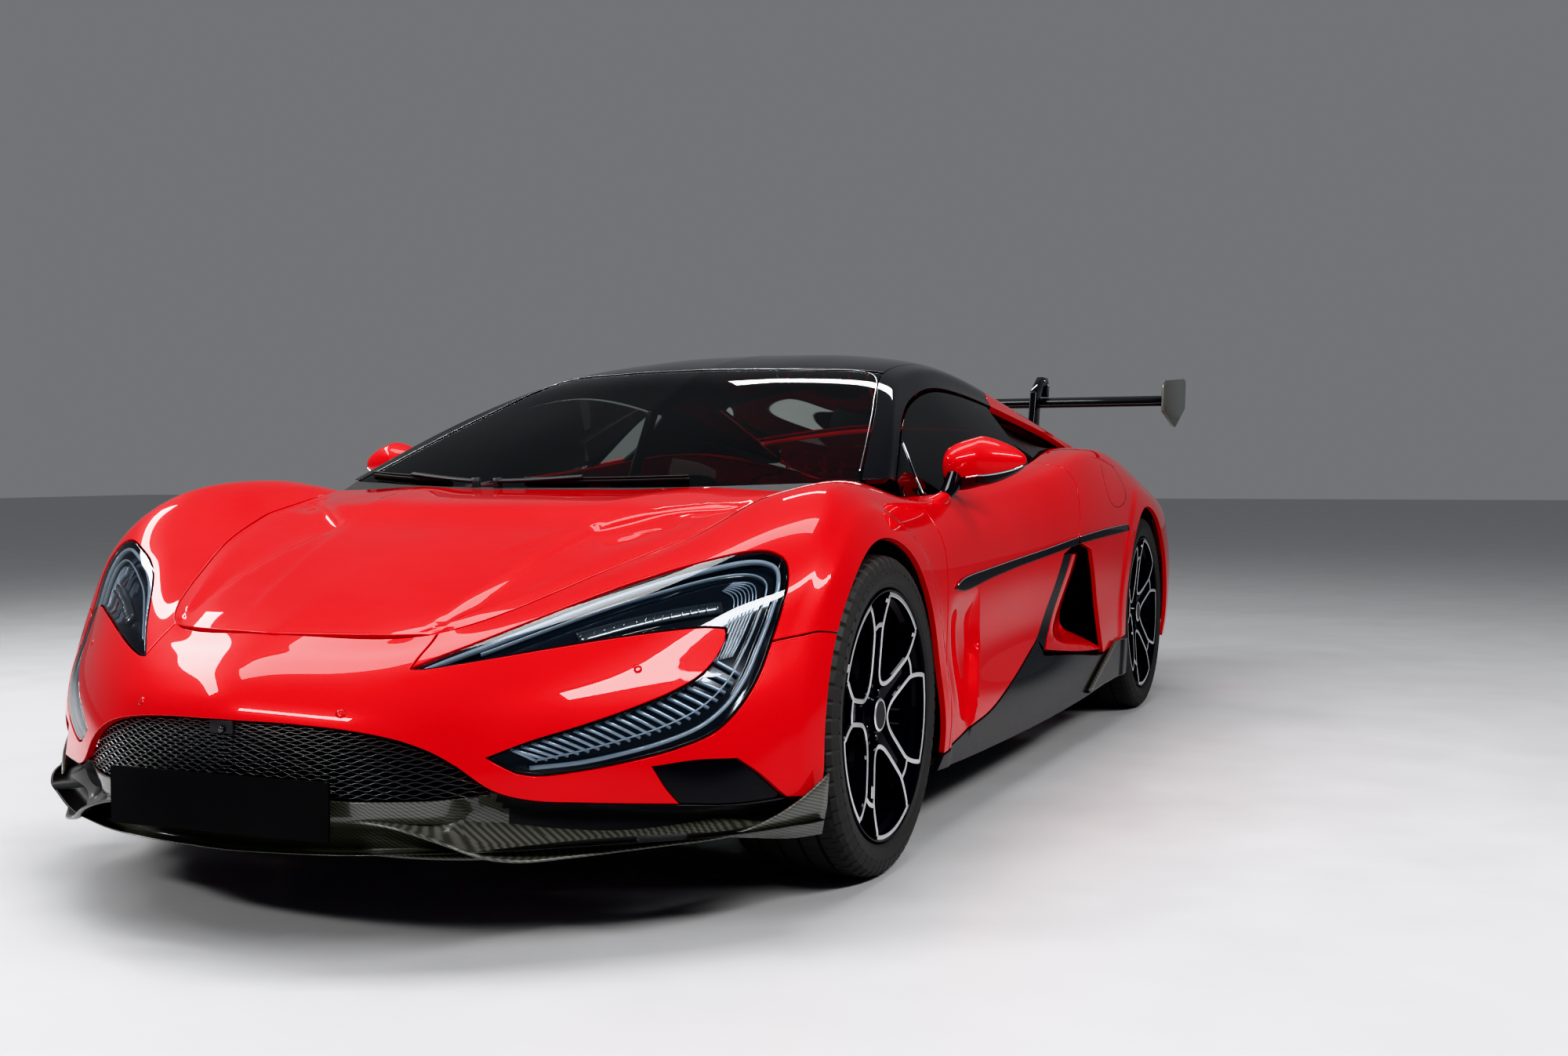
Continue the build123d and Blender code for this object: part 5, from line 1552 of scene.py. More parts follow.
@dataclass
class Wheel(Corner):
    """Tyre with its tread, and rim with twin-rail spokes."""

    width: float = 0.275
    rim_radius: float = 0.283
    spokes: int = 5
    first_spoke: float = 98.7
    lugs: int = 64

    def tyre(self) -> Parts:
        """Tread with four grooves and cut shoulders, bulged walls and rim seat.

        Returns:
            The tyre.
        """
        half, outer, inner = self.width / 2, TYRE_RADIUS, self.rim_radius
        groove, depth = 0.0045, 0.007
        crown = []
        for g in (-0.62, -0.22, 0.22, 0.62):
            c = g * (half - 0.02)
            crown += [(c - groove, 0.0), (c - groove * 0.7, -depth), (c + groove * 0.7, -depth), (c + groove, 0.0)]
        tread = [(x, outer - 0.0035 * (abs(x) / half) ** 3 + d) for x, d in crown]
        shoulder = [(half - 0.030, outer - 0.0025), (half - 0.018, outer - 0.006), (half - 0.008, outer - 0.014),
                    (half - 0.002, outer - 0.028)]
        wall = [(half, outer - 0.036), (half + 0.0012, outer - 0.0375), (half + 0.0012, outer - 0.0400),
                (half, outer - 0.0415), (half - 0.001, outer - 0.052), (half - 0.004, inner + 0.014),
                (half - 0.0035, inner + 0.0125), (half - 0.0045, inner + 0.011), (half - 0.009, inner + 0.005),
                (half - 0.015, inner + 0.001), (half - 0.022, inner - 0.003)]
        right_side = shoulder + wall
        left_side = [(-x, r) for x, r in right_side][::-1]
        profile = left_side + tread + right_side

        parts = revolve(profile[::-1], 6 * self.lugs)
        x, y, z = parts.verts[0].T
        r = np.hypot(y, z)
        turn = self.lugs * np.arctan2(z, y) / (2 * math.pi)
        shoulder_cut = ((turn + np.sign(x) * 0.25) % 1.0 < 0.13) & (np.abs(x) > half - 0.024) & (r > outer - 0.0388)
        sipe = np.abs((turn + np.abs(x) * 22) % 1.0 - 0.5) < 0.06
        sipe &= (np.abs(x) < half - 0.024) & (r > outer - 0.004)
        grow = 1.0 - (0.0045 * shoulder_cut + 0.003 * sipe) / r
        parts.verts[0] = np.stack([x, y * grow, z * grow], 1)
        return self.placed(parts)

    def _rail(self, path: list, width: float, top: float, depth: float, lift: tuple, count: int = 14,
              bright: bool = True) -> Parts:
        """Bar along a path of (radius, angle in degrees) on the wheel's face.

        Args:
            path: its centre line.
            width: full width at the base.
            top: width of its flat face.
            depth: how deep it reaches behind its face.
            lift: x of its face at the hub and at the rim, as a pair.
            count: cross sections.
            bright: whether the face is machined.

        Returns:
            The bar, with material 0 black and 1 machined.
        """
        points = [(r * math.cos(math.radians(a)), r * math.sin(math.radians(a))) for r, a in path]
        fine = spline(np.array(points), count)
        rows = []
        for i, (u, v) in enumerate(fine):
            ahead = fine[min(i + 1, len(fine) - 1)] - fine[max(i - 1, 0)]
            n = np.array([-ahead[1], ahead[0]]) / np.linalg.norm(ahead)
            t = min(1.0, max(0.0, (math.hypot(u, v) - 0.06) / 0.2))
            face = lift[0] + (lift[1] - lift[0]) * t ** 0.85
            bevel = min(0.0012, (width - top) / 2)
            section = [(-width / 2, face - depth), (-width / 2, face - 0.005), (-top / 2 - bevel, face - bevel * 0.6),
                       (-top / 2, face), (top / 2, face), (top / 2 + bevel, face - bevel * 0.6),
                       (width / 2, face - 0.005), (width / 2, face - depth)]
            rows.append([(x, u + n[0] * w, v + n[1] * w) for w, x in section])
        verts = np.array(rows).reshape(-1, 3)
        m, black, silver = 8, [], []
        for i in range(len(rows) - 1):
            for k in range(m):
                quad = (i * m + k, (i + 1) * m + k, (i + 1) * m + (k + 1) % m, i * m + (k + 1) % m)
                (silver if bright and k in (2, 3, 4) else black).append(quad)
        black += [tuple(range(m))[::-1], tuple((len(rows) - 1) * m + k for k in range(m))]
        parts = Parts()
        parts.add(verts, black, None, 0)
        if silver:
            parts.add(verts, silver, None, 1)
        return parts

    def rim(self) -> Parts:
        """Barrel, lip, hub and five twin-rail spokes with outlined windows between them.

        Returns:
            The rim, with material 0 black and 1 machined.
        """
        half = self.width / 2 - 0.007
        r = self.rim_radius
        barrel = [(half - 0.004, r + 0.002), (half + 0.001, r - 0.001), (half, r - 0.005), (half - 0.006, r - 0.007),
                  (half - 0.016, r - 0.008), (half - 0.030, r - 0.024), (half - 0.10, r - 0.036), (0.0, r - 0.038),
                  (-half + 0.05, r - 0.020), (-half, r - 0.006), (-half, r + 0.001)]
        pieces = [revolve(barrel, 96)]
        outside = [(-half, r + 0.001), (-half + 0.02, r - 0.002), (half - 0.02, r - 0.004), (half - 0.004, r + 0.002)]
        pieces.append(revolve(outside, 96))
        hub = [(half - 0.0170, 0.0), (half - 0.0170, 0.0335), (half - 0.0185, 0.0380), (half - 0.025, 0.0385),
               (half - 0.025, 0.0415), (half - 0.036, 0.046), (half - 0.040, 0.058), (half - 0.054, 0.072),
               (0.015, 0.074), (0.015, 0.03)]
        ring = [(half - 0.0168, 0.0315), (half - 0.0162, 0.0325), (half - 0.0166, 0.0358), (half - 0.0182, 0.0380)]
        pieces += [revolve(hub, 64), revolve(ring, 64, 1)]
        lift = (half - 0.030, half - 0.001)
        window = [(0.955, 13.4), (0.86, 10.9), (0.76, 8.6), (0.70, 7.8), (0.62, 8.5), (0.50, 10.5), (0.39, 13.8),
                  (0.31, 21.0), (0.272, 36.0)]
        window += [(t, 72.0 - a) for t, a in window[-2::-1]]
        low = (lift[0] - 0.009, lift[1] - 0.012)
        for i in range(self.spokes):
            a = self.first_spoke + 360 / self.spokes * i
            pieces.append(self._rail([(t * r * 0.992, a + d) for t, d in window], 0.0150, 0.0085, 0.028, lift, 48))
            edge = [(0.962 * r, a + d) for d in np.linspace(13.0, 59.0, 12)]
            pieces.append(self._rail(edge, 0.0120, 0.0085, 0.012, lift, 22))
            bridge = [(0.725 * r, a - 7.0), (0.735 * r, a), (0.725 * r, a + 7.0)]
            pieces.append(self._rail(bridge, 0.0125, 0.0085, 0.018, lift, 8))
            pieces.append(self._rail([(0.040, a), (0.12, a), (0.72 * r, a)], 0.052, 0.044, 0.020, low, 12, False))
            pieces.append(self._rail([(0.74 * r, a), (0.95 * r, a)], 0.088, 0.078, 0.012, (low[0], low[1] - 0.012), 6,
                                     False))
            for s in (-1, 1):
                rib = [(0.070, a + 36 + s * 14), (0.135, a + 36 + s * 7), (0.190, a + 36 + s * 5.0),
                       (0.95 * r, a + 36 + s * 4.4)]
                pieces.append(self._rail(rib, 0.010, 0.004, 0.014, (lift[0] - 0.030, lift[1] - 0.034), 16, False))
            pieces.append(self._stud(half - 0.038, 0.054, math.radians(a + 180 / self.spokes), 0.008, 0.008))
        return self.placed(Parts().joined(*pieces))

    def _stud(self, x: float, out: float, angle: float, radius: float, height: float) -> Parts:
        """Wheel bolt head with a chamfered face.

        Args:
            x: of its foot.
            out: distance from the axle.
            angle: round the axle, in radians.
            radius: of the head.
            height: of its side.

        Returns:
            The head.
        """
        tip = height + 0.0015
        parts = revolve([(tip, 0.0), (tip, radius * 0.8), (height, radius), (0.0, radius)], 12)
        parts.verts[0] = parts.verts[0] + [x, out * math.cos(angle), out * math.sin(angle)]
        return parts

    def build(self) -> None:
        """Makes the tyre and rim of one corner."""
        body = "wheel_" + self.name
        piece(self.tyre(), "tread_" + self.name, body, ("tyre_" + self.name,), RUBBER, smooth=False)
        piece(self.rim(), "alloy_" + self.name, body, ("rim_" + self.name,), WHEEL_BLACK, MACHINED, smooth=False)


# ---- finishes of the frame's own pieces ----
CAD_FINISHES = {"floor_tub": CARBON, "diffuser": CARBON, "rear_subframe": ALLOY, "knuckle_front_left": ALLOY,
                "knuckle_front_right": ALLOY, "knuckle_rear_left": ALLOY, "knuckle_rear_right": ALLOY,
                "number_plate": PLATE, "rear_deck": RED}


def dress_frame() -> None:
    """Gives every CAD node its finish; those that a piece stands for go out of sight later."""
    for name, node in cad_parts.items():
        node.data.materials.clear()
        node.data.materials.append(PAINT.get(CAD_FINISHES.get(name, TRIM)))
        for polygon in node.data.polygons:
            polygon.material_index = 0


# ---- stage ----
@dataclass(frozen=True)
class Lamp:
    """One area light."""

    name: str
    place: tuple
    target: tuple
    size: tuple
    power: float

    def hang(self) -> None:
        """Adds the light to the scene, turned to its target."""
        light = bpy.data.lights.new(self.name, "AREA")
        light.shape = "RECTANGLE"
        light.size, light.size_y = self.size
        light.energy = self.power
        obj = bpy.data.objects.new(self.name, light)
        aim = (Vector(self.target) - Vector(self.place)).to_track_quat("-Z", "Y").to_matrix().to_4x4()
        obj.matrix_world = Matrix.Translation(self.place) @ aim
        bpy.context.scene.collection.objects.link(obj)


SKY_COLOUR = (0.80, 0.82, 0.85, 1.0)
SKY_STRENGTH = 0.26
FLOOR_HALF = 40
# Camera: lens and sensor in millimetres, place and furthest view in metres, and its axes in the car's frame.
FOCAL_LENGTH = 39.437
SENSOR_WIDTH = 36.0
VIEW_LIMIT = 200.0
CAMERA_PLACE = (2.2544, -5.0587, 0.9276)
CAMERA_RIGHT = (0.92224744, 0.38657827, -0.00411117)
CAMERA_UP = (-0.0104932, 0.0356607, 0.99930886)
CAMERA_BACK = (0.3864577, -0.9215669, 0.03694443)
LAMPS = (Lamp("overhead", (-0.6, -0.8, 5.6), (0.0, -0.5, 0.0), (1.6, 7.0), 300.0),
         Lamp("left_bank", (5.2, -2.6, 4.4), (0.4, -0.8, 0.4), (6.0, 0.5), 340.0),
         Lamp("nose_bank", (-1.6, -8.5, 4.6), (0.0, -1.5, 0.3), (4.0, 0.6), 330.0),
         Lamp("right_bank", (-5.2, -1.0, 4.2), (0.0, 0.0, 0.4), (6.0, 0.6), 230.0),
         Lamp("tail_bank", (-2.0, 6.0, 6.2), (0.0, 1.5, 0.4), (2.6, 0.5), 60.0))


def make_stage() -> None:
    """Floor, lights, sky as the backdrop, and camera."""
    floor = Parts()
    corners = np.array([(-1, -1, 0), (1, -1, 0), (1, 1, 0), (-1, 1, 0)], float)
    floor.add(FLOOR_HALF * corners, [(0, 1, 2, 3)])
    ground = floor.build("studio_ground", FLOOR, smooth=False)
    world = bpy.data.worlds.new("studio_sky")
    world.use_nodes = True
    sky = world.node_tree.nodes["Background"].inputs
    sky["Color"].default_value = SKY_COLOUR
    sky["Strength"].default_value = SKY_STRENGTH
    bpy.context.scene.world = world
    for lamp in LAMPS:
        lamp.hang()
    data = bpy.data.cameras.new("main_camera")
    data.lens = FOCAL_LENGTH
    data.sensor_width = SENSOR_WIDTH
    data.sensor_fit = "HORIZONTAL"
    data.clip_end = VIEW_LIMIT
    camera = bpy.data.objects.new("main_camera", data)
    camera.matrix_world = Matrix([*zip(CAMERA_RIGHT, CAMERA_UP, CAMERA_BACK, CAMERA_PLACE), (0, 0, 0, 1)])
    bpy.context.scene.collection.objects.link(camera)
    bpy.context.scene.camera = camera
    bpy.context.scene.view_settings.view_transform = "Khronos PBR Neutral"


# ---- strips and bars that follow a sheet ----
def ribbon(sheet: Sheet, path: list, width: float, height: float, lift: float = 0.0, count: int = 40,
           mark: int = 0, side_lift: float = 0.0) -> Parts:
    """Flat bar laid on a sheet along a path of parameters.

    Args:
        sheet: surface it lies on.
        path: its centre line.
        width: across the path.
        height: above its underside.
        lift: of its underside above the sheet, negative to sink it.
        count: cross sections.
        mark: material number.
        side_lift: extra height of one edge.

    Returns:
        The closed bar.
    """
    at = spline(np.array(path, float), count)
    p, n = sheet.points(at), sheet.normals(at)
    ahead = np.gradient(p, axis=0)
    across = np.cross(n, ahead)
    across /= np.maximum(np.linalg.norm(across, axis=1), 1e-9)[:, None]
    e = min(width, height) * 0.22
    shape = [(-0.5, 0.0, 0.0, 0), (0.5, 0.0, 0.0, 1), (0.5, 1.0, -e, 1), (0.5, 1.0, 0.0, 1), (-0.5, 1.0, 0.0, 0),
             (-0.5, 1.0, -e, 0)]
    rows = []
    for a, up, down, raised in shape:
        inset = e if (up == 1.0 and down == 0.0) else 0.0
        rise = lift + up * height + down + raised * side_lift
        rows.append(p + across * (a * width - math.copysign(inset, a)) + n * rise)
    verts = np.stack(rows, 1).reshape(-1, 3)
    m = len(shape)
    faces = [(i * m + k, i * m + (k + 1) % m, (i + 1) * m + (k + 1) % m, (i + 1) * m + k)
             for i in range(len(at) - 1) for k in range(m)]
    faces += [tuple(range(m))[::-1], tuple((len(at) - 1) * m + k for k in range(m))]
    if sheet.outward > 0:
        faces = [tuple(reversed(f)) for f in faces]
    parts = Parts()
    parts.add(verts, faces, None, mark)
    return parts


def tube(path: np.ndarray, radius: float, count: int = 24, sides: int = 10, mark: int = 0) -> Parts:
    """Round bar along points in space.

    Args:
        path: its middle line.
        radius: of the bar.
        count: rings along it.
        sides: corners of a ring.
        mark: material number.

    Returns:
        The bar.
    """
    at = spline(np.array(path, float), count)
    ahead = np.gradient(at, axis=0)
    ahead /= np.linalg.norm(ahead, axis=1)[:, None]
    ref = np.array([0.0, 0.0, 1.0]) if abs(ahead[0, 2]) < 0.9 else np.array([1.0, 0.0, 0.0])
    u = np.cross(ahead, ref)
    u /= np.linalg.norm(u, axis=1)[:, None]
    v = np.cross(ahead, u)
    angles = np.linspace(0, 2 * math.pi, sides, endpoint=False)
    verts = (at[:, None] + radius * (u[:, None] * np.cos(angles)[None, :, None]
                                     + v[:, None] * np.sin(angles)[None, :, None])).reshape(-1, 3)
    faces = [(i * sides + k, i * sides + (k + 1) % sides, (i + 1) * sides + (k + 1) % sides, (i + 1) * sides + k)
             for i in range(len(at) - 1) for k in range(sides)]
    faces += [tuple(range(sides))[::-1], tuple((len(at) - 1) * sides + k for k in range(sides))]
    parts = Parts()
    parts.add(verts, faces, None, mark)
    return parts


def loft(rings: np.ndarray, mark: int = 0, capped: bool = True) -> Parts:
    """Closed skin over rings of equal count, rings x points x 3.

    Args:
        rings: rings x points x 3.
        mark: material number.
        capped: whether both ends are closed.

    Returns:
        The skin.
    """
    count, m = rings.shape[:2]
    faces = [(i * m + k, (i + 1) * m + k, (i + 1) * m + (k + 1) % m, i * m + (k + 1) % m)
             for i in range(count - 1) for k in range(m)]
    if capped:
        faces += [tuple(range(m)), tuple((count - 1) * m + k for k in range(m))[::-1]]
    parts = Parts()
    parts.add(rings.reshape(-1, 3), faces, None, mark)
    return parts


def prism(outline: list, x0: float, x1: float, mark: int = 0) -> Parts:
    """Plate between two X planes.

    Args:
        outline: (y, z) corners.
        x0: lower plane.
        x1: upper plane.
        mark: material number.

    Returns:
        The plate.
    """
    return loft(np.array([[(x, y, z) for y, z in outline] for x in (x0, x1)]), mark)


def box_between(low: tuple, high: tuple, mark: int = 0) -> Parts:
    """Box between two corners."""
    return prism([(low[1], low[2]), (high[1], low[2]), (high[1], high[2]), (low[1], high[2])], low[0], high[0], mark)


def tidy(obj: bpy.types.Object, bevel: float = 0.0, segments: int = 2, angle: float = 35.0, subdivide: int = 0
         ) -> bpy.types.Object:
    """Turns normals outward, and adds a live bevel or subdivision.

    Args:
        obj: object to finish.
        bevel: width of the bevel, or 0 for none.
        segments: faces across the bevel.
        angle: least angle in degrees that is bevelled.
        subdivide: levels of subdivision.

    Returns:
        The same object.
    """
    mesh = bmesh.new()
    mesh.from_mesh(obj.data)
    bmesh.ops.remove_doubles(mesh, verts=mesh.verts, dist=1e-5)
    bmesh.ops.recalc_face_normals(mesh, faces=mesh.faces)
    mesh.to_mesh(obj.data)
    mesh.free()
    if subdivide:
        smooth = obj.modifiers.new("subdivision", "SUBSURF")
        smooth.levels = smooth.render_levels = subdivide
    if bevel:
        rounding = obj.modifiers.new("bevel", "BEVEL")
        rounding.width = bevel
        rounding.segments = segments
        rounding.limit_method = "ANGLE"
        rounding.angle_limit = math.radians(angle)
        rounding.harden_normals = False
    return obj


def both_sides(parts: Parts) -> Parts:
    """Patches and their mirror image."""
    return parts.joined(parts.mirrored())


# ---- headlamps ----
@dataclass
class HeadLamp:
    """V-shaped lamp: clear lens, dark housing, light guides and vanes."""

    depth: float = 0.030
    vanes: int = 22

    def outline(self) -> list:
        """Closed paths round the lamp."""
        return [np.array(LAMP_TOP), np.array(LAMP_OUT), np.array(LAMP_TIP), np.array(LAMP_LOW), np.array(LAMP_ISLAND)]

    def guides(self) -> Parts:
        """Bright lines along the top and outer edges.

        Returns:
            The patches.
        """
        upper = [(2.05, 4.56), (2.34, 4.93), (2.82, 5.42), (3.36, 5.60), (3.97, 5.40), (4.62, 4.90), (5.10, 4.50),
                 (5.28, 4.26), (5.30, 3.98), (5.20, 3.56), (5.04, 3.05), (4.89, 2.54), (4.73, 2.16), (4.53, 1.90),
                 (4.27, 1.74), (3.95, 1.62), (3.56, 1.52), (3.18, 1.50)]
        second = [(2.5, 4.85), (2.95, 5.22), (3.45, 5.32), (4.0, 5.08), (4.60, 4.64), (4.98, 4.32), (5.12, 4.10),
                  (5.12, 3.90), (5.03, 3.52), (4.88, 3.02), (4.74, 2.60), (4.58, 2.30), (4.40, 2.10), (4.15, 1.94),
                  (3.86, 1.82), (3.52, 1.70), (3.22, 1.62)]
        parts = ribbon(BODY, upper, 0.0085, 0.010, -0.018, 110)
        return parts.joined(ribbon(BODY, second, 0.0035, 0.008, -0.022, 110))

    def fan(self) -> Parts:
        """Clear vanes across the lower limb and fibres in the outer corner.

        Returns:
            The patches.
        """
        outer = spline(np.array([(4.86, 2.66), (4.62, 2.22), (4.36, 1.98), (3.98, 1.80), (3.56, 1.66), (3.24, 1.60)])
                       * [0.35, 0.13], self.vanes) / [0.35, 0.13]
        inner = spline(np.array([(4.64, 3.20), (4.50, 2.74), (4.22, 2.48), (3.80, 2.24), (3.36, 2.04), (3.02, 1.88)])
                       * [0.35, 0.13], self.vanes) / [0.35, 0.13]
        parts = Parts()
        for i in range(self.vanes):
            ends = [tuple(outer[i]), tuple(inner[min(self.vanes - 1, i + 1)])]
            parts = parts.joined(ribbon(BODY, ends, 0.0060, 0.010, -0.026, 6))
        for j in range(7):
            t = j / 6.0
            path = [(4.70 - 0.10 * t, 4.42 - 0.10 * t), (4.95 - 0.22 * t, 4.20 - 0.14 * t),
                    (5.00 - 0.26 * t, 3.86 - 0.10 * t), (4.90 - 0.22 * t, 3.40), (4.78 - 0.16 * t, 3.00)]
            parts = parts.joined(ribbon(BODY, path, 0.0020, 0.005, -0.028, 20))
        return parts

    def projector(self) -> Parts:
        """Ribbed light block in the upper limb.

        Returns:
            The patches.
        """
        parts = ribbon(BODY, [(3.30, 4.42), (3.75, 4.30), (4.30, 4.06), (4.62, 3.92)], 0.026, 0.010, -0.030, 20, 0)
        for t in np.linspace(0.04, 0.96, 15):
            mid = spline(np.array([(3.30, 4.42), (3.75, 4.30), (4.30, 4.06), (4.62, 3.92)]), 50)[int(t * 49)]
            ends = [(mid[0], mid[1] - 0.10), (mid[0], mid[1] + 0.10)]
            parts = parts.joined(ribbon(BODY, ends, 0.0016, 0.004, -0.020, 3, 1))
        return parts

    def build(self) -> None:
        """Makes both lamps."""
        lens = Panel(BODY, self.outline(), sink=0.001, wall=0.004, gap=0.0015).mesh()
        piece(both_sides(lens), "lamp_lenses", Body.CAR.value, ("headlamps",), LENS)
        housing = Panel(BODY, self.outline(), sink=self.depth, gap=0.002, wall=0.034).mesh()
        well = Panel(BODY, self.outline(), sink=0.0045, gap=0.002, wall=0.030).well(0.0035)
        piece(both_sides(housing), "lamp_housings", Body.CAR.value, (), HOUSING)
        piece(both_sides(well), "lamp_wells", Body.CAR.value, (), HOUSING)
        piece(both_sides(self.guides()), "lamp_guides", Body.CAR.value, (), GUIDE)
        piece(both_sides(self.fan()), "lamp_vanes", Body.CAR.value, (), VANE)
        piece(both_sides(self.projector()), "lamp_projectors", Body.CAR.value, (), REFLECTOR, CHROME)


# ---- nose ----
@dataclass
class Nose:
    """Mouth mesh, chin, splitter, inlets, sensors and camera."""

    rows: int = 24

    def mesh_rows(self) -> Parts:
        """Wavy blades across the mouth.

        Returns:
            The patches.
        """
        top = np.array(spline(np.array([*MOUTH_TOP, MOUTH_TIP]), 72))
        parts = Parts()
        for r in range(self.rows):
            k = 1.04 + (2.82 - 1.04) * r / (self.rows - 1)
            above = top[top[:, 1] > k + 0.03]
            if len(above) == 0:
                continue
            end = float(above[-1, 0])
            if end < 0.2:
                continue
            count = int(60 * end) + 8
            s = np.linspace(-0.0, end, count)
            wave = 0.022 * np.sin(s * 34 + (r % 2) * math.pi) + 0.010 * np.sin(s * 13 + r * 1.7)
            path = np.stack([s, k + wave], 1)
            parts = parts.joined(self._blade(path))
        return parts

    def _blade(self, at: np.ndarray) -> Parts:
        """One thin blade along parameters.

        Args:
            at: parameters along it.

        Returns:
            The blade.
        """
        p, n = BODY.points(at), BODY.normals(at)
        up = np.array([0.0, 0.0, 0.0016])
        rows = [p - n * 0.012 - up, p - n * 0.012 + up, p - n * 0.024 + up * 0.6, p - n * 0.024 - up * 0.6]
        verts = np.stack(rows, 1).reshape(-1, 3)
        faces = [(i * 4 + k, i * 4 + (k + 1) % 4, (i + 1) * 4 + (k + 1) % 4, (i + 1) * 4 + k)
                 for i in range(len(at) - 1) for k in range(4)]
        parts = Parts()
        parts.add(verts, faces)
        return parts

    def chin(self) -> Parts:
        """Left half of the carbon chin, drawn back under the bumper's lip; its outer part is black trim as painted
        shade under the lip.

        Returns:
            The patches, with material 0 carbon and 1 black trim as painted shade.
        """
        leg = np.array([LIP_PATHS[-1][-1], (6.12, 0.0)])
        hem = np.array([(s, 0.0) for s in np.linspace(6.12, 0.0, 14)])
        centre = np.array([(0.0, 0.0), (0.0, 1.0)])
        low = np.array([(0.0, 1.0), (1.2, 1.0), (2.0, 0.99), (2.5, 1.0), (2.78, 1.06), MOUTH_TIP])
        under = np.array(INLET[2])[::-1]
        parts = Panel(BODY, [leg, hem, centre, low, LIP_PATHS[0][1:], under, LIP_PATHS[-1]], gap=0.0008, sink=0.005,
                      open_at=(0.0,), wall=0.006).mesh()
        top = ([0.0, 0.43, 0.47, 0.50, 0.555, 0.65, 0.786, 0.94], [0.30, 0.30, 0.34, 0.313, 0.288, 0.279, 0.266, 0.259])
        for i, verts in enumerate(parts.verts):
            normal = parts.normals[i] * [1, 1, 0]
            normal /= np.maximum(np.linalg.norm(normal, axis=1), 1e-6)[:, None]
            fall = np.interp(np.abs(verts[:, 0]), *top) - verts[:, 2]
            side = ramp(np.abs(verts[:, 0]), 0.38, 0.52)
            back = 0.040 * ramp(fall, 0.0, 0.035) * side + 0.030 * ramp(fall, 0.045, 0.06) * (1 - side)
            parts.verts[i] = verts - normal * back[:, None]
            parts.normals[i] = np.full_like(verts, np.nan)
        verts = np.concatenate(parts.verts)
        # Faces more than 0.5 m out take black trim: painted shade in the recess under the bumper's lip, over the
        # carbon.
        parts.marks = [1 if abs(verts[list(f), 0].mean()) > 0.50 else 0 for f in parts.faces]
        return parts

    def splitter(self) -> Parts:
        """Left half of the blade under the nose: raised in the middle, low at the corner, curled up at its end.

        Returns:
            The patches.
        """
        edge = np.array([(0.0, -2.437, 0.263), (0.20, -2.430, 0.265), (0.34, -2.412, 0.257), (0.43, -2.387, 0.231),
                         (0.50, -2.345, 0.199), (0.556, -2.308, 0.188), (0.626, -2.234, 0.187), (0.698, -2.160, 0.190),
                         (0.770, -2.098, 0.195), (0.842, -2.038, 0.201), (0.902, -1.978, 0.218), (0.958, -1.915, 0.254),
                         (1.002, -1.842, 0.304)])
        path = spline(edge, 72)
        ahead = np.gradient(path, axis=0)
        inward = np.stack([-ahead[:, 1], ahead[:, 0]], 1)
        inward /= np.linalg.norm(inward, axis=1)[:, None]
        rings = []
        for i, (x, y, z) in enumerate(path):
            curl = float(ramp(np.array(x), 0.85, 0.985))
            base = z if x < 0.842 else 0.201 - 0.018 * curl
            side = float(ramp(np.array(x), 0.30, 0.55))
            reach = 0.055 + 0.060 * side
            lift = side * (1 - curl)
            w = inward[i] if i else np.array([0.0, 1.0])
            first, second, last = base + 0.006 + 0.014 * lift, base + 0.012 + 0.044 * lift, base + 0.020 + 0.068 * lift
            middle = 0.045 + 0.55 * (reach - 0.045)
            shape = [(0.001, z), (0.006 + 0.010 * curl, z * 0.45 + base * 0.55 + 0.001),
                     (0.014 + 0.020 * curl, base + 0.002), (0.045, first), (middle, second), (reach, last),
                     (reach, last - 0.012), (middle, second - 0.012), (0.045, first - 0.012),
                     (0.012 + 0.012 * curl, base - 0.007),
                     (0.002 + 0.004 * curl, z * 0.45 + base * 0.55 - 0.006 * (1 - curl)), (-0.001, z - 0.004)]
            rings.append([(x + w[0] * d, y + w[1] * d, h) for d, h in shape])
        return loft(np.array(rings))

    def under_strip(self) -> Parts:
        """Left half of the flat lip below the raised middle of the blade.

        Returns:
            The lip.
        """
        path = spline(np.array([(0.0, -2.402), (0.20, -2.396), (0.34, -2.375), (0.44, -2.335), (0.52, -2.285)]), 24)
        rings = []
        for x, y in path:
            z = 0.196 - 0.010 * float(ramp(np.array(x), 0.2, 0.5))
            rings.append([(x, y, z), (x, y + 0.003, z + 0.004), (x, y + 0.10, z + 0.006), (x, y + 0.10, z - 0.004),
                          (x, y + 0.003, z - 0.004)])
        return loft(np.array(rings))

    def inlets(self) -> Parts:
        """Gloss black blade in each outer inlet."""
        return Panel(BODY, [np.array(p) for p in INLET], sink=0.014, gap=0.0, wall=0.02).mesh()

    def sensors(self) -> Parts:
        """Parking sensor discs in the bumper.

        Returns:
            The discs.
        """
        parts = Parts()
        for s, k in ((1.45, 3.05), (3.95, 3.10)):
            parts = parts.joined(self._disc(s, k, 0.0085))
        return parts

    def _disc(self, s: float, k: float, radius: float) -> Parts:
        """Small disc with a grooved rim on the body.

        Args:
            s: station of its middle.
            k: line of its middle.
            radius: of the disc.

        Returns:
            The disc.
        """
        p, n = BODY.points([[s, k]])[0], BODY.normals([[s, k]])[0]
        u = np.cross(n, [0, 0, 1.0])
        u /= np.linalg.norm(u)
        v = np.cross(n, u)
        angles = np.linspace(0, 2 * math.pi, 28, endpoint=False)
        rings = [(radius * 1.12, -0.001), (radius * 1.12, 0.0002), (radius * 1.02, 0.0002), (radius * 1.0, -0.0005),
                 (radius * 0.96, 0.0006), (radius * 0.4, 0.0008)]
        rows = np.array([[p + n * h + r * (u * math.cos(a) + v * math.sin(a)) for a in angles] for r, h in rings])
        out = loft(rows, 0)
        out.marks = [1 if 28 <= i < 84 else 0 for i in range(len(out.faces))]
        return out

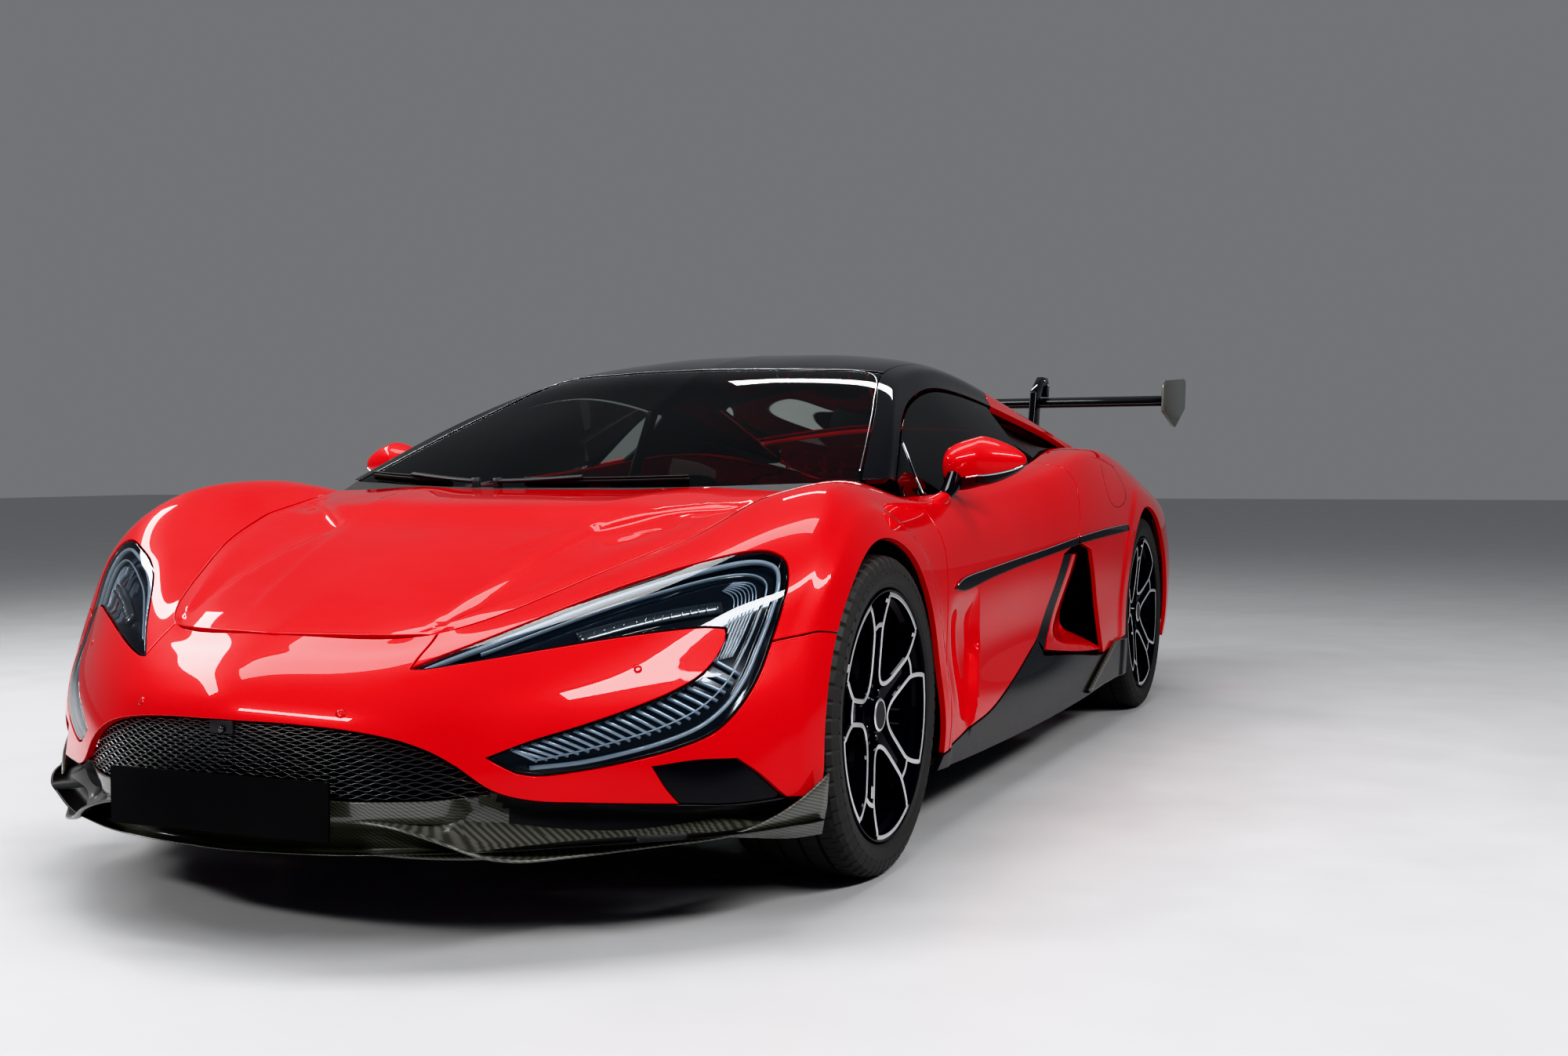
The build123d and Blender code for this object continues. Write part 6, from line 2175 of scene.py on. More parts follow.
    def build(self) -> None:
        """Makes the nose pieces."""
        piece(both_sides(self.mesh_rows()), "mouth_mesh", Body.CAR.value, ("grille",), MESH)
        back = Panel(BODY, [np.array([(0.0, 0.95), (0.0, 2.84)]), np.array(MOUTH_TOP),
                            np.array([(2.60, 1.62), MOUTH_TIP]),
                            np.array([MOUTH_TIP, (2.78, 1.02), (2.4, 0.96), (0.0, 0.95)])], sink=0.030, gap=0.0,
                     open_at=(0.0,)).mesh()
        piece(both_sides(back), "mouth_back", Body.CAR.value, (), TRIM)
        # The chin's black trim material is painted shade under the bumper's lip.
        carbon = both_sides(self.chin())
        piece(carbon, "chin_skin", Body.CAR.value, (), CARBON, TRIM)
        blade = piece(both_sides(self.splitter()), "splitter_blade", Body.CAR.value, ("front_splitter",), CARBON)
        tidy(blade)
        tidy(piece(both_sides(self.under_strip()), "splitter_underlip", Body.CAR.value, (), CARBON))
        piece(both_sides(self.inlets()), "inlet_blades", Body.CAR.value, (), GLOSS)
        discs = piece(both_sides(self.sensors()), "parking_sensors", Body.CAR.value, (), RED, TRIM)
        tidy(discs)
        y = float(BODY.points([[0.0, 2.84]])[0, 1])
        camera = box_between((-0.028, y + 0.006, 0.418), (0.028, y + 0.036, 0.446))
        lens = tube(np.array([(0.004, y + 0.008, 0.428), (0.004, y - 0.001, 0.427)]), 0.007, 3, 20, 1)
        tidy(piece(camera.joined(lens), "nose_camera", Body.CAR.value, (), TRIM, SCREEN), 0.003)


# ---- side trim and mirrors ----
STRIP_TOP = [(10.12, 3.05), (10.30, 3.20), (10.95, 3.30), (11.59, 3.37), (12.96, 3.44)]
STRIP_LOW = [(12.96, 3.32), (11.58, 3.22), (10.95, 3.12), (10.33, 2.99), (10.12, 3.05)]
STRIP_TOP_REAR = [(13.0, 3.44), (14.0, 3.47), (14.92, 3.48)]
STRIP_LOW_REAR = [(14.92, 3.36), (14.0, 3.34), (13.0, 3.32)]


@dataclass
class SideTrim:
    """Black strip with its bright edge, and the charging flap's shut line."""

    def strip(self) -> tuple:
        """Door part and quarter part of the strip.

        Returns:
            Two sets of patches.
        """
        door = Panel(BODY, [np.array(STRIP_TOP), np.array([STRIP_TOP[-1], STRIP_LOW[0]]), np.array(STRIP_LOW)],
                     sink=-0.004, gap=0.0, wall=0.006, pitch=0.012).mesh()
        door = door.joined(ribbon(BODY, [(10.16, 3.11), (10.32, 3.21), (10.95, 3.315), (11.59, 3.385), (12.95, 3.455)],
                                  0.0025, 0.0035, 0.0025, 60, 1))
        rear_end = np.array([STRIP_TOP_REAR[-1], STRIP_LOW_REAR[0]])
        front_end = np.array([STRIP_LOW_REAR[-1], STRIP_TOP_REAR[0]])
        rear = Panel(BODY, [np.array(STRIP_TOP_REAR), rear_end, np.array(STRIP_LOW_REAR), front_end],
                     sink=-0.004, gap=0.0, wall=0.006, pitch=0.012).mesh()
        rear = rear.joined(ribbon(BODY, [(13.01, 3.455), (14.0, 3.485), (14.91, 3.495)], 0.0025, 0.0035, 0.0025, 40, 1))
        return door, rear

    def flap(self) -> Parts:
        """Shut line of the charging flap."""
        path = [(14.52, 4.75), (14.30, 4.40), (14.27, 3.99), (14.45, 3.86), (14.85, 3.90), (15.10, 4.1), (15.18, 4.45),
                (15.12, 4.75)]
        return ribbon(BODY, path, 0.0022, 0.0006, -0.0003, 60)

    def build(self) -> None:
        """Makes the trim on both sides."""
        door, rear = self.strip()
        piece(door, "door_strip_left", "door_left", (), GLOSS, CHROME)
        piece(door.mirrored(), "door_strip_right", "door_right", (), GLOSS, CHROME)
        piece(both_sides(rear), "quarter_strips", Body.CAR.value, (), GLOSS, CHROME)
        piece(both_sides(self.flap()), "charging_flap_line", Body.CAR.value, (), TRIM)


@dataclass
class Mirror:
    """Door mirror: red shell over a black lower half, light strip, glass and stalk."""

    centre: tuple = (0.948, -0.552, 0.938)
    half: tuple = (0.120, 0.062, 0.0625)
    neck_foot: tuple = (0.862, -0.702, 0.822)
    neck_top: tuple = (0.884, -0.580, 0.900)

    def shell(self) -> Parts:
        """Rounded head, blunt at its inner end and drawn out to a tip.

        Returns:
            The head of the left mirror.
        """
        n, m = 34, 44
        rings = []
        for i in range(n + 1):
            t = math.pi * i / n
            u = -math.cos(t)
            x = u * (self.half[0] if u > 0 else self.half[0] - 0.020)
            r = math.sin(t) ** (0.34 if u < 0 else 0.80)
            fall = 1.0 - 0.36 * max(0.0, u) ** 1.3
            mid = self.centre[2] + 0.002 - 0.006 * max(0.0, u)
            ring = []
            for j in range(m):
                a = 2 * math.pi * j / m
                y = math.copysign(abs(math.cos(a)) ** 0.9, math.cos(a)) * r * self.half[1] * fall
                z = math.sin(a) * r * self.half[2] * fall
                under = float(ramp(np.array(-math.sin(a)), 0.62, 0.95))
                z -= under * 0.020 * r * (1 - 0.5 * (u + 1))
                ring.append((self.centre[0] + x, self.centre[1] + min(y, 0.026) + 0.1 * x, mid + z + 0.02 * min(0, u)))
            rings.append(ring)
        out = loft(np.array(rings))
        verts = out.verts[0]
        marks = []
        for k, f in enumerate(out.faces):
            c = verts[list(f)].mean(0)
            j = k % m if k < n * m else 0
            low = k < n * m and math.sin(2 * math.pi * (j + 0.5) / m) < -0.70
            marks.append(1 if low or c[1] > self.centre[1] + 0.020 + 0.1 * (c[0] - self.centre[0]) else 0)
        out.marks = marks
        return out

    def stalk(self) -> Parts:
        """Thick black neck from the door's front corner to the head, with its red foot.

        Returns:
            The neck of the left mirror, with material 0 red and 1 black.
        """
        neck = [self._neck_ring(t, 0.019 + 0.006 * t * t, 0.024 + 0.010 * abs(t - 0.4)) for t in np.linspace(0, 1, 14)]
        base = [self._neck_ring(t, w, h) for t, w, h in ((-0.30, 0.030, 0.042), (-0.05, 0.024, 0.034),
                                                         (0.22, 0.0212, 0.0275), (0.34, 0.0205, 0.0262),
                                                         (0.345, 0.017, 0.022))]
        return loft(np.array(neck), 1).joined(loft(np.array(base), 0))

    def _neck_ring(self, t: float, thick: float, wide: float) -> list:
        """Cross section of the neck at t, 0 at its foot and 1 at the head.

        Args:
            t: 0 at its foot and 1 at the head.
            thick: half its width across the car.
            wide: half its width along the car.

        Returns:
            Points of the ring.
        """
        bow = np.array([0.004, 0.0, -0.012]) * math.sin(math.pi * min(1.0, max(0.0, t)))
        c = np.array(self.neck_foot) * (1 - t) + np.array(self.neck_top) * t + bow
        return [(c[0] + thick * math.cos(a), c[1] + wide * math.sin(a) * 0.80, c[2] - wide * math.sin(a) * 0.60)
                for a in np.linspace(0, 2 * math.pi, 24, endpoint=False)]

    def light(self) -> Parts:
        """Slim indicator strip along the seam of the head.

        Returns:
            The strip of the left mirror.
        """
        path = []
        for t in np.linspace(0.0, 1.0, 12):
            u = -0.35 + 1.30 * t
            x = u * (self.half[0] if u > 0 else self.half[0] - 0.020)
            r = math.sqrt(max(0.0, 1 - u * u)) ** (0.34 if u < 0 else 0.80) * (1.0 - 0.36 * max(0.0, u) ** 1.3)
            path.append((self.centre[0] + x, self.centre[1] - 0.73 * r * self.half[1] + 0.1 * x - 0.002,
                         self.centre[2] + 0.002 - 0.006 * max(0.0, u) - 0.70 * r * self.half[2] + 0.02 * min(0, u)))
        return tube(np.array(path), 0.0032, 28, 8)

    def glass(self) -> Parts:
        """Reflecting face, rounded and slightly proud of the head's rear.

        Returns:
            The glass of the left mirror.
        """
        rows = []
        for dy, grow in ((0.0, 1.0), (0.0015, 0.97)):
            ring = []
            for a in np.linspace(0, 2 * math.pi, 40, endpoint=False):
                x = math.copysign(abs(math.cos(a)) ** 0.7, math.cos(a)) * 0.080 * grow
                z = math.copysign(abs(math.sin(a)) ** 0.7, math.sin(a)) * 0.040 * grow
                ring.append((self.centre[0] - 0.006 + x, self.centre[1] + 0.0262 + dy + 0.1 * x, self.centre[2] + z))
            rows.append(ring)
        return loft(np.array(rows))

    def build(self) -> None:
        """Makes both mirrors."""
        head = self.shell().joined(self.stalk())
        light, glass = self.light(), self.glass()
        for name, turned in (("left", Parts.joined), ("right", Parts.mirrored)):
            body = "door_" + name
            tidy(piece(turned(head), "mirror_head_" + name, body, ("mirror_" + name,), RED, GLOSS))
            tidy(piece(turned(light), "mirror_light_" + name, body, (), CHROME))
            tidy(piece(turned(glass), "mirror_glass_" + name, body, (), CHROME))


# ---- cabin ----
@dataclass
class Seat:
    """Bucket seat with bolsters, head rest and red seams."""

    name: str
    side: Side
    middle: float = 0.370
    half: float = 0.246

    def _spine(self) -> np.ndarray:
        """Centre line of the sitting surface.

        Returns:
            (y, z, thickness) for each point.
        """
        points = [(-0.322, 0.262, 0.060), (-0.325, 0.300, 0.10), (-0.26, 0.322, 0.13), (-0.10, 0.300, 0.14),
                  (0.02, 0.315, 0.15), (0.10, 0.390, 0.13), (0.18, 0.560, 0.10), (0.26, 0.730, 0.085),
                  (0.325, 0.855, 0.070), (0.352, 0.893, 0.045)]
        return spline(np.array(points), 44)

    def _section(self, t: float, count: int = 36) -> list:
        """Closed outline across the seat at t along the spine: (x, height above the spine, 0..1 depth).

        Args:
            t: place along the spine, 0 to 1.
            count: points wanted.

        Returns:
            (x, height above the spine, depth from 0 to 1) for each point.
        """
        width = self.half * (0.88 + 0.12 * math.sin(math.pi * min(1.0, t * 1.35)))
        if t > 0.72:
            width *= 1.0 - 0.52 * float(ramp(np.array(t), 0.74, 0.93))
        bolster = 0.062 * float(ramp(np.array(t), 0.03, 0.22)) * (1 - float(ramp(np.array(t), 0.70, 0.86)))
        out = []
        half = count // 2
        for j in range(half):
            u = -1 + 2 * j / (half - 1)
            shape = bolster * math.exp(-(((abs(u) - 0.80) / 0.17) ** 2)) + 0.012 * (1 - u * u)
            drop = 0.035 * max(0.0, (abs(u) - 0.88) / 0.12) ** 2
            groove = 0.007 * math.exp(-(((abs(u) - 0.60) / 0.03) ** 2))
            out.append((u * width, shape - drop - groove, 0.0))
        for j in range(half):
            u = 1 - 2 * j / (half - 1)
            out.append((u * width * 0.94, 0.0, 1.0 - 0.30 * abs(u) ** 3))
        return out

    def _at(self, spine: np.ndarray, i: int, x: float, up: float, deep: float) -> tuple:
        """Point of the seat at section i.

        Args:
            spine: points of the spine.
            i: number of the section.
            x: across from the middle.
            up: height above the spine.
            deep: depth from 0 to 1.

        Returns:
            The point in space.
        """
        j = min(max(i, 1), len(spine) - 2)
        ahead = spine[j + 1, :2] - spine[j - 1, :2]
        ahead /= np.linalg.norm(ahead)
        n = np.array([-ahead[1], ahead[0]])
        offset = up - deep * spine[i, 2]
        return (self.side.value * self.middle + x, spine[i, 0] + n[0] * offset, spine[i, 1] + n[1] * offset)

    def build(self) -> None:
        """Makes the seat and its seams."""
        spine = self._spine()
        count = len(spine)
        rings = np.array([[self._at(spine, i, *p) for p in self._section(i / (count - 1))] for i in range(count)])
        nodes = ("seats",) if self.side is Side.LEFT else ()
        body = piece(loft(rings), "seat_" + self.name, Body.CAR.value, nodes, LEATHER)
        tidy(body, subdivide=1)
        seams = Parts()
        for u in (-0.60, 0.60, -0.93, 0.93):
            path = []
            for i in range(4, count - 5):
                section = self._section(i / (count - 1), 72)
                x, up, _ = section[int(round((u + 1) / 2 * 35))]
                path.append(self._at(spine, i, x, up + (0.0045 if abs(u) < 0.7 else 0.002), 0.0))
            seams = seams.joined(tube(np.array(path), 0.0022, 70, 6))
        for i in (9, 12, 15, 25, 28, 31):
            path = [self._at(spine, i, x * 0.58, up + 0.0015, 0.0) for x, up, _ in self._section(i / (count - 1))[3:15]]
            seams = seams.joined(tube(np.array(path), 0.0014, 16, 5))
        tidy(piece(seams, "seat_seams_" + self.name, Body.CAR.value, (), STITCH))


@dataclass
class Cabin:
    """Dashboard, console, screens and steering wheel."""

    half: float = 0.665
    wheel_centre: tuple = (0.370, -0.430, 0.690)
    wheel_back: tuple = (0.0, -0.93, -0.37)

    def _wheel_point(self, u: float, v: float, d: float) -> np.ndarray:
        """Point u to the side, v up and d behind the steering wheel's middle."""
        back = np.array(self.wheel_back) / np.linalg.norm(self.wheel_back)
        return np.array(self.wheel_centre) + [u, 0.0, 0.0] + v * np.cross(back, [1.0, 0.0, 0.0]) + back * d

    def _profile(self, x: float) -> list:
        """Outline of the dashboard at x.

        Args:
            x: distance from the middle of the car.

        Returns:
            (y, z) corners, front top first.
        """
        cowl = 0.030 * math.exp(-(((x - 0.37) / 0.20) ** 2))
        hollow = 0.05 * math.exp(-(((x + 0.37) / 0.25) ** 2))
        return [(-0.985, 0.815), (-0.90, 0.826), (-0.78, 0.822 + cowl * 0.5), (-0.66, 0.806 + cowl),
                (-0.600, 0.795 + cowl), (-0.572, 0.775 + cowl * 0.6), (-0.575, 0.745), (-0.600, 0.725),
                (-0.590 + hollow * 0.2, 0.690), (-0.568, 0.650), (-0.575, 0.615), (-0.620, 0.575),
                (-0.75, 0.562), (-0.985, 0.562)]

    def dash(self) -> Parts:
        """Dashboard across the cab, suede above and leather below.

        Returns:
            The dashboard.
        """
        xs = np.linspace(-self.half, self.half, 60)
        rings = []
        for x in xs:
            squeeze = 1.0 - 0.12 * ramp(np.array(abs(x)), 0.60, self.half)
            profile = spline(np.array(self._profile(x) + [self._profile(x)[0]]), 49)[:-1]
            rings.append([(x, y, 0.70 + (z - 0.70) * float(squeeze)) for y, z in profile])
        out = loft(np.array(rings))
        verts = out.verts[0]
        out.marks = [1 if verts[list(f)].mean(0)[2] < 0.742 and len(f) == 4 else 0 for f in out.faces]
        return out

    def screens(self) -> Parts:
        """Driver's display, centre screen and passenger strip.

        Returns:
            The screens.
        """
        parts = Parts()
        for x0, x1, z0, z1, y in ((0.22, 0.52, 0.742, 0.806, -0.583), (-0.50, -0.20, 0.715, 0.755, -0.590)):
            parts = parts.joined(self._slab(x0, x1, z0, z1, y))
        outline = [(-0.13, 0.735), (0.13, 0.735), (0.105, 0.520), (-0.105, 0.520)]
        front = [(x, -0.545 + (0.735 - z) * 0.30, z) for x, z in outline]
        back = [(x, y - 0.016, z - 0.003) for x, y, z in front]
        return parts.joined(loft(np.array([front, back])))

    def _slab(self, x0: float, x1: float, z0: float, z1: float, y: float) -> Parts:
        """Thin upright slab."""
        front = [(x0, y, z0), (x1, y, z0), (x1, y - 0.01, z1), (x0, y - 0.01, z1)]
        return loft(np.array([front, [(a, b - 0.012, c) for a, b, c in front]]))

    def console(self) -> Parts:
        """Console between the seats, running up into the dashboard.

        Returns:
            The console.
        """
        spine = spline(np.array([(-0.60, 0.560), (-0.50, 0.500), (-0.38, 0.430), (-0.20, 0.395), (0.10, 0.385),
                                 (0.34, 0.380)]), 30)
        rings = []
        for y, z in spine:
            rings.append([(-0.105, y, 0.335), (-0.102, y, z - 0.02), (-0.088, y, z - 0.004), (-0.05, y, z - 0.010),
                          (0.05, y, z - 0.010), (0.088, y, z - 0.004), (0.102, y, z - 0.02), (0.105, y, 0.335)])
        return loft(np.array(rings))

    def wheel(self) -> Parts:
        """Flat-bottomed rim with thumb grips, three spokes and the boss.

        Returns:
            The steering wheel, with material 0 for the rim and 1 for the rest.
        """
        at = self._wheel_point
        rim = Parts()
        n, m, rings = 72, 14, []
        for i in range(n):
            a = 2 * math.pi * i / n
            r = 0.165 if math.sin(a) > -0.62 else 0.165 * 0.62 / -math.sin(a)
            thick = 0.0145 + 0.0025 * math.exp(-((abs(math.cos(a)) - 0.92) / 0.06) ** 2)
            ring = []
            for j in range(m):
                b = 2 * math.pi * j / m
                ring.append(at((r + thick * math.cos(b)) * math.cos(a), (r + thick * math.cos(b)) * math.sin(a),
                               thick * 0.9 * math.sin(b)))
            rings.append(ring)
        faces = [(i * m + k, ((i + 1) % n) * m + k, ((i + 1) % n) * m + (k + 1) % m, i * m + (k + 1) % m)
                 for i in range(n) for k in range(m)]
        rim.add(np.array(rings).reshape(-1, 3), faces)
        for angle, half in ((8, 0.019), (172, 0.019), (-90, 0.016)):
            a = math.radians(angle)
            ahead, side = np.array([math.cos(a), math.sin(a)]), np.array([-math.sin(a), math.cos(a)])
            end = 0.155 if angle != -90 else 0.100
            rows = []
            for t in np.linspace(0, 1, 8):
                c = ahead * (0.035 + (end - 0.035) * t)
                w = half * (1.35 - 0.6 * math.sin(math.pi * t * 0.9))
                d = 0.016 * (1 - t)
                rows.append([at(*(c + side * w), d - 0.004), at(*(c + side * w * 0.8), d - 0.010),
                             at(*(c - side * w * 0.8), d - 0.010), at(*(c - side * w), d - 0.004),
                             at(*(c - side * w * 0.8), d + 0.008), at(*(c + side * w * 0.8), d + 0.008)])
            rim = rim.joined(loft(np.array(rows), 1))
        profile = [(0.0, -0.012), (0.030, -0.011), (0.044, -0.006), (0.052, 0.004), (0.050, 0.022), (0.030, 0.040),
                   (0.024, 0.150)]
        rows = [[at(r * math.cos(b), r * math.sin(b), d) for b in np.linspace(0, 2 * math.pi, 32, endpoint=False)]
                for r, d in profile]
        return rim.joined(loft(np.array(rows), 1, capped=True))

    def build(self) -> None:
        """Makes the cabin pieces."""
        tidy(piece(self.dash(), "dash_top", Body.CAR.value, ("dashboard",), SUEDE, LEATHER))
        tidy(piece(self.screens(), "dash_screens", Body.CAR.value, (), SCREEN), 0.002)
        tidy(piece(self.console(), "centre_console", Body.CAR.value, (), LEATHER), 0.004)
        tidy(piece(self.wheel(), "steering_rim", Body.CAR.value, ("steering_wheel",), LEATHER, GLOSS))
        for name, side in (("left", Side.LEFT), ("right", Side.RIGHT)):
            Seat(name, side).build()


# ---- doors inside, glazing trim and wipers ----
@dataclass
class DoorTrim:
    """Inner panel of a door, filling the space behind its skin."""

    shell: Shell

    def panel(self) -> Parts:
        """Closed inner panel with its sides.

        Returns:
            The left panel.
        """
        s = self.shell
        top = np.array([(t, 6.55) for t in np.linspace(s.door_rear[-1, 0] - 0.05, s.door_front[0, 0] + 0.05, 12)])
        rear = s.door_rear[:-1]
        rear = np.concatenate([rear[rear[:, 1] < 6.4], top[:1]])
        front = s.door_front[s.door_front[:, 1] < 6.4]
        front = np.concatenate([top[-1:], front])
        outline = [front, s.door_low, s.door_strip, rear, top]
        face = Panel(BODY, outline, gap=0.020, sink=0.016, wall=0.102, pitch=0.05).mesh()
        back = Panel(BODY, outline, gap=0.020, sink=0.118, wall=0.001, pitch=0.03, mark=1, edge_mark=1)
        back = back.mesh().inverted()
        return face.joined(back)

    def rest(self) -> Parts:
        """Arm rest along the inside, with a grip.

        Returns:
            The left arm rest.
        """
        path = side_path([(-0.62, 0.56), (-0.45, 0.60), (-0.15, 0.61), (0.10, 0.60)], DOOR_WINDOW)
        p, n = BODY.points(spline(path, 24)), BODY.normals(spline(path, 24))
        rings = []
        for i, (q, m) in enumerate(zip(p, n)):
            t = i / 23.0
            grow = 0.35 + 0.65 * math.sin(math.pi * min(1.0, t * 1.15 + 0.06)) ** 0.6
            inward = -m * [1, 0, 0] / max(abs(m[0]), 0.2)
            base = q + inward * 0.112
            rings.append([base + [0, 0, 0.030 * grow], base + inward * 0.030 * grow + [0, 0, 0.030 * grow],
                          base + inward * 0.046 * grow + [0, 0, 0.014 * grow],
                          base + inward * 0.038 * grow - [0, 0, 0.020 * grow], base - [0, 0, 0.034 * grow]])
        return loft(np.array(rings))

    def build(self) -> None:
        """Makes both door trims."""
        panel, rest = self.panel(), self.rest()
        for name, turned in (("left", Parts.joined), ("right", Parts.mirrored)):
            piece(turned(panel), "door_trim_" + name, "door_" + name, (), TRIM, LEATHER)
            tidy(piece(turned(rest), "door_rest_" + name, "door_" + name, (), LEATHER), 0.004)


@dataclass
class Glazing:
    """Bright lines round the glass, quarter-light divider and wipers."""

    def lines(self) -> Parts:
        """Fine bright line along the screen's edge and the roof's edge.

        Returns:
            The lines on the left.
        """
        path = [(0.25, 1.97), (1.0, 1.97), (2.0, 1.97), (2.75, 1.95), (2.95, 1.75), (2.97, 1.2), (2.97, 0.0)]
        parts = ribbon(CAB, path, 0.0030, 0.0012, -0.001, 90)
        return both_sides(parts)

    def divider(self) -> Parts:
        """Upright line between the quarter light and the main side glass."""
        return ribbon(CAB, [(1.35, 3.10), (1.02, 3.50), (0.86, 3.97)], 0.0050, 0.0022, -0.0035, 24)

    def wipers(self) -> Parts:
        """Two arms with their blades at the foot of the screen.

        Returns:
            Both wipers.
        """
        parts = Parts()
        for blade, arm in (([(0.16, -1.86), (0.12, -1.5), (0.10, -1.05)], [(0.02, -0.75), (0.05, -1.0), (0.12, -1.40)]),
                           ([(0.10, -0.35), (0.10, 0.25), (0.13, 0.95)], [(0.02, -0.55), (0.04, -0.25), (0.10, 0.15)])):
            parts = parts.joined(ribbon(CAB, blade, 0.008, 0.010, -0.002, 40),
                                 ribbon(CAB, blade, 0.003, 0.006, 0.008, 40), ribbon(CAB, arm, 0.014, 0.007, 0.012, 24))
            hub = CAB.points([arm[0]])[0]
            parts = parts.joined(tube(np.array([hub + [0, 0, -0.01], hub + [0, -0.002, 0.022]]), 0.012, 4, 16))
        return parts

    def build(self) -> None:
        """Makes the glazing trim."""
        piece(self.lines(), "screen_lines", Body.CAR.value, (), CHROME)
        tidy(piece(self.wipers(), "wipers", Body.CAR.value, (), TRIM))
        divider = self.divider()
        piece(divider, "glass_divider_left", "door_left", (), CHROME)
        piece(divider.mirrored(), "glass_divider_right", "door_right", (), CHROME)


# ---- brakes ----
@dataclass
class Brake(Corner):
    """Drilled disc with its bell, and the red caliper on the upright."""

    def disc(self) -> Parts:
        """Ventilated disc: two cheeks with a slot between, and drilled holes shown as dark dimples of painted shade in
        place of real holes.

        Returns:
            The disc, with material 1 for the holes' painted shade.
        """
        profile = [(0.012, 0.030), (0.012, 0.090), (0.004, 0.104), (0.0005, 0.108), (0.0005, 0.196), (-0.001, 0.1975),
                   (-0.007, 0.1975), (-0.009, 0.190), (-0.011, 0.190), (-0.013, 0.1975), (-0.0185, 0.1975),
                   (-0.020, 0.196), (-0.020, 0.108), (-0.020, 0.030)]
        parts = revolve(profile, 120)
        # Dark discs on the face stand in for the drilled holes: painted shade of their depth.
        for i in range(24):
            for j, r in enumerate((0.122, 0.145, 0.168, 0.184)):
                a = 2 * math.pi * (i + j * 0.28) / 24
                ring = [(0.0009, r * math.cos(a) + 0.0032 * math.cos(b), r * math.sin(a) + 0.0032 * math.sin(b))
                        for b in np.linspace(0, 2 * math.pi, 8, endpoint=False)]
                parts.add(np.array(ring), [tuple(range(8))], None, 1)
        return self.placed(parts)

    def caliper(self) -> Parts:
        """Caliper body over the disc, with ribs on its outer face.

        Returns:
            The caliper.
        """
        sign = -1.0 if self._front() else 1.0
        rows = []
        for t in np.linspace(-26, 26, 18):
            a = math.radians(t)
            end = 1.0 - 0.35 * (abs(t) / 26.0) ** 4
            lump = 0.006 * math.exp(-(((abs(t) - 12) / 5.0) ** 2))
            outer = 0.243 - 0.012 * (1 - end)
            section = [(0.043 * end + lump, 0.150), (0.043 * end + lump, 0.212), (0.034 * end, 0.232), (0.018, outer),
                       (-0.022, outer), (-0.044, 0.232), (-0.046, 0.150), (-0.027, 0.150), (-0.027, 0.206),
                       (0.021, 0.206), (0.021, 0.150)]
            rows.append([(x, sign * r * math.cos(a), r * math.sin(a)) for x, r in section])
        return self.placed(loft(np.array(rows)))

    def _front(self) -> bool:
        """Whether this is a front corner."""
        return self.name.startswith("front")

    def build(self) -> None:
        """Makes disc and caliper."""
        # The disc's black trim dimples are painted shade in place of the drilled holes.
        tidy(piece(self.disc(), "disc_" + self.name, "wheel_" + self.name, ("brake_disc_" + self.name,), IRON, TRIM))
        body = "knuckle_" + self.name.split("_")[1] if self._front() else Body.CAR.value
        tidy(piece(self.caliper(), "caliper_" + self.name, body, (), CALIPER), 0.003)


# ---- side intake ----
@dataclass
class Intake:
    """Painted ramp that falls into the intake behind each door."""

    def ramp_panel(self) -> Parts:
        """Left ramp, flush at its front and low edges and deep at its open edge.

        Returns:
            The ramp.
        """
        window = (11.5, 14.6, 0, 7)
        front = side_path([(0.392, 0.634), (0.257, 0.506), (0.112, 0.357)], window)
        low = side_path([(0.112, 0.357), (0.435, 0.318), (0.780, 0.290)], window)
        rim = side_path([(0.780, 0.290), (0.637, 0.350), (0.520, 0.385), (0.468, 0.425), (0.462, 0.52),
                         (0.468, 0.634)], window)
        top = np.array([tuple(rim[-1]), tuple(front[0])])
        low[0], rim[0] = front[-1], low[-1]
        parts = Panel(BODY, [front, low, rim, top], sink=0.006, gap=0.0, wall=0.03, pitch=0.014).mesh()
        for i, v in enumerate(parts.verts):
            start = np.interp(v[:, 2], [0.285, 0.357, 0.634], [0.06, 0.112, 0.392])
            floor = np.interp(v[:, 1], [0.112, 0.780], [0.355, 0.288])
            deep = 0.060 * ramp(v[:, 1] - start, 0.0, 0.34) * ramp(v[:, 2] - floor, 0.0, 0.07)
            parts.verts[i] = v - np.stack([deep, deep * 0, deep * 0], 1)
            parts.normals[i] = np.full_like(v, np.nan)
        return parts

    def fin(self) -> Parts:
        """Raised rear end of the skirt with its slanted leading edge.

        Returns:
            The fin.
        """
        window = (11.5, 15.2, 0, 4)
        lead = side_path([(0.557, 0.172), (0.70, 0.222), (0.92, 0.301)], window)
        top = side_path([(0.92, 0.301), (1.00, 0.306), (1.066, 0.304)], window)
        rear = side_path([(1.066, 0.304), (1.072, 0.24), (1.075, 0.172)], window)
        low = np.array([tuple(rear[-1]), tuple(lead[0])])
        panel = Panel(BODY, [lead, top, rear, low], sink=-0.012, gap=0.0, wall=0.014, roll=0.003, pitch=0.014,
                      edge_mark=1).mesh()
        return panel.joined(ribbon(BODY, [tuple(q) for q in lead], 0.012, 0.0135, 0.0, 30, 1))

    def build(self) -> None:
        """Makes both ramps and both fins."""
        piece(both_sides(self.ramp_panel()), "intake_ramps", Body.CAR.value, (), RED)
        piece(both_sides(self.fin()), "skirt_fins", Body.CAR.value, (), DARK_CARBON, CARBON)


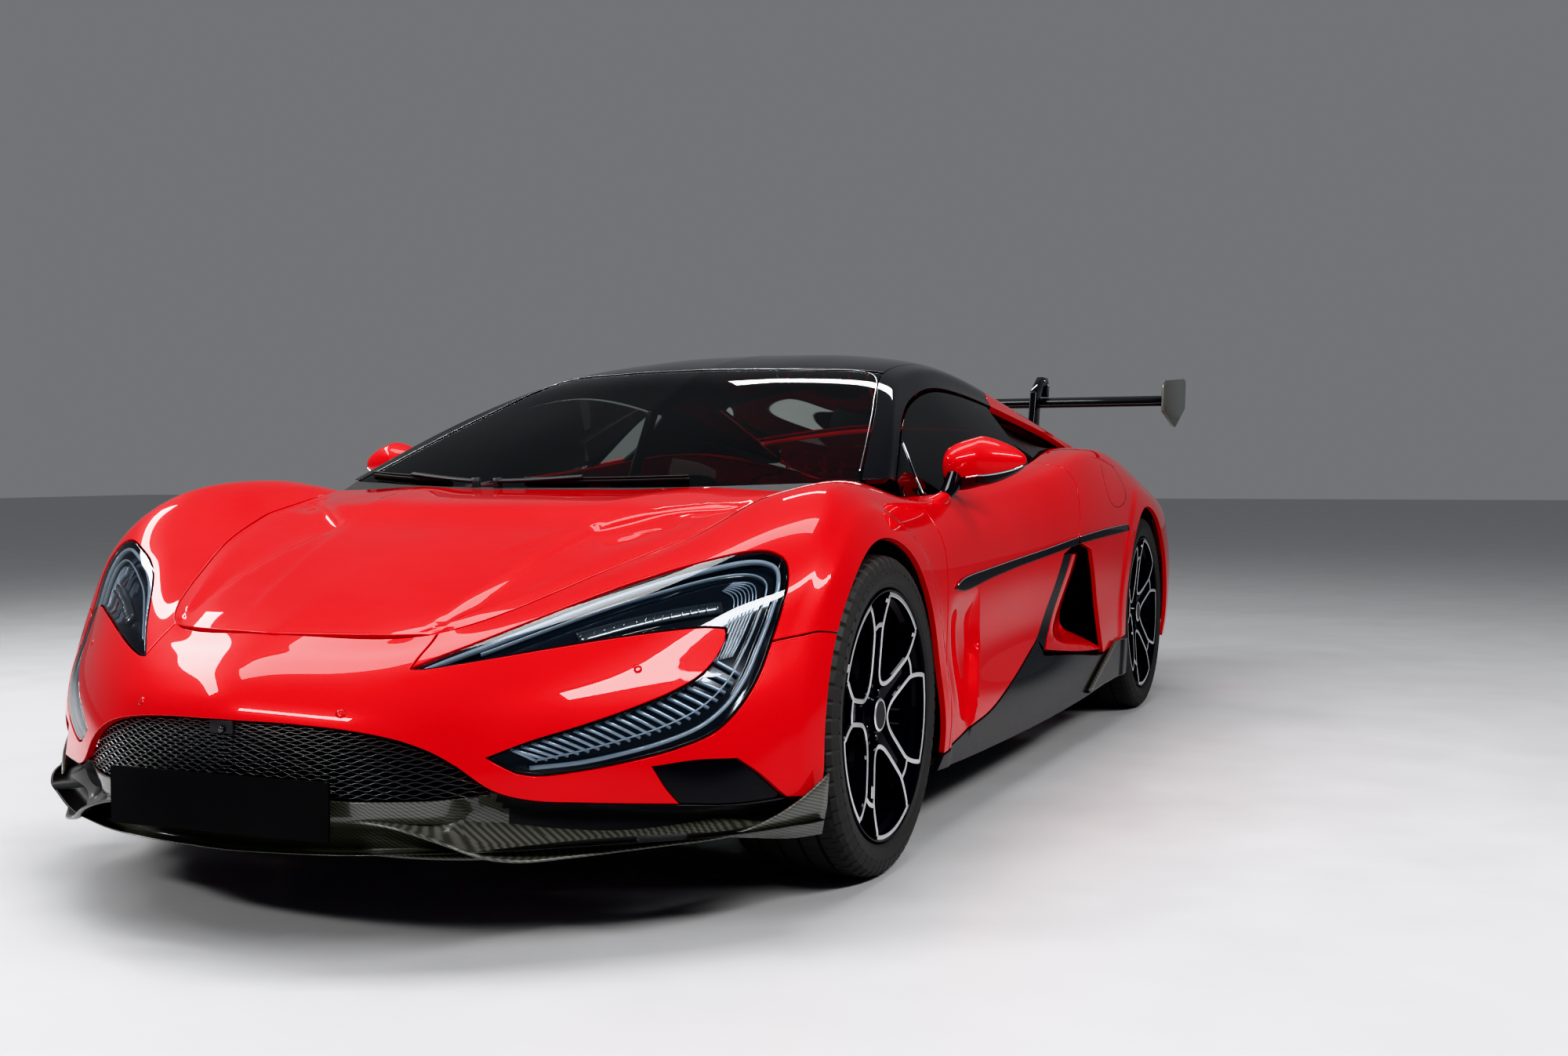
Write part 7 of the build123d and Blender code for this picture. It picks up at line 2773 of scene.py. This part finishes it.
# ---- tail and wing ----
@dataclass
class Tail:
    """Light bars of the tail, its smoked lens, vents and the diffuser's surround."""

    bars: int = 9

    def lights(self) -> Parts:
        """Upright light bars across the black panel, left half.

        Returns:
            The bars.
        """
        parts = Parts()
        for i in range(self.bars):
            s = 19.02 + 1.75 * (i / (self.bars - 1)) ** 0.9
            top = 4.45 + 0.2 * min(1.0, i / 3)
            low = 2.75 - 0.3 * min(1.0, i / 4)
            parts = parts.joined(ribbon(BODY, [(s, low), (s, (low + top) / 2), (s, top)], 0.014, 0.010, -0.014, 10))
        return parts

    def vents(self) -> Parts:
        """Slats low on each side of the tail.

        Returns:
            The slats.
        """
        parts = Parts()
        for k in (1.35, 1.55, 1.75):
            path = [(18.55, k + 0.5), (18.9, k + 0.25), (19.3, k)]
            parts = parts.joined(ribbon(BODY, path, 0.010, 0.004, -0.001, 14))
        return parts

    def band(self) -> Parts:
        """Left half of the smoked lens across the tail.

        Returns:
            The lens.
        """
        top = [(18.75, 3.62), (19.6, 3.86), (20.4, 3.92), (21.0, 3.92)]
        low = [(21.0, 3.30), (20.4, 3.30), (19.6, 3.34), (18.75, 3.50)]
        side = np.array([low[-1], top[0]])
        middle = np.array([top[-1], low[0]])
        return Panel(BODY, [np.array(top), middle, np.array(low), side], sink=0.002, gap=0.0, wall=0.012,
                     open_at=(21.0,), pitch=0.014).mesh()

    def fairing(self) -> Parts:
        """Left half of the carbon surround of the diffuser.

        Returns:
            The surround.
        """
        top = [(19.55, 0.6), (19.75, 1.25), (20.2, 1.50), (21.0, 1.55)]
        low = [(21.0, 0.22), (20.2, 0.12), (19.7, 0.05)]
        side = np.array([low[-1], top[0]])
        middle = np.array([top[-1], low[0]])
        return Panel(BODY, [np.array(top), middle, np.array(low), side], sink=-0.004, gap=0.0, wall=0.020, roll=0.003,
                     open_at=(21.0,), pitch=0.016).mesh()

    def build(self) -> None:
        """Makes the tail pieces."""
        piece(both_sides(self.band()), "tail_lens", Body.CAR.value, ("tail_lamps",), SMOKE)
        piece(both_sides(self.fairing()), "diffuser_surround", Body.CAR.value, (), CARBON)
        piece(both_sides(self.lights()), "tail_light_bars", Body.CAR.value, (), TAIL_RED)
        piece(both_sides(self.vents()), "tail_vents", Body.CAR.value, (), TRIM)


@dataclass
class Wing:
    """Wing blade, pentagonal end plates and swan necks."""

    y: float = 2.325
    z: float = 1.191
    half: float = 0.930
    chord: float = 0.265
    neck_x: float = 0.385

    def blade(self) -> Parts:
        """Aerofoil with a small lip at its rear edge.

        Returns:
            The blade.
        """
        top = [(-0.5, 0.0), (-0.485, 0.0058), (-0.45, 0.0130), (-0.36, 0.0205), (-0.2, 0.0247), (0.0, 0.0235),
               (0.25, 0.0170), (0.46, 0.0100), (0.478, 0.0190), (0.5, 0.0190), (0.5, 0.0060)]
        low = [(0.44, 0.0045), (0.2, 0.0005), (0.0, -0.0050), (-0.2, -0.0088), (-0.38, -0.0085), (-0.47, -0.0050)]
        rows = []
        for x in np.linspace(-self.half, self.half, 40):
            rows.append([(x, self.y + self.chord * a, self.z + h * 1.15 + 0.09 * self.chord * a - 0.006)
                         for a, h in top + low])
        return loft(np.array(rows))

    def plates(self) -> Parts:
        """Five-sided end plates.

        Returns:
            Both plates.
        """
        outline = [(-0.124, 0.082), (0.130, 0.098), (0.150, 0.085), (0.140, -0.030), (0.006, -0.112), (-0.018, -0.110),
                   (-0.155, -0.048), (-0.148, 0.062)]
        plate = prism([(self.y + a, self.z + b) for a, b in outline], self.half, self.half + 0.012)
        plate.verts = [v + np.stack([0.13 * (v[:, 1] - self.y + 0.155), v[:, 1] * 0, v[:, 2] * 0], 1)
                       for v in plate.verts]
        return plate

    def neck(self) -> Parts:
        """Swan neck: up behind the blade and over onto its top.

        Returns:
            The left neck.
        """
        outline = [(-0.255, -0.350), (-0.130, -0.350), (-0.150, -0.150), (-0.115, 0.020), (-0.070, 0.070),
                   (-0.010, 0.078), (-0.020, 0.028), (0.030, 0.028), (0.044, 0.070), (0.010, 0.112), (-0.080, 0.112),
                   (-0.195, 0.045), (-0.245, -0.150)]
        points = [(self.y + 0.040 + a, self.z + b) for a, b in outline]
        ring = np.array(points)
        body = prism([tuple(p) for p in ring], self.neck_x - 0.014, self.neck_x + 0.014)
        for a, b in ((-0.045, 0.095), (0.012, 0.080)):
            c = np.array([self.neck_x, self.y + 0.040 + a, self.z + b])
            body = body.joined(tube(np.array([c - [0.017, 0, 0], c + [0.017, 0, 0]]), 0.006, 3, 12, 1))
        return body

    def build(self) -> None:
        """Makes the wing."""
        tidy(piece(self.blade(), "wing_blade", Body.CAR.value, ("wing",), WING_BLACK), 0.0015)
        tidy(piece(both_sides(self.plates()), "wing_plates", Body.CAR.value, (), CARBON), 0.003, 3)
        necks = piece(both_sides(self.neck()), "wing_swan_necks", Body.CAR.value, ("wing_necks",), GLOSS, MACHINED)
        tidy(necks, 0.004, 3)


# ---- under the bonnet ----
@dataclass
class FrontTrunk:
    """Luggage tub under the bonnet and the bonnet's inner panel."""

    wide: float = 0.44

    def _ring(self, shrink: float, z: float | None, drop: float = 0.05) -> list:
        """Loop inside the bonnet's outline, at a height or just below the lid.

        Args:
            shrink: share by which it is smaller.
            z: its height, or None to follow the lid.
            drop: how far it lies below the lid.

        Returns:
            Points of the loop.
        """
        right = [(0.88, v) for v in np.linspace(0.12, 0.90, 12)]
        rear = [(u, 0.92) for u in np.linspace(0.80, -0.80, 10)]
        left = [(-0.88, v) for v in np.linspace(0.90, 0.12, 12)]
        front = [(u, 0.10) for u in np.linspace(-0.80, 0.80, 10)]
        p = BONNET.points(np.array(right + rear + left + front))
        x = np.clip(p[:, 0], -self.wide, self.wide) * (1 - shrink)
        y = -1.72 + (np.clip(p[:, 1], -2.15, -1.30) + 1.72) * (1 - shrink)
        height = p[:, 2] - drop if z is None else np.full(len(p), z)
        return np.stack([x, y, height], 1).tolist()

    def tub(self) -> Parts:
        """Thin-walled tub with a rolled rim.

        Returns:
            The tub.
        """
        sizes = ((0.10, 0.392), (0.06, 0.42), (0.02, None, 0.075), (-0.04, None, 0.068), (-0.04, None, 0.060),
                 (0.02, None, 0.058), (0.035, None, 0.066), (0.075, 0.43), (0.11, 0.402))
        return loft(np.array([self._ring(*size) for size in sizes]))

    def inner(self) -> Parts:
        """Inner panel of the lid, facing down.

        Returns:
            The panel.
        """
        v = [(0.96, t) for t in np.linspace(0.03, 0.96, 10)]
        rear = [(u, 0.96) for u in np.linspace(0.96, -0.96, 10)]
        left = [(-0.96, t) for t in np.linspace(0.96, 0.03, 10)]
        front = [(u, 0.03) for u in np.linspace(-0.96, 0.96, 10)]
        return Panel(BONNET, [np.array(q) for q in (v, rear, left, front)], scale=(0.55, 1.1), gap=0.004, sink=0.026,
                     wall=0.002, pitch=0.04).mesh().inverted()

    def build(self) -> None:
        """Makes the tub and the inner panel."""
        tidy(piece(self.tub(), "front_tub", Body.CAR.value, (), TRIM), 0.003)
        piece(self.inner(), "bonnet_inner", Body.BONNET.value, (), TRIM)


# ---- whole car ----
# Corners: name, x and y of the wheel's middle, side and width of the tyre.
WHEELS = (("front_left", 0.850, FRONT_AXLE[0], Side.LEFT, 0.275),
          ("front_right", 0.850, FRONT_AXLE[0], Side.RIGHT, 0.275),
          ("rear_left", 0.836, REAR_AXLE[0], Side.LEFT, 0.325),
          ("rear_right", 0.836, REAR_AXLE[0], Side.RIGHT, 0.325))


def build_scene() -> None:
    """Builds every piece around the frame."""
    dress_frame()
    shell = Shell()
    shell.build()
    Lid().build()
    Cab().build()
    HeadLamp().build()
    Nose().build()
    SideTrim().build()
    Mirror().build()
    Intake().build()
    DoorTrim(shell).build()
    Glazing().build()
    Cabin().build()
    FrontTrunk().build()
    Tail().build()
    Wing().build()
    for name, x, y, side, width in WHEELS:
        Wheel(name, x, y, side, width).build()
        Brake(name, x, y, side).build()
    make_stage()


if __name__ == "__main__":
    logging.basicConfig(level=logging.INFO)
    build_scene()
